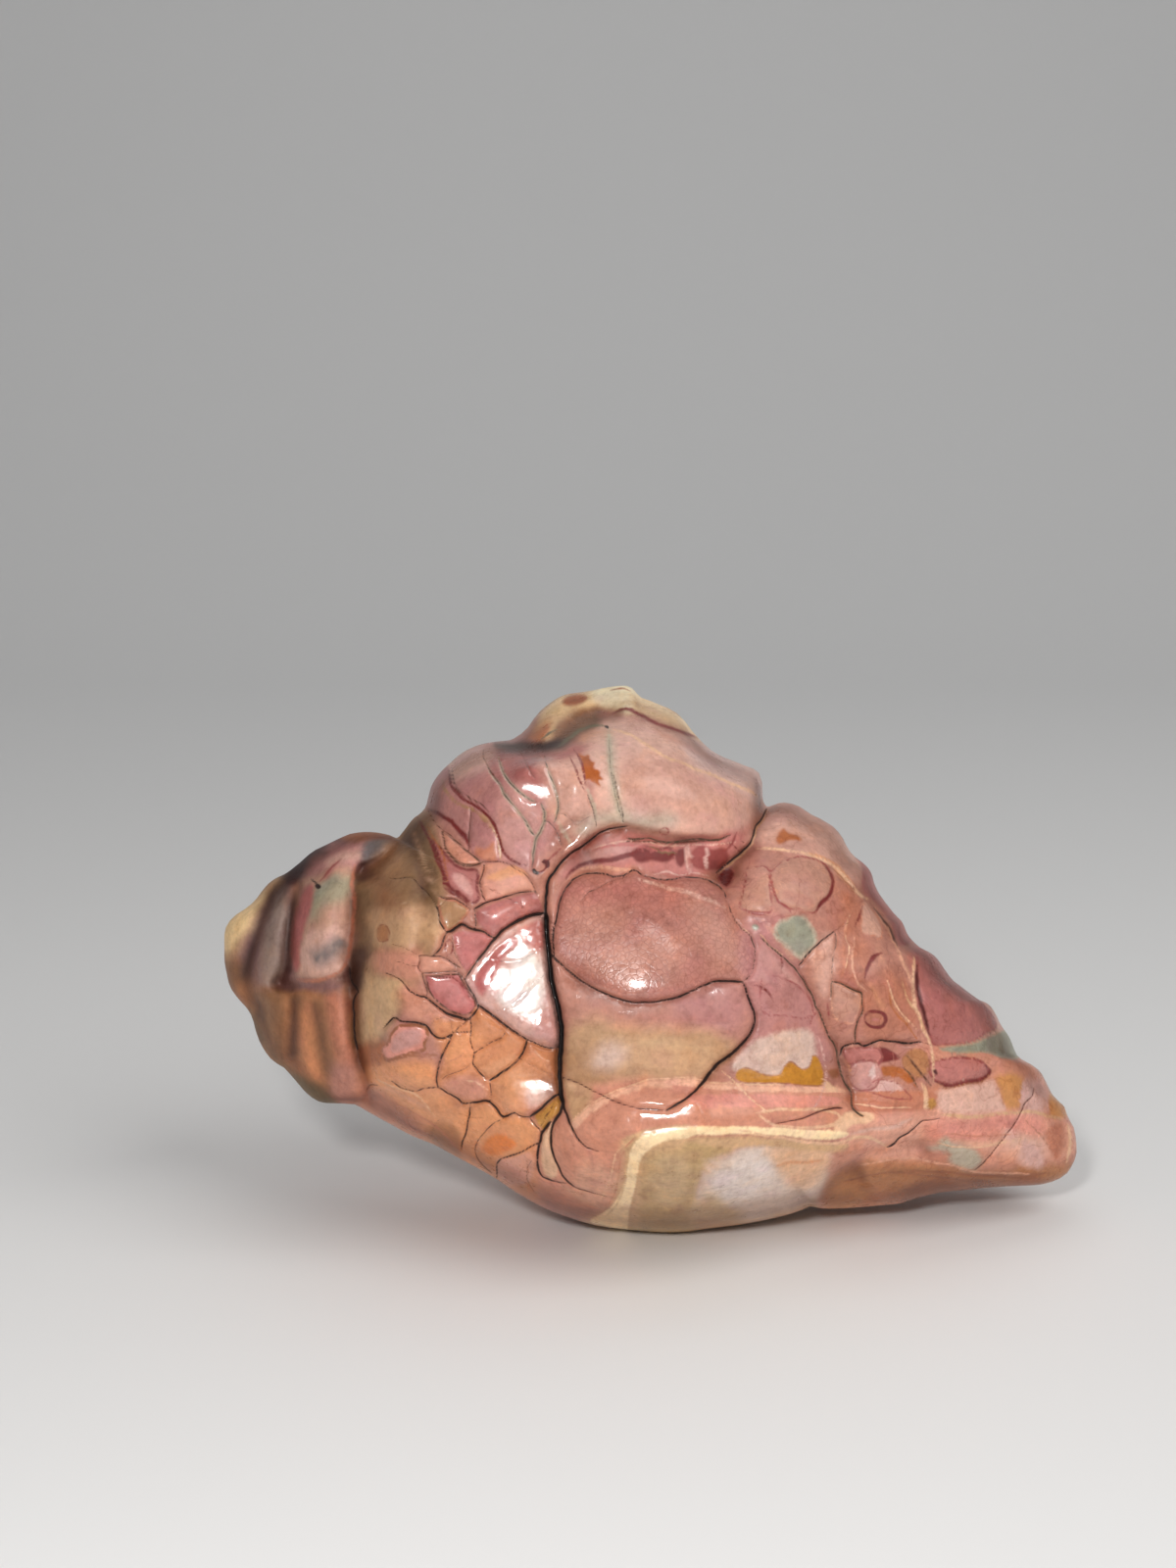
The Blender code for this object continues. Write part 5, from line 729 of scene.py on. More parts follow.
LINES_2 = [
    ("wine", 3.0, 1.0, [(458.7, 784), (460, 800), (468, 810.7), (474, 816.7), (487, 823), (497.3, 831), (504, 840.7), (509, 852), (513, 866), (519, 875.3), (529.3, 882), (540, 884.3)]),
    ("brown", 1.4, 0.9, [(462, 783), (463.4, 798), (470.6, 808), (480, 814.6), (491, 820), (501, 828)]),
    ("wine", (3.4, 6.0), 1.6, [(437, 826), (445, 829), (453, 834), (460, 838), (465, 844), (471, 850), (476, 856), (479, 864)]),
    ("wine", 2.8, 1.2, [(425, 833), (433, 846.7), (438.7, 857), (445, 876), (452, 890.7), (453.5, 904), (458.7, 909.5), (468, 914.5), (478, 923)]),
    ("orange_d", 1.8, 1.1, [(436, 842), (444, 858), (452, 872), (456, 888), (457, 900)]),
    ("wine", 2.0, 0.9, [(581.3, 771.3), (586.7, 784), (592.3, 797.7), (597.7, 808)]),
    ("wine", 2.2, 1.0, [(585.3, 764.3), (591, 772.7), (595, 786.7), (598.7, 801.3)]),
    ("wine", 2.8, 0.9, [(498.7, 784), (503, 791), (508, 797.3)]),
    ("wine", 2.6, 0.9, [(542, 888.7), (548, 890.7), (552, 890.7), (556, 886.7), (557.3, 881.3)]),
    ("wine_d", 4.6, 0.9, [(555, 879.6), (558.4, 880), (558, 884)]),
    ("spot", 3.8, 0.8, [(545, 889), (547, 891), (549, 891.4)]),
    ("wine_l", 3.0, 1.2, [(559, 878), (565, 872), (572, 866)]),
    ("wine", (3.2, 7.5), 1.6, [(577, 898), (583, 889), (591, 883), (600, 879.5), (612, 878.5), (624, 877), (636, 874), (648, 871), (664, 873), (680, 870), (692, 872)]),
    ("rose", 2.6, 1.8, [(604, 868), (622, 863), (646, 862), (668, 868), (690, 866)]),
    ("wine_l", 1.7, 0.8, [(672.5, 848), (675, 845.4), (680, 845.2), (683, 848), (680, 851.4), (675, 851.3), (672.5, 848)]),
    ("wine", 2.0, 0.9, [(743, 860), (749, 864), (755, 871)]),
    ("wine_l", 2.2, 1.0, [(752, 850), (746, 862), (736, 872), (720, 880)]),
    ("mauve_w", 1.8, 0.8, [(666, 892), (680, 890), (694, 893), (708, 891), (727, 895)]),
    ("blush", 1.6, 1.0, [(604, 866), (640, 858), (680, 862), (716, 862), (750, 860)]),
    ("cream_p", 2.2, 0.9, [(783, 825.5), (777.5, 838), (772, 845), (769.5, 854), (767, 862), (759, 870.5), (752, 876), (742, 884), (733, 891)]),
    ("cream_p", 1.4, 0.9, [(755, 946), (764, 952), (770, 957)]),
    ("cream_p", 1.6, 0.9, [(737, 1093), (752, 1107), (768, 1122), (787, 1139)]),
    ("cream_p", 1.4, 0.9, [(582, 1144), (606, 1125), (631, 1112), (656, 1103.6), (681, 1100), (706, 1100), (722, 1103.6), (755.6, 1106), (800, 1106.5)]),
    # right side
    ("wine_l", 2.6, 1.1, [(788, 899), (789, 908), (793, 918), (799, 923.5), (805, 927), (807.5, 933)]),
    ("wine_l", 2.2, 1.0, [(756, 926.7), (765, 931), (777, 932.7), (785, 931)]),
    ("wine", (2.2, 5.0), 1.3, [(840, 882.7), (847, 890.7), (850.5, 901), (846, 913), (838.7, 921), (832, 931)]),
    ("wine", 2.6, 1.1, [(879.5, 924), (876, 936), (872, 945)]),
    ("wine", (6.0, 3.0), 1.4, [(898.7, 972), (892, 976), (888, 982.7), (884, 993), (882.7, 999)]),
    ("wine", 3.6, 1.0, [(881.7, 1040), (884.5, 1034), (892.7, 1032), (900.5, 1034.5), (903.7, 1040), (900.5, 1046), (892.7, 1048), (884.5, 1045.5), (881.7, 1040)]),
    ("rose_l", 3.2, 1.2, [(890, 1040), (896, 1040)]),
    ("wine_d", 4.0, 1.6, [(935, 986), (936.5, 1006.7), (941.5, 1030.7), (949, 1054.7)]),
    ("wine", 3.4, 1.4, [(1006, 1086), (1010.5, 1092.5), (1004, 1100), (988, 1104.5), (967, 1107), (956, 1104)]),
    ("wine_d", 4.0, 1.2, [(954, 1092.7), (955.4, 1095)]),
    ("brick", 1.6, 0.9, [(1010.7, 1096), (1000, 1104), (980, 1108), (957, 1110.7)]),
    ("wine", 2.6, 1.0, [(797.3, 977), (799, 984), (798, 990.7)]),
    ("wine", 2.6, 1.0, [(768, 1006), (775, 1007), (782, 1011), (787, 1017), (790, 1023)]),
    ("wine_l", 3.2, 1.3, [(844, 1024), (845.5, 1032), (846, 1040)]),
    ("wine_l", 1.6, 0.9, [(826.7, 1045), (829, 1039), (832, 1034.7)]),
    ("wine_l", 2.2, 1.2, [(866, 1086), (878, 1084), (890, 1083)]),
    ("mauve_d", 2.2, 1.4, [(292, 1004), (305, 1007), (320, 1005), (333, 1002)]),
    ("wine_l", 2.2, 1.4, [(326.7, 898.7), (336, 889), (348, 876)]),
    ("spot", 5.0, 1.0, [(324.2, 903.8), (325.2, 904.8)]),
    ("spot", 2.0, 1.0, [(319, 897), (323, 901)]),
    ("wine", 1.8, 0.9, [(457.4, 957), (461, 962), (461.4, 969), (458, 974.5), (454.4, 970), (454.6, 962), (457.4, 957)]),
    ("spot", 3.0, 0.8, [(617.8, 741.8), (619.6, 742.6)]),
    ("green_d", 2.4, 1.0, [(552, 755), (560, 748), (568, 744)]),
    ("greyline", 2.0, 1.0, [(634, 824), (636, 838)]),
    ("greyline", 1.6, 1.0, [(626, 790), (629, 806), (634, 824)]),
    ("green", 6.0, 1.8, [(770.5, 946), (771.5, 947)]),
    ("olive", 1.4, 0.8, [(455, 977), (462, 983), (474, 989)]),
    ("olive", 1.6, 1.1, [(640, 858), (668, 859), (700, 859), (744, 855)]),
    ("tan_d", 2.0, 1.2, [(664, 864), (676, 869), (690, 870)]),
    ("salmon_d", 2.2, 1.4, [(864, 940), (860, 960), (862, 984), (858, 998)]),
    ("salmon_l", 1.8, 1.2, [(872, 955), (869, 976), (874, 1000), (884, 1012)]),
    ("orange_d", 2.0, 1.0, [(906, 1010), (912, 1030), (926, 1046), (936, 1060)]),
    ("cream_p", 1.3, 0.9, [(905, 1000), (912, 1020), (922, 1036), (936, 1050)]),
    ("burnt", 1.6, 1.0, [(905, 1092), (916, 1094), (930, 1104), (940, 1118)]),
    ("brown", 2.4, 1.2, [(926, 1078), (934, 1088), (942, 1098), (950, 1108)]),
    ("olive", 1.8, 1.1, [(922, 1090), (930, 1098), (938, 1112)]),
    ("brown", 1.6, 1.0, [(566, 1126), (560, 1136), (552, 1148)]),
    ("salmon_d", 1.8, 1.1, [(880, 1120), (905, 1124), (938, 1126)]),
    ("cream_p", 1.2, 0.9, [(872, 1126), (900, 1130), (930, 1130)]),
    ("wine", 1.6, 0.9, [(440, 999), (452, 998), (464, 999), (472, 1008), (480, 1020)]),
    ("burnt", 1.4, 0.9, [(622, 705), (634, 703), (644, 706)]),
    ("orange_d", 1.3, 1.0, [(468, 1136), (480, 1140), (494, 1140)]),
]


# =====================================================================
# Tools: colour, noise, smooth lines, distances
# =====================================================================
def linear(name):
    out = []
    for c in COLOURS[name]:
        c /= 255.0
        out.append(c / 12.92 if c <= 0.04045 else ((c + 0.055) / 1.055) ** 2.4)
    return np.array(out)


def lattice(ix, iy, iz, seed):
    """A repeatable number from -1 to 1 for every lattice point."""
    h = (ix.astype(np.int64) * 374761393 + iy.astype(np.int64) * 668265263
         + iz.astype(np.int64) * 2147483647 + seed * 1013904223) & 0xFFFFFFFF
    h = ((h ^ (h >> 13)) * 1274126177) & 0xFFFFFFFF
    h = ((h ^ (h >> 15)) * 2246822519) & 0xFFFFFFFF
    return ((h ^ (h >> 16)) & 0xFFFFFF) / float(0x7FFFFF) - 1.0


def noise(p, seed=0):
    """Smooth noise from -1 to 1 at points p (N, 3)."""
    i = np.floor(p).astype(np.int64)
    f = p - i
    f = f * f * f * (f * (f * 6 - 15) + 10)
    out = 0.0
    for dx in (0, 1):
        wx = f[:, 0] if dx else 1 - f[:, 0]
        for dy in (0, 1):
            wy = f[:, 1] if dy else 1 - f[:, 1]
            for dz in (0, 1):
                wz = f[:, 2] if dz else 1 - f[:, 2]
                out = out + wx * wy * wz * lattice(i[:, 0] + dx, i[:, 1] + dy, i[:, 2] + dz, seed)
    return out


def flat_noise(x, y, size, seed=0, side=0.0):
    """Noise over the drawing plane; `side` keeps front and back apart."""
    return noise(np.stack([x / size, y / size, np.zeros_like(x) + 0.37 * seed + side], axis=1), seed)


def ramp(value, low, high):
    t = np.clip((value - low) / (high - low), 0, 1)
    return t * t * (3 - 2 * t)


def smooth_line(points, closed=False, step=3.0):
    """A smooth curve through given points, as evenly spaced points."""
    p = np.array(points, float)
    if closed:
        p = np.vstack([p[-1], p, p[0], p[1]])
    else:
        p = np.vstack([2 * p[0] - p[1], p, 2 * p[-1] - p[-2]])
    out = []
    for a, b, c, d in zip(p[:-3], p[1:-2], p[2:-1], p[3:]):
        n = max(2, int(math.ceil(np.hypot(*(c - b)) / step)) + 1)
        t = np.linspace(0, 1, n, endpoint=False)[:, None]
        out.append(0.5 * (2 * b + (c - a) * t + (2 * a - 5 * b + 4 * c - d) * t ** 2
                          + (3 * b - a - 3 * c + d) * t ** 3))
    return np.vstack(out + [p[-2][None, :]])


def to_line(x, y, line):
    """Distance to a polyline, side (+1 right of its direction, y down), place
    along it from 0 to 1, and a share that fades to 0 at both ends."""
    line = np.asarray(line, float)
    ax, ay = line[:-1, 0], line[:-1, 1]
    vx, vy = np.diff(line[:, 0]), np.diff(line[:, 1])
    length = np.hypot(vx, vy)
    keep = length > 1e-6
    ax, ay, vx, vy, length = ax[keep], ay[keep], vx[keep], vy[keep], length[keep]
    start = np.concatenate([[0], np.cumsum(length)])
    n = len(x)
    best, side, along = np.empty(n), np.empty(n), np.empty(n)
    rows = max(1, int(3e6 / len(ax)))
    for a in range(0, n, rows):
        px, py = x[a:a + rows, None], y[a:a + rows, None]
        t = np.clip(((px - ax) * vx + (py - ay) * vy) / length ** 2, 0, 1)
        dx, dy = px - ax - t * vx, py - ay - t * vy
        d = dx * dx + dy * dy
        k = d.argmin(axis=1)
        r = np.arange(len(k))
        best[a:a + rows] = np.sqrt(d[r, k])
        side[a:a + rows] = np.where(vx[k] * dy[r, k] - vy[k] * dx[r, k] > 0, 1.0, -1.0)
        along[a:a + rows] = (start[k] + t[r, k] * length[k]) / start[-1]
    ends = np.clip(np.minimum(along, 1 - along) / 0.22, 0, 1)
    return best, side, along, ends * ends * (3 - 2 * ends)


def inside(x, y, loop):
    """Whether each point is inside a closed loop."""
    loop = np.asarray(loop, float)
    a, b = loop, np.roll(loop, -1, axis=0)
    hit = np.zeros(len(x), bool)
    rows = max(1, int(4e6 / len(a)))
    for i in range(0, len(x), rows):
        px, py = x[i:i + rows, None], y[i:i + rows, None]
        cross = (a[:, 1] > py) != (b[:, 1] > py)
        xi = a[:, 0] + (py - a[:, 1]) * (b[:, 0] - a[:, 0]) / (b[:, 1] - a[:, 1] + 1e-12)
        hit[i:i + rows] = (np.sum(cross & (px < xi), axis=1) % 2) == 1
    return hit


def near(x, y, points, margin):
    low, high = points.min(axis=0) - margin, points.max(axis=0) + margin
    return np.nonzero((x > low[0]) & (x < high[0]) & (y > low[1]) & (y < high[1]))[0]


def area_distance(x, y, points, margin, step=3.0):
    """Points near a closed outline and their signed distance (inside > 0)."""
    loop = smooth_line(points, closed=True, step=step)
    k = near(x, y, loop, margin)
    if not len(k):
        return k, None
    d = to_line(x[k], y[k], loop)[0]
    return k, np.where(inside(x[k], y[k], loop), d, -d)


# =====================================================================
# Form
# =====================================================================
def gaussian(x, y, form):
    cx, cy, rx, ry = form[:4]
    turn = math.radians(form[5]) if len(form) > 5 else 0.0
    dx, dy = x - cx, y - cy
    along = dx * math.cos(turn) + dy * math.sin(turn)
    across = dy * math.cos(turn) - dx * math.sin(turn)
    return np.exp(-((along / rx) ** 2) - (across / ry) ** 2)


OUTLINE_SMOOTH = smooth_line(OUTLINE, closed=True, step=2.5)
_rel = OUTLINE_SMOOTH - np.array(MIDDLE)
_ang = np.arctan2(-_rel[:, 1], _rel[:, 0])
_order = np.argsort(_ang)
_ang, _len = _ang[_order], np.hypot(_rel[:, 0], _rel[:, 1])[_order]
_ang = np.concatenate([_ang - 2 * math.pi, _ang, _ang + 2 * math.pi])
_len = np.concatenate([_len, _len, _len])
# the same, with the small bays and points smoothed away, on an even grid
_grid = np.radians(np.arange(-200.0, 200.5, 0.5))
_soft = np.zeros_like(_grid)
_total = 0.0
for _k in range(-12, 13):
    _w = math.exp(-((_k / 6.0) ** 2))
    _soft += _w * np.interp(_grid + math.radians(2.0 * _k), _ang, _len)
    _total += _w
_soft /= _total


def outline_reach(angle):
    return np.interp(angle, _ang, _len), np.interp(angle, _grid, _soft)


def fullness(x, y):
    dx, dy = x - MIDDLE[0], y - MIDDLE[1]
    r = np.hypot(dx, dy)
    exact, soft = outline_reach(np.arctan2(-dy, dx))
    share = np.clip(r / exact, 0, 1)
    share = np.clip(r / (soft + (exact - soft) * share ** 8), 0, 1)
    return np.sqrt(np.clip(1 - share ** ROUNDNESS, 0, None))


def bow(x, y):
    return sum(form[4] * gaussian(x, y, form) for form in BOW)


def carve(x, y, depth, edge, forms, valleys, steps=()):
    for form in forms:
        depth = depth + edge * form[4] * gaussian(x, y, form)
    for deep, wide, line in valleys:
        pts = smooth_line(line, step=6)
        k = near(x, y, pts, wide * 3.2)
        if len(k):
            d = to_line(x[k], y[k], pts)[0]
            depth[k] -= edge[k] * deep * np.exp(-((d / wide) ** 2))
    for high, wide, reach, line, low_side in steps:
        pts = smooth_line(line, step=5)
        k = near(x, y, pts, reach * 3.5 + 20)
        if len(k):
            d, side, _, ends = to_line(x[k], y[k], pts)
            s = side * low_side * d
            low = 0.5 * (1 + np.tanh(s / wide)) * np.exp(-np.clip(s, 0, None) / reach)
            depth[k] -= edge[k] * ends * high * low
    return depth


def surface_depth(x, y, front):
    """mm towards the viewer, without cracks; `front` says which side."""
    full = fullness(x, y)
    edge = 1 - (1 - full) ** 3
    out = np.empty_like(x)
    k = np.nonzero(front)[0]
    fx, fy, fe = x[k], y[k], edge[k]
    depth = carve(fx, fy, HALF_FRONT * full[k], fe, FRONT_FORMS, FRONT_VALLEYS, FRONT_STEPS)
    depth = carve(fx, fy, depth, fe, FINE_FORMS, FINE_VALLEYS, FINE_STEPS)
    for flat, soft, right, down, pts in FACETS:
        q, s = area_distance(fx, fy, pts, soft * 2)
        if len(q):
            m = flat * ramp(s / soft, -1, 1)
            core = s > 0
            level = np.mean((depth[q] - right * fx[q] - down * fy[q])[core]) if core.any() else 0.0
            depth[q] += m * (level + right * fx[q] + down * fy[q] - depth[q])
    out[k] = depth
    k = np.nonzero(~front)[0]
    out[k] = -carve(x[k], y[k], HALF_BACK * full[k], edge[k], BACK_FORMS, BACK_VALLEYS)
    return bow(x, y) + out


def place(x, y, depth):
    """Outline units and mm of depth to metres, with the eye at the origin."""
    away = VIEW_DISTANCE - depth * 0.001
    right = (x - VIEW_CENTRE[0]) * UNIT * away / VIEW_DISTANCE
    up = (VIEW_CENTRE[1] - y) * UNIT * away / VIEW_DISTANCE
    c, s = math.cos(VIEW_TILT), math.sin(VIEW_TILT)
    return np.stack([right, away * c + up * s, up * c - away * s], axis=-1)


def plane_xy(sphere):
    angle = np.arctan2(sphere[:, 2], sphere[:, 0])
    reach, _ = outline_reach(angle)
    rho = np.hypot(sphere[:, 0], sphere[:, 2])
    return (MIDDLE[0] + rho * reach * np.cos(angle),
            MIDDLE[1] - rho * reach * np.sin(angle))


# =====================================================================
# How fine the mesh has to be, everywhere: a map over the drawing plane
# =====================================================================
MAP_STEP = 2.0
MAP_X, MAP_Y = 180.0, 650.0
MAP_W, MAP_H = 490, 330


def distance_map(lines):
    """Distance to the nearest of many lines, by jump flooding."""
    sx = np.full((MAP_H, MAP_W), -1e4)
    sy = np.full((MAP_H, MAP_W), -1e4)
    for pts in lines:
        seg = np.hypot(*np.diff(pts, axis=0).T)
        place_on = np.concatenate([[0], np.cumsum(seg)])
        n = max(2, int(place_on[-1] / 1.0) + 1)
        at = np.linspace(0, place_on[-1], n)
        px, py = np.interp(at, place_on, pts[:, 0]), np.interp(at, place_on, pts[:, 1])
        cx = np.clip(np.rint((px - MAP_X) / MAP_STEP).astype(int), 0, MAP_W - 1)
        cy = np.clip(np.rint((py - MAP_Y) / MAP_STEP).astype(int), 0, MAP_H - 1)
        sx[cy, cx], sy[cy, cx] = px, py
    gx, gy = np.meshgrid(MAP_X + MAP_STEP * np.arange(MAP_W), MAP_Y + MAP_STEP * np.arange(MAP_H))
    best = np.hypot(gx - sx, gy - sy)
    jump = 32
    for jump in (32, 16, 8, 4, 2, 1, 1):
        for dy in (-jump, 0, jump):
            for dx in (-jump, 0, jump):
                if dx == dy == 0:
                    continue
                ty, tx = slice(max(0, dy), MAP_H + min(0, dy)), slice(max(0, dx), MAP_W + min(0, dx))
                fy, fx = slice(max(0, -dy), MAP_H + min(0, -dy)), slice(max(0, -dx), MAP_W + min(0, -dx))
                nx, ny = sx[fy, fx], sy[fy, fx]
                d = np.hypot(gx[ty, tx] - nx, gy[ty, tx] - ny)
                better = d < best[ty, tx]
                sx[ty, tx] = np.where(better, nx, sx[ty, tx])
                sy[ty, tx] = np.where(better, ny, sy[ty, tx])
                best[ty, tx] = np.where(better, d, best[ty, tx])
    return best


def look_up(field, x, y):
    u = np.clip((x - MAP_X) / MAP_STEP, 0, MAP_W - 1.001)
    v = np.clip((y - MAP_Y) / MAP_STEP, 0, MAP_H - 1.001)
    i, j = u.astype(int), v.astype(int)
    u, v = u - i, v - j
    return ((field[j, i] * (1 - u) + field[j, i + 1] * u) * (1 - v)
            + (field[j + 1, i] * (1 - u) + field[j + 1, i + 1] * u) * v)


def widths(w):
    return w if isinstance(w, tuple) else (w, w)


crack_lines = [(widths(w), colour, pillow, smooth_line(pts, step=2.5)) for w, colour, pillow, pts in CRACKS]
fine_map = np.full((MAP_H, MAP_W), 7.0)
for lines, spacing, band, growth in [
    ([c[3] for c in crack_lines if max(c[0]) >= 1.5], 1.45, 2.6, 0.42),
    ([c[3] for c in crack_lines if max(c[0]) < 1.5], 1.5, 1.6, 0.6),
    ([smooth_line(p[-1], step=3) for p in LINES_2], 1.9, 2.0, 0.8),
    ([smooth_line(p[-1], step=3) for p in LINES_1], 2.8, 2.5, 1.0),
    ([smooth_line(p[2], closed=True, step=3) for p in AREAS_1 + AREAS_2], 2.8, 1.5, 1.0),
    ([smooth_line(s[3], step=3) for s in FINE_STEPS], 2.2, 3.0, 0.5),
    ([smooth_line(v[2], step=3) for v in FINE_VALLEYS], 4.0, 8.0, 0.5),
]:
    d = distance_map(lines)
    fine_map = np.minimum(fine_map, spacing + growth * np.clip(d - band, 0, None))


# =====================================================================
# The back: a net of cracks around scattered cells
# =====================================================================
def wander(x, y, seed, far, side=7.0):
    """Shifts points so that straight drawing turns natural."""
    return (x + far * flat_noise(x, y, 9.0 * far, seed, side) + 0.35 * far * flat_noise(x, y, 3.0 * far, seed + 1, side),
            y + far * flat_noise(x, y, 9.0 * far, seed + 2, side) + 0.35 * far * flat_noise(x, y, 3.0 * far, seed + 3, side))


_rng = np.random.default_rng(11)
BACK_SEEDS = []
for _gy in range(8):
    for _gx in range(14):
        BACK_SEEDS.append((210 + 66 * _gx + 33 * (_gy % 2) + _rng.uniform(-24, 24),
                           690 + 76 * _gy + _rng.uniform(-26, 26)))
BACK_SEEDS = np.array(BACK_SEEDS)
# a patch of small plates, like the one on the front
_small = []
for _gy in range(8):
    for _gx in range(7):
        _small.append((720 + 26 * _gx + 13 * (_gy % 2) + _rng.uniform(-9, 9),
                       925 + 27 * _gy + _rng.uniform(-9, 9)))
_small = np.array(_small)
_far = np.hypot((BACK_SEEDS[:, 0] - 805) / 100, (BACK_SEEDS[:, 1] - 1020) / 110) > 1
_in = np.hypot((_small[:, 0] - 805) / 96, (_small[:, 1] - 1020) / 106) < 1
BACK_SEEDS = np.vstack([BACK_SEEDS[_far], _small[_in]])


def back_net(x, y):
    """Distance to the nearest cell wall, the cell's number, and how open the
    wall is (0 to 1)."""
    wx, wy = wander(x, y, 40, 9.0)
    d = np.hypot(wx[:, None] - BACK_SEEDS[:, 0], wy[:, None] - BACK_SEEDS[:, 1])
    order = np.argpartition(d, 3, axis=1)[:, :4]
    dd = np.take_along_axis(d, order, axis=1)
    rank = np.argsort(dd, axis=1)
    order = np.take_along_axis(order, rank, axis=1)
    a = BACK_SEEDS[order[:, 0]]
    wall = np.full(len(x), 1e9)
    for k in (1, 2, 3):
        b = BACK_SEEDS[order[:, k]]
        n = b - a
        ln = np.hypot(n[:, 0], n[:, 1])
        m = (a + b) / 2
        wall = np.minimum(wall, ((m[:, 0] - wx) * n[:, 0] + (m[:, 1] - wy) * n[:, 1]) / ln)
    near_plates = np.hypot((x - 805) / 104, (y - 1020) / 114) < 1
    open_ = ramp(flat_noise(x, y, 120, 61, 3.0), -0.25, 0.2)
    return wall, order[:, 0], np.where(near_plates, 1.0, open_)


def wanted_spacing(x, y, front, full):
    """Outline units between neighbouring points."""
    h = look_up(fine_map, x, y)
    back = ~front
    if back.any():
        k = np.nonzero(back)[0]
        wall, _, open_ = back_net(x[k], y[k])
        own = 2.2 + 0.55 * np.clip(wall - 2.5, 0, None) + 9.0 * (1 - np.clip(open_ * 2, 0, 1))
        fade = ramp(full[k], 0.3, 0.6)
        h[k] = np.clip(np.minimum(h[k] * 1.25 + 9.0 * fade, own + 9.0 * (1 - ramp(full[k], 0.2, 0.4))), 1.6, 9.0)
    return h


# =====================================================================
# Mesh: a divided cube blown up to a sphere, then refined
# =====================================================================
def base_sphere():
    bm = bmesh.new()
    bmesh.ops.create_cube(bm, size=2.0)
    bmesh.ops.subdivide_edges(bm, edges=bm.edges[:], cuts=SEGMENTS - 1, use_grid_fill=True)
    bmesh.ops.triangulate(bm, faces=bm.faces[:])
    bm.verts.index_update()
    v = np.tan(np.array([p.co for p in bm.verts], float) * math.pi / 4)
    v /= np.linalg.norm(v, axis=1)[:, None]
    f = np.array([[p.index for p in face.verts] for face in bm.faces], np.int64)
    bm.free()
    v[np.abs(v) < 1e-7] = 0.0
    return v, f


def coarse_points(v):
    x, y = plane_xy(v)
    front = v[:, 1] <= 0
    full = fullness(x, y)
    depth = bow(x, y) + np.where(front, HALF_FRONT, -HALF_BACK) * full
    return place(x, y, depth) / UNIT, x, y, front, full


def edges_of(f):
    e = np.sort(np.vstack([f[:, [0, 1]], f[:, [1, 2]], f[:, [2, 0]]]), axis=1)
    key = e[:, 0] * (1 << 32) + e[:, 1]
    unique, inverse = np.unique(key, return_inverse=True)
    pairs = np.stack([unique >> 32, unique & 0xFFFFFFFF], axis=1)
    return pairs, inverse.reshape(3, -1).T


def refine(v, f, rounds=7):
    for _ in range(rounds):
        pairs, fe = edges_of(f)
        p = coarse_points(v)[0]
        length = np.linalg.norm(p[pairs[:, 0]] - p[pairs[:, 1]], axis=1)
        mid = v[pairs[:, 0]] + v[pairs[:, 1]]
        mid /= np.linalg.norm(mid, axis=1)[:, None]
        mid[np.abs(mid) < 1e-9] = 0.0
        x, y = plane_xy(mid)
        full = fullness(x, y)
        want = wanted_spacing(x, y, mid[:, 1] <= 0, full)
        mark = length > want * 1.85
        if not mark.any():
            break
        for _ in range(3):      # the longest side of a face is split first
            longest = length[fe].argmax(axis=1)
            need = mark[fe].any(axis=1)
            mark[fe[np.arange(len(fe)), longest][need]] = True
        new_index = np.full(len(pairs), -1, np.int64)
        new_index[mark] = len(v) + np.arange(mark.sum())
        v = np.vstack([v, mid[mark]])
        m = new_index[fe]                       # midpoints of ab, bc, ca
        flag = (m >= 0)
        count = flag.sum(axis=1)
        out = [f[count == 0]]
        for k in range(3):
            # one side split: turn the face so that it is ab
            sel = (count == 1) & flag[:, k]
            a, b, c = f[sel, k], f[sel, (k + 1) % 3], f[sel, (k + 2) % 3]
            q = m[sel, k]
            out += [np.stack([a, q, c], 1), np.stack([q, b, c], 1)]
            # two sides split: turn the face so that the whole side is ca
            sel = (count == 2) & ~flag[:, (k + 2) % 3]
            a, b, c = f[sel, k], f[sel, (k + 1) % 3], f[sel, (k + 2) % 3]
            q, r = m[sel, k], m[sel, (k + 1) % 3]
            out += [np.stack([q, b, r], 1)]
            vv = v
            d1 = np.linalg.norm(vv[a] - vv[r], axis=1)
            d2 = np.linalg.norm(vv[q] - vv[c], axis=1)
            s = d1 <= d2
            out += [np.stack([a[s], q[s], r[s]], 1), np.stack([a[s], r[s], c[s]], 1)]
            s = ~s
            out += [np.stack([a[s], q[s], c[s]], 1), np.stack([q[s], r[s], c[s]], 1)]
        sel = count == 3
        a, b, c = f[sel].T
        q, r, t = m[sel].T
        out += [np.stack([a, q, t], 1), np.stack([q, b, r], 1), np.stack([t, r, c], 1), np.stack([q, r, t], 1)]
        f = np.vstack(out)
    return v, f


sphere, faces = refine(*base_sphere())
X, Y = plane_xy(sphere)
FRONT = sphere[:, 1] <= 0
FULL = fullness(X, Y)
N = len(X)
print("stone:", N, "points,", len(faces), "triangles")

# The drawing follows slightly wandering coordinates, so that no line is ruled.
WX = X + 0.9 * flat_noise(X, Y, 17, 1) + 0.5 * flat_noise(X, Y, 6.5, 2)
WY = Y + 0.9 * flat_noise(X, Y, 17, 3) + 0.5 * flat_noise(X, Y, 6.5, 4)
# How much of the front's drawing shows: all of it in front, and a strip of
# it past the rim, on the back.
PAST_RIM = np.where(FRONT, 0.0, ramp(FULL, 0.22, 0.62))

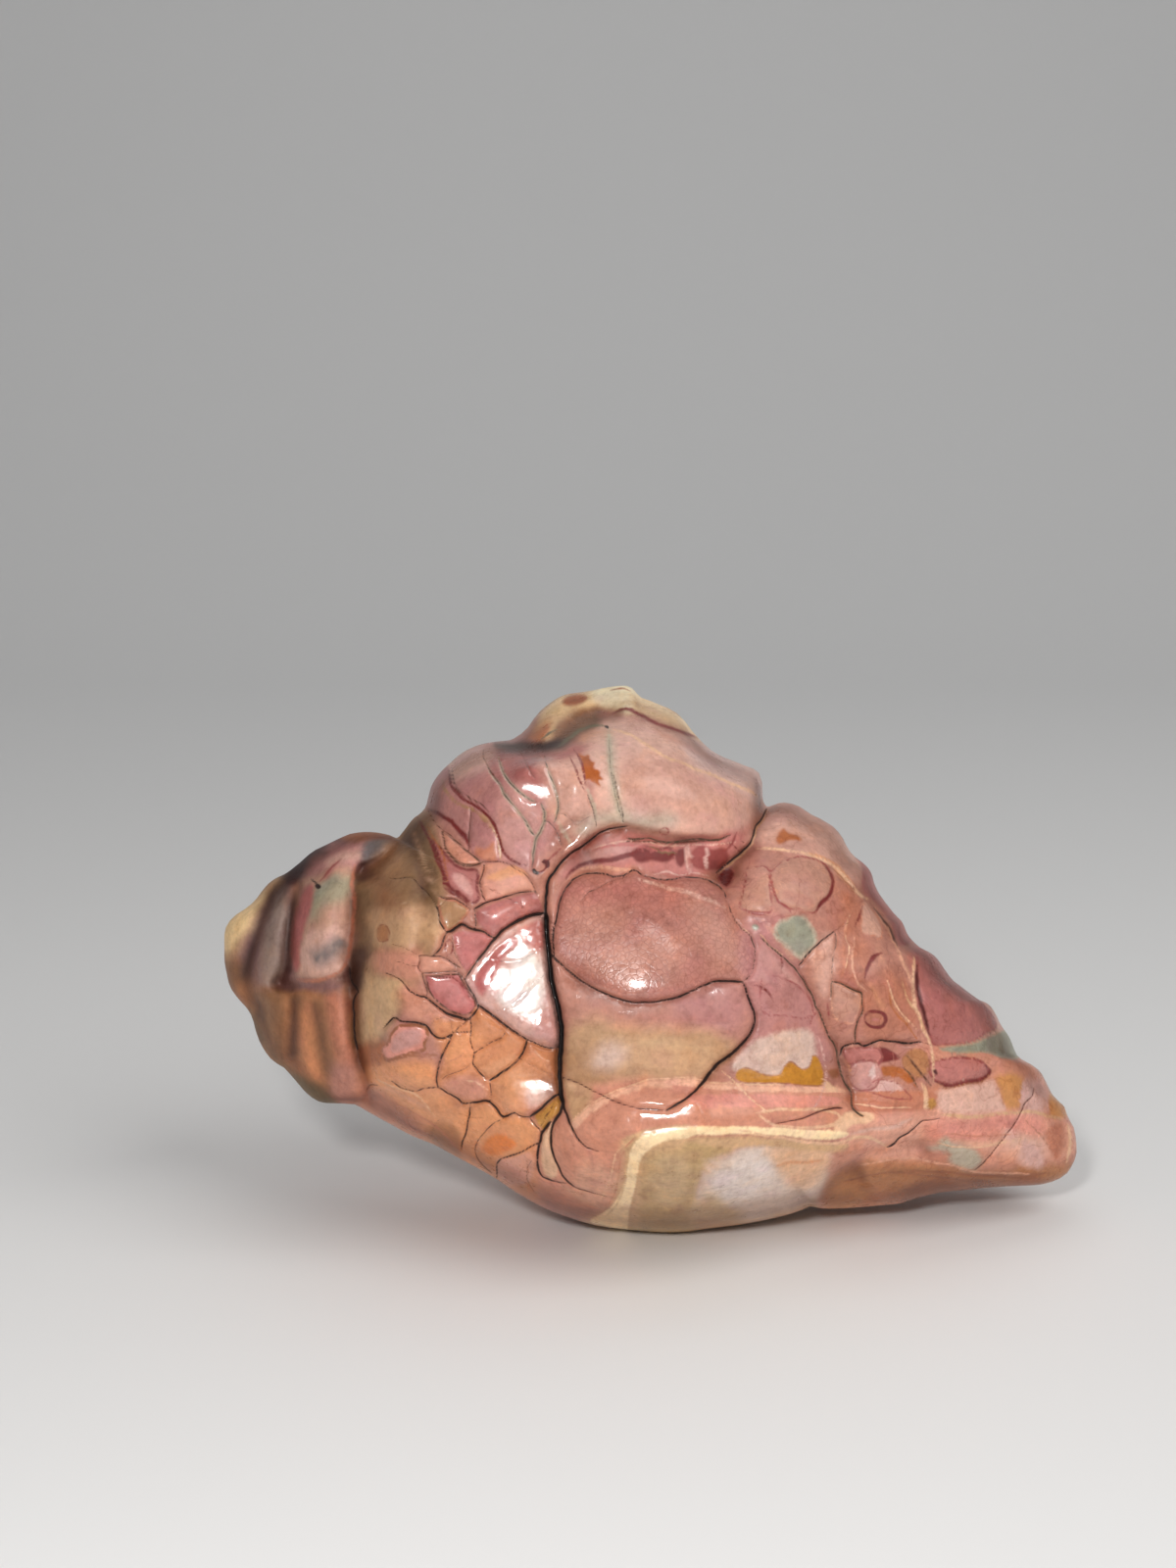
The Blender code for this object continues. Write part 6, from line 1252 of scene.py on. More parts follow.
# =====================================================================
# Layers of crisp paint
# =====================================================================
def mix_in(rgb, k, mask, colour):
    rgb[k] += (linear(colour) - rgb[k]) * mask[:, None]


def new_layer():
    return np.tile(linear("dusty"), (N, 1)), np.full(N, -9.0)


def put(layer, k, s, colour):
    """Lays a feature into a layer: colour of the strongest, later ones on top."""
    rgb, strength = layer
    s = np.clip(s, -9, 9)
    take = (s > strength[k]) | (s > 0)
    rgb[k[take]] = linear(colour)
    strength[k] = np.maximum(strength[k], s)


emboss = np.zeros(N)      # mm that the plates and inclusions stand proud
RAISED = {"inc": 0.09, "inc_l": 0.08, "green": -0.07, "rose": 0.08, "rose_l": 0.07, "rose_m": 0.05, "greyw": 0.05,
          "golden": 0.05, "cream": 0.07, "burnt": -0.06, "wine": -0.10, "wine_l": -0.08, "salmon": 0.03, "orange": 0.05,
          "olive_t": -0.04, "mauve": 0.06, "mauve_l": 0.06, "cream_p": 0.05, "dusty": -0.03, "tan": 0.05}
layers = {}
rims = []
for name, areas in (("A1", AREAS_1), ("A2", AREAS_2)):
    layer = new_layer()
    for colour, soft, pts, *rim in areas:
        if rim:
            rim_colour, wide, rim_soft = rim[0]
            rims.append((rim_colour, wide, rim_soft, pts + pts[:1]))
        k, s = area_distance(WX, WY, pts, 9 * soft + 4)
        if len(k):
            put(layer, k, s / soft, colour)
            lift = RAISED.get(colour, 0.03)
            emboss[k] += lift * (ramp(s, -1.6 - soft, 1.6 + soft) - 0.35 * np.exp(-(s / 1.6) ** 2))
    layers[name] = layer
for name, lines in (("N1", LINES_1), ("N2", rims + LINES_2)):
    layer = new_layer()
    for colour, w, soft, pts in lines:
        w0, w1 = widths(w)
        pts = smooth_line(pts, step=2.5)
        k = near(WX, WY, pts, 9 * soft + max(w0, w1))
        if len(k):
            d, _, along, _ = to_line(WX[k], WY[k], pts)
            total = np.hypot(*np.diff(pts, axis=0).T).sum()
            taper = 0.35 + 0.65 * ramp(np.minimum(along, 1 - along) * total, 0, 12) if total > 12 else 1.0
            w = (w0 + (w1 - w0) * along) * taper
            put(layer, k, (0.5 * w - d) / soft, colour)
            emboss[k] += (0.05 if colour.startswith(("cream", "salmon", "inc", "mauve")) else -0.05) * np.exp(-(d / (0.5 * w + 0.8)) ** 2)
    layers[name] = layer

# ---------------------------------------------------------------- relief
depth = surface_depth(X, Y, FRONT)
groove = np.zeros(N)
pillow_by = np.zeros(N)
crack_s = np.full(N, -9.0)
crack_rgb = np.tile(linear("dark"), (N, 1))
for (w0, w1), colour, pillow, pts in crack_lines:
    k = near(WX, WY, pts, 26)
    if not len(k):
        continue
    d, _, along, _ = to_line(WX[k], WY[k], pts)
    w = w0 + (w1 - w0) * along
    taper = ramp(np.minimum(along, 1 - along) * np.hypot(*np.diff(pts, axis=0).T).sum(), -6, 7)
    shape = np.exp(-((d / (0.5 * w + 0.45)) ** 2))
    deep = 0.03 + 0.05 * w + 0.022 * w * w
    groove[k] = np.maximum(groove[k], deep * taper * shape)
    pillow_by[k] = np.maximum(pillow_by[k], pillow * taper * np.exp(-d / 6.5))
    s = np.clip((0.42 * w * (0.5 + 0.5 * taper) - 0.15 - d) / 0.6, -9, 9)
    better = s > crack_s[k]
    crack_s[k[better]] = s[better]
    crack_rgb[k[better]] = linear(colour)
keep = 1 - PAST_RIM
groove, pillow_by = groove * keep, pillow_by * keep
crack_s = np.clip(crack_s - 14 * PAST_RIM, -9, 9)

# the back's own net
back = np.nonzero(~FRONT)[0]
wall, cell, open_ = back_net(X[back], Y[back])
inward = ramp(FULL[back], 0.30, 0.55)
strength = open_ * inward
deep = 0.34 * strength * np.exp(-((wall / 1.9) ** 2))
groove[back] = np.maximum(groove[back], deep)
pillow_by[back] = np.maximum(pillow_by[back], 0.17 * strength * np.exp(-wall / 7.0))
s = np.clip((0.95 * strength - wall) / 0.62, -9, 9)
better = s > crack_s[back]
crack_s[back[better]] = s[better]
crack_rgb[back[better]] = linear("dark")

# gentle unevenness everywhere
rugged = np.full(N, 0.30)
for amount, soft, pts in [
    (1.0, 22, [(790, 820), (860, 840), (940, 960), (1040, 1070), (1100, 1150), (1060, 1215), (880, 1215), (860, 1120), (790, 980)]),
    (0.7, 18, [(220, 850), (400, 840), (440, 830), (456, 950), (400, 1060), (380, 1150), (240, 1100), (210, 980)]),
    (0.12, 8, [(564, 940), (600, 886), (720, 896), (772, 965), (770, 1060), (700, 1140), (580, 1110)]),
    (0.22, 6, [(478, 1001), (506, 958), (553, 934), (560, 1006), (570, 1066), (530, 1056), (490, 1026)]),
    (0.10, 6, [(530, 784), (554, 776), (576, 788), (580, 816), (564, 834), (540, 830), (526, 808)]),
    (0.10, 4, [(564, 856), (576, 842), (592, 835), (602, 842), (592, 862), (574, 874)]),
    (0.06, 5, [(646, 1118), (716, 1118), (720, 1157), (648, 1160)]),
]:
    k, s = area_distance(X, Y, pts, soft * 2)
    rugged[k] += (amount - rugged[k]) * ramp(s / soft, -1, 1)
rugged = np.where(FRONT, rugged, rugged + (1.0 - rugged) * PAST_RIM)
ripple = rugged * (0.12 * flat_noise(X, Y, 44, 21, np.where(FRONT, 0, 5.0)) + 0.06 * flat_noise(X, Y, 19, 22, np.where(FRONT, 0, 5.0))
                   + 0.02 * flat_noise(X, Y, 9, 23, np.where(FRONT, 0, 5.0)))
swell = np.where(FRONT, 0.0, 0.55 * flat_noise(X, Y, 120, 25, 5.0) + 0.3 * flat_noise(X, Y, 60, 26, 5.0)) * ramp(FULL, 0.1, 0.6)
relief = -groove - pillow_by + emboss * keep + ripple * ramp(FULL, 0.0, 0.4) + swell
relief *= ramp(FULL, -0.02, 0.12)
depth = depth + np.where(FRONT, 1.0, -1.0) * relief
points = place(X, Y, depth)

# ---------------------------------------------------------------- settle
low, high = points.min(axis=0), points.max(axis=0)
node_low, node_high = [np.array(c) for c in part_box("agate")]
shift = np.array([(node_low[0] + node_high[0] - low[0] - high[0]) / 2,
                  (node_low[1] + node_high[1] - low[1] - high[1]) / 2,
                  -low[2] - GROUND_OFF * 0.001])
points = points + shift
eye = shift.copy()
ground = points[:, 2] < 0
points[:, 2] = np.maximum(points[:, 2], 0.0)
print("box mm", points.min(0) * 1000, points.max(0) * 1000, "solid", node_low * 1000, node_high * 1000)


# =====================================================================
# Paint: the broad soft colours
# =====================================================================
# slower wandering for the broad soft colours
SX = WX + 5.0 * flat_noise(X, Y, 34, 5) + 2.2 * flat_noise(X, Y, 13, 6)
SY = WY + 5.0 * flat_noise(X, Y, 34, 7) + 2.2 * flat_noise(X, Y, 13, 8)
ground_rgb = np.tile(linear("dusty"), (N, 1))
for colour, soft, pts in GROUND:
    k, s = area_distance(SX, SY, pts, soft * 1.6 + 4, max(4.0, 1.3 * soft))
    if len(k):
        mix_in(ground_rgb, k, ramp(s / soft, -1, 1), colour)

for colour, wide, soft, amount, pts in STROKES:
    pts = smooth_line(pts, step=3)
    k = near(WX, WY, pts, wide + 2 * soft)
    if len(k):
        d, _, along, _ = to_line(WX[k], WY[k], pts)
        ends = ramp(np.minimum(along, 1 - along), 0.0, 0.16)
        mask = amount * ends * ramp((0.5 * wide * (0.4 + 0.6 * ends) - d) / soft, -1, 1)
        mix_in(ground_rgb, k, mask, colour)

layers["CR"] = (crack_rgb, crack_s)

# ---------------------------------------------------------------- the back
# Soft clouds of colour: colour, centre x, y, reach x, y, turn, strength.
BACK_CLOUDS = [
    ("rose_m", 520, 830, 120, 70, -30, 1.0), ("mauve", 470, 800, 50, 40, -30, 0.8),
    ("pinktan", 700, 800, 120, 60, 25, 1.0), ("cream_p", 640, 730, 90, 22, 5, 0.9),
    ("tan_b", 410, 940, 70, 110, 10, 1.0), ("tan_l", 400, 1010, 40, 50, 0, 0.8),
    ("mauve_d", 320, 930, 60, 90, 20, 0.9), ("brick", 300, 1050, 60, 60, 30, 0.7),
    ("belly", 600, 960, 110, 90, 10, 1.0), ("rose", 720, 900, 80, 60, -20, 0.9),
    ("orange", 500, 1090, 90, 60, 25, 0.9), ("salmon_l", 560, 1180, 110, 50, 10, 0.9),
    ("olive_t", 690, 1080, 100, 60, -5, 0.9), ("tan_l", 640, 1050, 60, 30, 10, 0.6),
    ("greyw", 760, 1180, 90, 50, 0, 0.85), ("cream_p", 700, 1150, 140, 16, -6, 0.8),
    ("rose_l", 800, 1010, 90, 80, 20, 0.8), ("salmon_d", 900, 1100, 90, 60, 10, 0.9),
    ("rose_m", 860, 900, 50, 70, -35, 0.9), ("mauve", 960, 1040, 60, 60, 35, 0.8),
    ("orange_d", 930, 1200, 110, 26, -3, 0.9), ("brick", 1050, 1160, 60, 50, 0, 0.8),
    ("salmon", 1000, 1120, 60, 30, 10, 0.8), ("green", 960, 1075, 60, 12, -20, 0.7),
    ("green", 610, 790, 14, 60, 20, 0.5), ("golden_l", 850, 1060, 30, 16, 15, 0.8),
]
bx = X[back] + 26 * flat_noise(X[back], Y[back], 90, 31, 9.0) + 9 * flat_noise(X[back], Y[back], 30, 32, 9.0)
by = Y[back] + 26 * flat_noise(X[back], Y[back], 90, 33, 9.0) + 9 * flat_noise(X[back], Y[back], 30, 34, 9.0)
back_rgb = np.tile(linear("dusty"), (len(back), 1))
for colour, cx, cy, rx, ry, turn, amount in BACK_CLOUDS:
    g = ramp(gaussian(bx, by, (cx, cy, rx, ry, 0, turn)), 0.25, 0.65) * amount
    back_rgb += (linear(colour) - back_rgb) * g[:, None]
# every cell of the net leans a little its own way
lean = lattice(cell, cell * 0, cell * 0, 71)
tint = lattice(cell, cell * 0 + 5, cell * 0, 72)
both = strength * 0.5
back_rgb += (linear("rose_m") - back_rgb) * (both * np.clip(lean, 0, 1) * 0.8)[:, None]
back_rgb += (linear("salmon_l") - back_rgb) * (both * np.clip(-lean, 0, 1) * 0.8)[:, None]
back_rgb *= (1 + 0.16 * tint * strength)[:, None]
mixed = ramp(FULL[back], 0.20, 0.50)
ground_rgb[back] += (back_rgb - ground_rgb[back]) * mixed[:, None]
for name in ("A1", "A2", "N1", "N2"):
    rgb, s = layers[name]
    s[back] = np.maximum(s[back] - 14 * ramp(FULL[back], 0.12, 0.6), -9)
# healed veins on the back: thin bands that follow the contours of slow noise
for name, colour, seed, size, wide, soft, gate in (
        ("N1", "cream_p", 81, 150, 2.2, 1.6, 0.0), ("N1", "salmon_l", 84, 110, 2.6, 2.0, 0.1),
        ("N2", "wine", 87, 130, 1.6, 1.0, 0.12), ("N2", "wine_l", 90, 95, 1.4, 1.2, 0.15),
        ("N2", "green_d", 93, 160, 1.4, 1.2, 0.25)):
    v = flat_noise(X[back], Y[back], size, seed, 11.0) + 0.3 * flat_noise(X[back], Y[back], size * 0.3, seed + 1, 11.0)
    e = 1.0
    vx = flat_noise(X[back] + e, Y[back], size, seed, 11.0) + 0.3 * flat_noise(X[back] + e, Y[back], size * 0.3, seed + 1, 11.0)
    vy = flat_noise(X[back], Y[back] + e, size, seed, 11.0) + 0.3 * flat_noise(X[back], Y[back] + e, size * 0.3, seed + 1, 11.0)
    d = np.abs(v) / (np.hypot(vx - v, vy - v) + 1e-4)
    on = ramp(flat_noise(X[back], Y[back], 140, seed + 2, 11.0), gate - 0.15, gate + 0.15) * ramp(FULL[back], 0.2, 0.45)
    s = np.clip((0.5 * wide * on - d) / soft - 3 * (1 - on), -9, 9)
    rgb, old = layers[name]
    take = s > old[back]
    rgb[back[take]] = linear(colour)
    old[back] = np.maximum(old[back], s)

# how much fleck and mottle, how much fine net, extra roughness
mottle = np.full(N, 0.45)
net = np.zeros(N)
rough = np.zeros(N)
BELLY = [(566, 975), (567, 930), (584, 900), (610, 892), (700, 897), (740, 914), (769, 965), (766, 995), (730, 1001), (660, 1022), (600, 1004)]
for amount, craquelure, dull, soft, pts in [
    (1.0, 1.0, 0.05, 6, BELLY),
    (1.0, 0.6, 0.02, 4, [(796, 880), (814, 875), (836, 879), (850, 899), (845, 914), (832, 931), (804, 927), (790, 907)]),
    (1.0, 0.5, 0.02, 4, [(763, 885), (783, 885), (787, 928), (765, 930), (756, 917)]),
    (0.8, 0.0, 0.03, 12, [(757, 940), (850, 850), (930, 960), (950, 1110), (870, 1120), (812, 980)]),
    (0.45, 0.0, 0.24, 7, [(564, 1012), (600, 1018), (640, 1030), (700, 1024), (760, 1010), (772, 1050), (760, 1100), (715, 1108), (600, 1118), (574, 1090)]),
    (1.0, 0.2, 0.04, 4, [(747, 1089), (769, 1063), (799, 1053), (825, 1052), (832, 1069), (829, 1088), (795, 1100)]),
    (0.25, 0.0, 0.0, 10, [(600, 740), (690, 735), (785, 790), (780, 840), (700, 850), (620, 835)]),
    (0.3, 0.0, 0.0, 10, [(646, 1192), (681, 1166), (760, 1166), (850, 1176), (830, 1234), (709, 1262), (634, 1262)]),
    (0.2, 0.0, 0.16, 12, [(370, 880), (440, 830), (456, 950), (400, 1040), (362, 1060)]),
    (0.3, 0.0, 0.20, 12, [(215, 840), (404, 840), (404, 856), (372, 882), (364, 1010), (372, 1100), (350, 1140), (240, 1100), (200, 980)]),
    (0.8, 0.0, 0.0, 6, [(475, 1000), (506, 958), (556, 933), (572, 1067), (500, 1033)]),
    (0.5, 0.0, 0.18, 5, [(572, 898), (600, 868), (640, 854), (760, 852), (745, 886), (650, 887), (600, 888)]),
    (0.3, 0.0, 0.16, 4, [(445, 866), (466, 884), (487, 892), (487, 920), (466, 912), (452, 890)]),
    (0.3, 0.0, 0.16, 5, [(486, 880), (530, 880), (550, 896), (546, 912), (490, 922)]),
]:
    k, s = area_distance(WX, WY, pts, soft * 2 + 4)
    if len(k):
        m = ramp(s / soft, -1, 1)
        mottle[k] += (amount - mottle[k]) * m
        net[k] += (craquelure - net[k]) * m
        rough[k] += (dull - rough[k]) * m
mottle[back] += (0.6 - mottle[back]) * mixed
net[back] *= 1 - mixed
rough[back] += 0.03 * mixed
rough += 0.25 * ground
rough += 0.12 * np.clip(groove / 0.8, 0, 1)

# Gloss, streaks along and across, and how thick the fine veins run:
# gloss, streaks along X, streaks along Z, veins, softness, outline.
sheen = np.tile([0.30, 0.0, 0.0, 0.25], (N, 1))
for g, sx, sz, veins, soft, pts in [
    (0.12, 0.0, 0.35, 0.1, 12, [(215, 840), (404, 840), (404, 856), (372, 882), (364, 1010), (372, 1100), (350, 1140), (240, 1100), (200, 980)]),
    (0.08, 0.0, 0.30, 0.1, 12, [(370, 880), (440, 830), (456, 950), (400, 1040), (362, 1060)]),
    (0.30, 0.2, 0.0, 0.5, 12, [(370, 1080), (450, 1080), (480, 1190), (400, 1150)]),
    (0.26, 0.0, 0.0, 0.3, 12, [(600, 735), (690, 728), (790, 785), (786, 835), (700, 852), (620, 840)]),
    (0.22, 0.3, 0.0, 1.0, 12, [(786, 820), (850, 842), (890, 900), (960, 975), (1100, 1140), (1100, 1200), (900, 1235), (830, 1240), (860, 1120), (812, 980), (757, 940), (745, 905)]),
    (0.24, 0.0, 0.0, 0.0, 5, BELLY),
    (0.16, 0.35, 0.0, 0.1, 8, [(566, 1030), (640, 1040), (770, 1040), (860, 1100), (870, 1165), (700, 1165), (600, 1190), (560, 1120)]),
    (0.16, 0.2, 0.45, 0.2, 8, [(560, 1150), (620, 1170), (860, 1170), (830, 1240), (640, 1262), (540, 1230)]),
    (0.55, 0.0, 0.0, 0.1, 7, [(445, 862), (490, 820), (548, 890), (572, 1060), (574, 1125), (500, 1175), (440, 1110), (428, 980)]),
    (0.20, 0.0, 0.0, 0.1, 6, [(436, 850), (470, 815), (505, 825), (560, 880), (556, 905), (540, 910), (520, 926), (484, 930), (455, 905)]),
    (0.32, 0.0, 0.0, 0.0, 5, [(446, 950), (470, 944), (500, 955), (480, 985), (450, 980)]),
    (0.18, 0.0, 0.0, 0.0, 6, [(572, 900), (600, 866), (640, 852), (760, 850), (745, 886), (650, 888), (600, 890)]),
    (0.76, 0.0, 0.0, 0.0, 5, [(475, 1000), (506, 958), (556, 933), (572, 1067), (520, 1048)]),
    (1.00, 0.0, 0.0, 0.0, 7, [(534, 784), (566, 776), (574, 806), (556, 832), (534, 824)]),
    (0.95, 0.0, 0.0, 0.0, 6, [(568, 850), (590, 838), (598, 852), (582, 868)]),
    (0.90, 0.0, 0.0, 0.0, 9, [(616, 985), (660, 985), (672, 1012), (640, 1018), (614, 1008)]),
    (0.95, 0.0, 0.0, 0.0, 7, [(655, 1128), (712, 1128), (714, 1148), (656, 1152)]),
    (0.66, 0.0, 0.0, 0.0, 6, [(520, 1106), (542, 1096), (562, 1104), (564, 1114), (546, 1130), (524, 1130)]),
]:
    k, s = area_distance(WX, WY, pts, soft * 2 + 4)
    if len(k):
        m = ramp(s / soft, -1, 1)[:, None]
        sheen[k] += (np.array([g, sx, sz, veins]) - sheen[k]) * m
sheen[back] += (np.array([0.35, 0.2, 0.1, 0.6]) - sheen[back]) * mixed[:, None]

# Painted shade: furrows, hollows and the edges of the cracks are darkened brown,
# by how far each point lies below its surroundings, near and wide.
grid_x, grid_y = np.meshgrid(MAP_X + 2 * MAP_STEP * np.arange(MAP_W // 2), MAP_Y + 2 * MAP_STEP * np.arange(MAP_H // 2))
shape_map = surface_depth(grid_x.ravel(), grid_y.ravel(), np.ones(grid_x.size, bool)).reshape(grid_x.shape)
within = (fullness(grid_x, grid_y) > 0.05).astype(float)


def blurred(field, weight, reach):
    taps = np.exp(-(np.arange(-3 * reach, 3 * reach + 1) / reach) ** 2 / 2)
    parts = []
    for a in (field * weight, weight):
        a = np.apply_along_axis(lambda row: np.convolve(row, taps, "same"), 0, a)
        parts.append(np.apply_along_axis(lambda row: np.convolve(row, taps, "same"), 1, a))
    return parts[0] / np.maximum(parts[1], 1e-6)


def look_up_coarse(field, x, y):
    u = np.clip((x - MAP_X) / (2 * MAP_STEP), 0, field.shape[1] - 1.001)
    v = np.clip((y - MAP_Y) / (2 * MAP_STEP), 0, field.shape[0] - 1.001)
    i, j = u.astype(int), v.astype(int)
    u, v = u - i, v - j
    return ((field[j, i] * (1 - u) + field[j, i + 1] * u) * (1 - v)
            + (field[j + 1, i] * (1 - u) + field[j + 1, i + 1] * u) * v)


hollow_shade_map = (ramp(blurred(shape_map, within, 2) - shape_map, 0.03, 0.40) * 0.45
          + ramp(blurred(shape_map, within, 5) - shape_map, 0.08, 0.90) * 0.65) * within
cavity_shade = look_up_coarse(hollow_shade_map, X, Y) * np.where(FRONT, 1.0, 0.0) * ramp(FULL, 0.10, 0.35)
cavity_shade = np.maximum(cavity_shade, 0.35 * np.clip(groove / 0.5, 0, 1))
cavity_shade = np.clip(cavity_shade, 0, 1)

# =====================================================================
# The stone's object
# =====================================================================
mesh = bpy.data.meshes.new("agate_stone")
mesh.vertices.add(N)
mesh.vertices.foreach_set("co", points.astype(np.float32).ravel())
mesh.loops.add(len(faces) * 3)
mesh.loops.foreach_set("vertex_index", faces.astype(np.int32).ravel())
mesh.polygons.add(len(faces))
mesh.polygons.foreach_set("loop_start", np.arange(0, len(faces) * 3, 3, dtype=np.int32))
mesh.update(calc_edges=True)
mesh.validate()
bm = bmesh.new()
bm.from_mesh(mesh)
bmesh.ops.recalc_face_normals(bm, faces=bm.faces[:])
print("open edges", sum(not e.is_manifold for e in bm.edges), "volume cm3", round(bm.calc_volume() * 1e6, 2))
bm.to_mesh(mesh)
bm.free()
mesh.shade_smooth()


def attribute(name, rgb, alpha):
    data = np.concatenate([rgb, alpha[:, None]], axis=1).astype(np.float32)
    mesh.color_attributes.new(name, "FLOAT_COLOR", "POINT").data.foreach_set("color", data.ravel())


attribute("L0", ground_rgb, np.ones(N))
for name, (rgb, s) in layers.items():
    attribute(name, rgb, np.clip(0.5 + s / 18.0, 0, 1))
# the alpha of MT carries the painted shade of the hollows
attribute("MT", np.stack([mottle, net, rough], axis=1), cavity_shade)
attribute("GL", sheen[:, :3], sheen[:, 3])

stone = bpy.data.objects.new("agate_stone", mesh)
bpy.context.scene.collection.objects.link(stone)


# =====================================================================
# Material
# =====================================================================
class Nodes:
    """Short names for building a node tree."""

    def __init__(self, tree):
        self.tree = tree
        self.column = 0

    def add(self, kind, **values):
        node = self.tree.nodes.new(kind)
        self.column += 1
        node.location = (-1800 + 180 * (self.column % 14), 900 - 160 * (self.column // 14))
        for key, value in values.items():
            setattr(node, key, value)
        return node

    def wire(self, value, socket):
        if isinstance(value, bpy.types.NodeSocket):
            self.tree.links.new(value, socket)
        else:
            socket.default_value = value

    def math(self, operation, a, b=0.0, c=None, clamp=False):
        node = self.add("ShaderNodeMath", operation=operation, use_clamp=clamp)
        self.wire(a, node.inputs[0])
        self.wire(b, node.inputs[1])
        if c is not None:
            self.wire(c, node.inputs[2])
        return node.outputs[0]

    def ramp(self, value, low, high, to_low=0.0, to_high=1.0):
        node = self.add("ShaderNodeMapRange", interpolation_type="SMOOTHSTEP")
        for name, v in (("Value", value), ("From Min", low), ("From Max", high), ("To Min", to_low), ("To Max", to_high)):
            self.wire(v, node.inputs[name])
        return node.outputs["Result"]

    def mix(self, factor, a, b, blend="MIX"):
        node = self.add("ShaderNodeMix", data_type="RGBA", blend_type=blend, clamp_factor=True)
        self.wire(factor, node.inputs[0])
        for value, socket in ((a, node.inputs[6]), (b, node.inputs[7])):
            if isinstance(value, bpy.types.NodeSocket):
                self.tree.links.new(value, socket)
            else:
                socket.default_value = (*value, 1.0)
        return node.outputs[2]

    def noise(self, coords, scale, detail=2.0, roughness=0.5, kind="FBM", warp=0.0):
        node = self.add("ShaderNodeTexNoise", noise_dimensions="3D", noise_type=kind)
        self.tree.links.new(coords, node.inputs["Vector"])
        node.inputs["Scale"].default_value = scale
        node.inputs["Detail"].default_value = detail
        node.inputs["Roughness"].default_value = roughness
        node.inputs["Distortion"].default_value = warp
        return node.outputs[0]

    def voronoi(self, coords, scale, feature="F1", randomness=1.0):
        node = self.add("ShaderNodeTexVoronoi", feature=feature)
        self.tree.links.new(coords, node.inputs["Vector"])
        node.inputs["Scale"].default_value = scale
        node.inputs["Randomness"].default_value = randomness
        return node.outputs[0]

    def attribute(self, name):
        return self.add("ShaderNodeAttribute", attribute_type="GEOMETRY", attribute_name=name)


material = bpy.data.materials.new("agate_polished")
material.use_nodes = True
tree = material.node_tree
tree.nodes.clear()
n = Nodes(tree)
coords = n.add("ShaderNodeTexCoord").outputs["Object"]

amounts = n.add("ShaderNodeSeparateColor")
texture_amounts = n.attribute("MT")
tree.links.new(texture_amounts.outputs["Color"], amounts.inputs[0])
hollow_shade_amount = texture_amounts.outputs["Alpha"]
finish = n.attribute("GL")
finish_parts = n.add("ShaderNodeSeparateColor")
tree.links.new(finish.outputs["Color"], finish_parts.inputs[0])
gloss_amount, along_amount, across_amount = finish_parts.outputs[0], finish_parts.outputs[1], finish_parts.outputs[2]
vein_amount = finish.outputs["Alpha"]
mottle_amount, net_amount, dull_amount = amounts.outputs[0], amounts.outputs[1], amounts.outputs[2]

# slow clouding of the ground, then mottle and flecks
cloud = n.noise(coords, 260, 4.0, 0.6)
speckle = n.noise(coords, 1500, 4.0, 0.65)
grain = n.noise(coords, 4200, 2.0, 0.6)
colour = n.attribute("L0").outputs["Color"]


def masked(colour, name, rag, noise_value):
    attr = n.attribute(name)
    s = n.math("MULTIPLY", n.math("SUBTRACT", attr.outputs["Alpha"], 0.5), 18.0)
    s = n.math("ADD", s, n.math("MULTIPLY", n.math("SUBTRACT", noise_value, 0.5), rag))
    mask = n.ramp(s, -1.0, 1.0)
    return n.mix(mask, colour, attr.outputs["Color"]), mask


fine = n.noise(coords, 2600, 2.0, 0.5)
colour, _ = masked(colour, "A1", 1.2, fine)
colour, _ = masked(colour, "A2", 1.1, fine)
colour, _ = masked(colour, "N1", 1.5, fine)
colour, _ = masked(colour, "N2", 1.5, fine)

# clouding: a little darker and redder, a little lighter and yellower
def tint(colour, amount, by):
    return n.mix(amount, colour, n.mix(1.0, colour, by, "MULTIPLY"))


def stretched(scale):
    node = n.add("ShaderNodeMapping")
    tree.links.new(coords, node.inputs["Vector"])
    node.inputs["Scale"].default_value = scale
    return node.outputs[0]


colour = tint(colour, n.ramp(cloud, 0.50, 0.74), (1.10, 1.08, 1.04))
colour = tint(colour, n.ramp(cloud, 0.50, 0.28), (0.88, 0.85, 0.83))
tone = n.noise(coords, 820, 5.0, 0.62)
colour = tint(colour, n.ramp(tone, 0.50, 0.72), (1.13, 1.13, 1.12))
colour = tint(colour, n.ramp(tone, 0.50, 0.30), (0.84, 0.81, 0.80))
hue = n.noise(coords, 420, 3.0, 0.55)
colour = tint(colour, n.ramp(hue, 0.52, 0.70), (1.03, 0.97, 0.90))
colour = tint(colour, n.ramp(hue, 0.48, 0.30), (1.00, 0.96, 1.02))
colour = tint(colour, n.ramp(fine, 0.50, 0.76), (1.10, 1.09, 1.08))
colour = tint(colour, n.ramp(fine, 0.50, 0.26), (0.90, 0.87, 0.86))
# streaks along the fold and the foot, and down the lobe and the shoulder
along = n.noise(stretched((0.16, 0.3, 1.0)), 1500, 4.0, 0.6, warp=0.8)
colour = tint(colour, n.math("MULTIPLY", n.ramp(along, 0.50, 0.68), along_amount), (1.12, 1.12, 1.10))
colour = tint(colour, n.math("MULTIPLY", n.ramp(along, 0.50, 0.34), along_amount), (0.84, 0.80, 0.78))
across = n.noise(stretched((1.0, 0.3, 0.18)), 1500, 4.0, 0.6, warp=0.8)
colour = tint(colour, n.math("MULTIPLY", n.ramp(across, 0.50, 0.68), across_amount), (1.13, 1.12, 1.10))
colour = tint(colour, n.math("MULTIPLY", n.ramp(across, 0.50, 0.34), across_amount), (0.82, 0.78, 0.75))
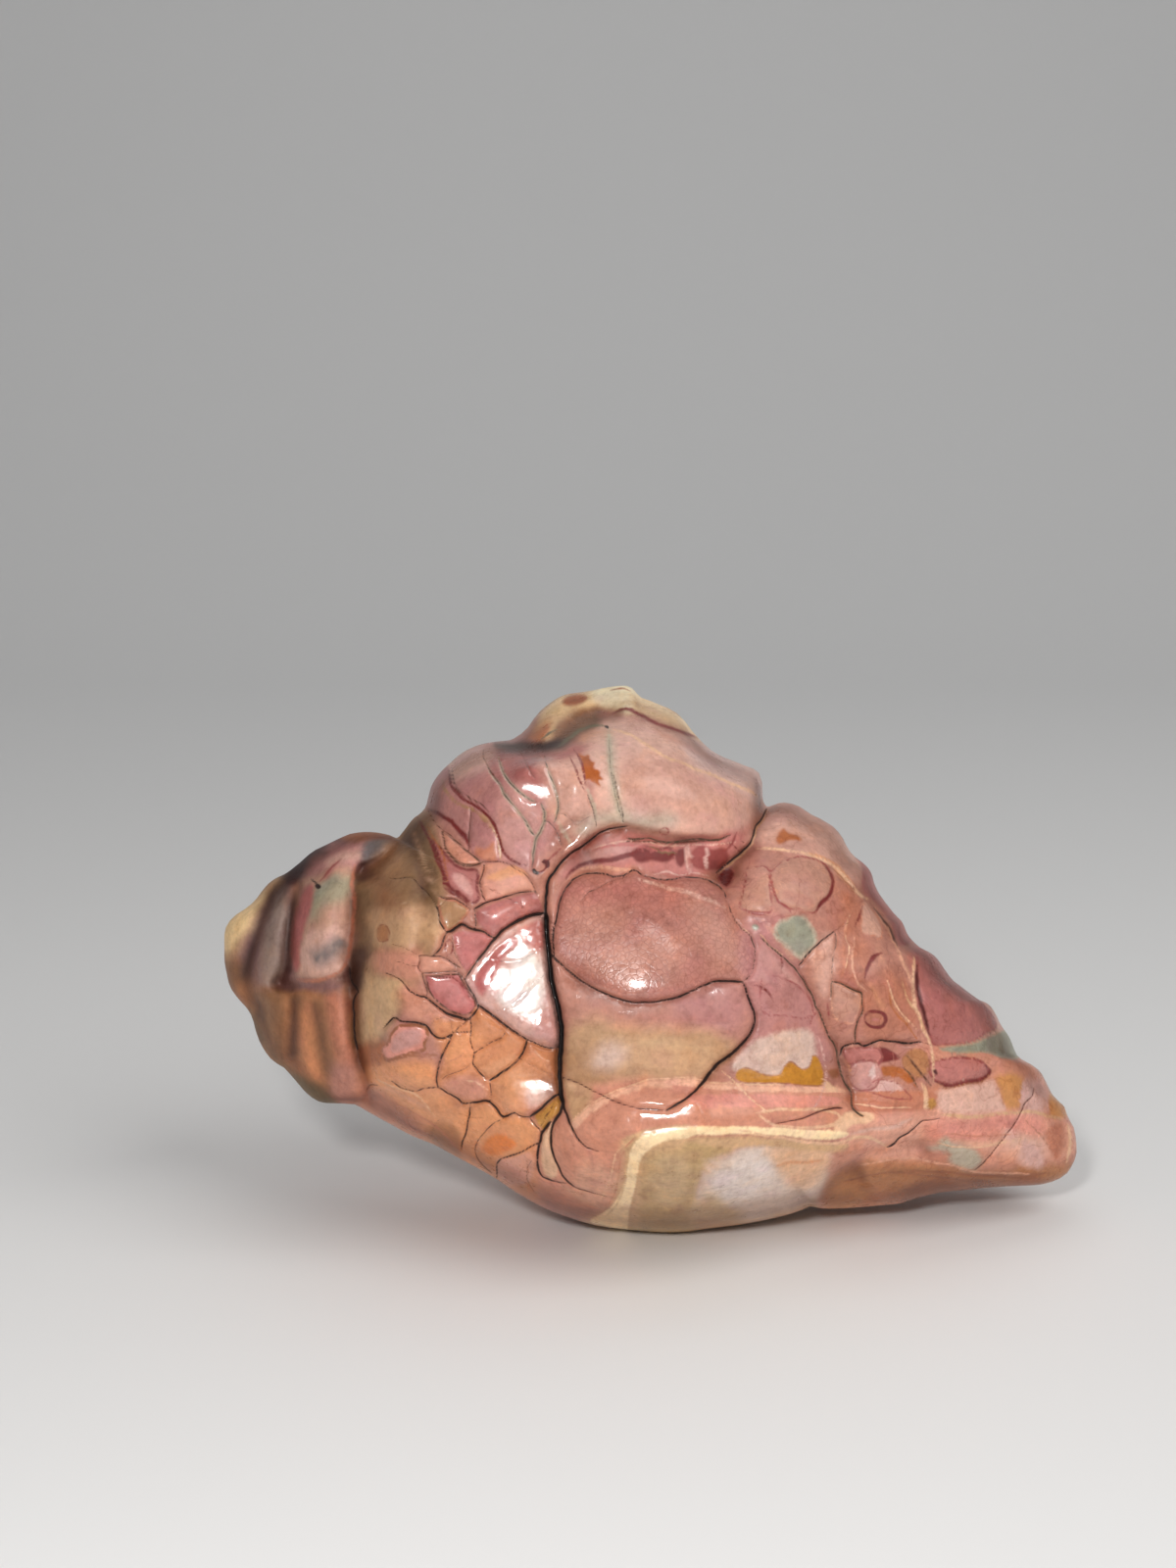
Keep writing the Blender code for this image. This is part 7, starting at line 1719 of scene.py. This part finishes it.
# fine veins: where slow noise passes its middle
threads = n.noise(coords, 190, 3.0, 0.55)
thread = n.ramp(n.math("ABSOLUTE", n.math("SUBTRACT", threads, 0.5)), 0.0, 0.010, 1.0, 0.0)
colour = tint(colour, n.math("MULTIPLY", n.math("MULTIPLY", thread, vein_amount), 0.55), (0.72, 0.58, 0.54))
pale_threads = n.noise(coords, 150, 4.0, 0.6)
thread = n.ramp(n.math("ABSOLUTE", n.math("SUBTRACT", pale_threads, 0.46)), 0.0, 0.008, 1.0, 0.0)
colour = tint(colour, n.math("MULTIPLY", n.math("MULTIPLY", thread, vein_amount), 0.6), (1.22, 1.24, 1.20))
# mottle: pale and dark flecks
pale = n.math("MULTIPLY", n.ramp(speckle, 0.56, 0.72), mottle_amount)
colour = n.mix(n.math("MULTIPLY", pale, 0.55), colour, n.mix(1.0, colour, (1.35, 1.32, 1.28), "MULTIPLY"))
deepened = n.math("MULTIPLY", n.ramp(speckle, 0.46, 0.28), mottle_amount)
colour = n.mix(n.math("MULTIPLY", deepened, 0.7), colour, n.mix(1.0, colour, (0.74, 0.64, 0.62), "MULTIPLY"))
gritty = n.math("MULTIPLY", n.ramp(grain, 0.40, 0.62), mottle_amount)
colour = n.mix(n.math("MULTIPLY", gritty, 0.22), colour, n.mix(1.0, colour, (1.2, 1.16, 1.12), "MULTIPLY"))
# the fine net of the oval plate
cells = n.voronoi(coords, 2000, "DISTANCE_TO_EDGE")
net_line = n.math("MULTIPLY", n.ramp(cells, 0.16, 0.0), net_amount)
colour = n.mix(n.math("MULTIPLY", net_line, 0.42), colour, n.mix(1.0, colour, (0.66, 0.55, 0.52), "MULTIPLY"))

# painted shade: hollows and crack edges turn darker and browner
colour = tint(colour, hollow_shade_amount, (0.50, 0.40, 0.36))
colour, crack_mask = masked(colour, "CR", 1.5, fine)

roughness = n.math("ADD", n.ramp(cloud, 0.3, 0.7, 0.30, 0.38), dull_amount)
roughness = n.math("SUBTRACT", roughness, n.math("MULTIPLY", gloss_amount, 0.16))
roughness = n.math("ADD", roughness, n.math("MULTIPLY", n.math("SUBTRACT", speckle, 0.5), 0.12))
roughness = n.math("ADD", roughness, n.math("MULTIPLY", crack_mask, 0.30), clamp=True)

dimple = n.noise(coords, 1900, 1.0, 0.5)
height = n.math("MULTIPLY", n.noise(coords, 620, 2.0, 0.5), 2.2)
height = n.math("ADD", height, n.math("MULTIPLY", dimple, n.math("ADD", n.math("MULTIPLY", mottle_amount, 0.9), 0.25)))
height = n.math("ADD", height, n.math("MULTIPLY", grain, n.math("MULTIPLY", mottle_amount, 0.12)))
height = n.math("SUBTRACT", height, n.math("MULTIPLY", net_line, 0.25))
bump = n.add("ShaderNodeBump")
bump.inputs["Strength"].default_value = 1.0
bump.inputs["Distance"].default_value = 0.000022
tree.links.new(height, bump.inputs["Height"])

shader = n.add("ShaderNodeBsdfPrincipled")
tree.links.new(colour, shader.inputs["Base Color"])
tree.links.new(roughness, shader.inputs["Roughness"])
tree.links.new(bump.outputs["Normal"], shader.inputs["Normal"])
shader.inputs["IOR"].default_value = 1.54
shader.inputs["Specular IOR Level"].default_value = 0.32
coat = n.ramp(gloss_amount, 0.22, 1.0, 0.0, 1.0)
coat = n.math("MULTIPLY", coat, n.math("SUBTRACT", 1.0, n.math("MULTIPLY", crack_mask, 0.7)), clamp=True)
coat = n.math("MULTIPLY", coat, n.ramp(speckle, 0.40, 0.54, 0.22, 1.0))
tree.links.new(coat, shader.inputs["Coat Weight"])
shader.inputs["Coat Roughness"].default_value = 0.07
shader.inputs["Coat IOR"].default_value = 1.5
output = n.add("ShaderNodeOutputMaterial")
tree.links.new(shader.outputs[0], output.inputs[0])
mesh.materials.append(material)

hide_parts("agate")
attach(stone, "root")

# =====================================================================
# Floor, light and camera
# =====================================================================
profile = [(-0.9, 0.0), (0.30, 0.0)]
for step in range(1, 13):
    a = math.radians(90 * step / 12)
    profile.append((0.30 + 0.25 * math.sin(a), 0.25 - 0.25 * math.cos(a)))
profile.append((0.55, 1.2))
verts, quads = [], []
for y, z in profile:
    verts += [(-1.6, y, z - 0.00002), (1.6, y, z - 0.00002)]
for i in range(len(profile) - 1):
    quads.append((2 * i, 2 * i + 1, 2 * i + 3, 2 * i + 2))
floor_mesh = bpy.data.meshes.new("floor")
floor_mesh.from_pydata(verts, [], quads)
floor_mesh.update()
floor_mesh.shade_smooth()
floor = bpy.data.objects.new("floor", floor_mesh)
bpy.context.scene.collection.objects.link(floor)
paper = bpy.data.materials.new("paper")
paper.use_nodes = True
sheet = paper.node_tree.nodes["Principled BSDF"]
sheet.inputs["Base Color"].default_value = (0.80, 0.80, 0.80, 1)
sheet.inputs["Roughness"].default_value = 0.85
sheet.inputs["Specular IOR Level"].default_value = 0.15
floor_mesh.materials.append(paper)

centre = Vector(((node_low + node_high) / 2).tolist())
side, ahead, up = Vector((1, 0, 0)), Vector((0, math.cos(VIEW_TILT), -math.sin(VIEW_TILT))), Vector((0, math.sin(VIEW_TILT), math.cos(VIEW_TILT)))
eye = Vector(eye.tolist())


def lamp(name, where, size, energy, colour=(1, 1, 1), size_y=None, target=None):
    data = bpy.data.lights.new(name, "AREA")
    data.shape = "RECTANGLE" if size_y else "DISK"
    data.size = size
    if size_y:
        data.size_y = size_y
    data.energy = energy
    data.color = colour
    obj = bpy.data.objects.new(name, data)
    obj.location = where
    obj.rotation_mode = "QUATERNION"
    obj.rotation_quaternion = ((target or centre) - where).to_track_quat("-Z", "Y")
    bpy.context.scene.collection.objects.link(obj)
    return obj


lamp("key", eye - side * 0.032 + up * 0.045 - ahead * 0.01, 0.030, 0.30, (1.0, 0.98, 0.96))
lamp("front_soft", eye + side * 0.25 + up * 0.25 - ahead * 0.02, 0.35, 0.89, (1.0, 0.985, 0.96))
lamp("top_box", centre + Vector((-0.15, 0.05, 0.75)), 0.9, 1.0, (1.0, 0.99, 0.97), 0.6)
lamp("left_box", centre + Vector((-0.75, -0.35, 0.35)), 0.6, 0.22, (1.0, 0.99, 0.98), 0.8)
lamp("right_box", centre + Vector((0.8, -0.25, 0.30)), 0.6, 0.35, (0.98, 0.99, 1.0), 0.8)
lamp("low_box", centre + Vector((0.05, -0.55, 0.0)), 0.5, 0.30, (1.0, 0.99, 0.98), 0.06)
lamp("back_box", centre + Vector((0.1, 0.30, 0.60)), 0.6, 0.35, (1.0, 1.0, 1.0), 0.4)

world = bpy.data.worlds.new("studio")
world.use_nodes = True
world.node_tree.nodes["Background"].inputs[0].default_value = (0.92, 0.95, 1.0, 1)
world.node_tree.nodes["Background"].inputs[1].default_value = 0.08
bpy.context.scene.world = world

camera_data = bpy.data.cameras.new("camera")
camera_data.sensor_width = 36.0
camera_data.sensor_fit = "AUTO"
camera_data.lens = 36.0 * VIEW_DISTANCE / (1600 * UNIT)
camera_data.clip_start = 0.01
camera_data.clip_end = 20.0
camera = bpy.data.objects.new("camera", camera_data)
bpy.context.scene.collection.objects.link(camera)
camera.location = eye
camera.rotation_mode = "QUATERNION"
camera.rotation_quaternion = ahead.to_track_quat("-Z", "Y")
bpy.context.scene.camera = camera

bpy.context.scene.view_settings.view_transform = "Standard"
bpy.context.scene.view_settings.look = "None"
bpy.context.scene.view_settings.exposure = 0.0
bpy.context.scene.view_settings.gamma = 1.0
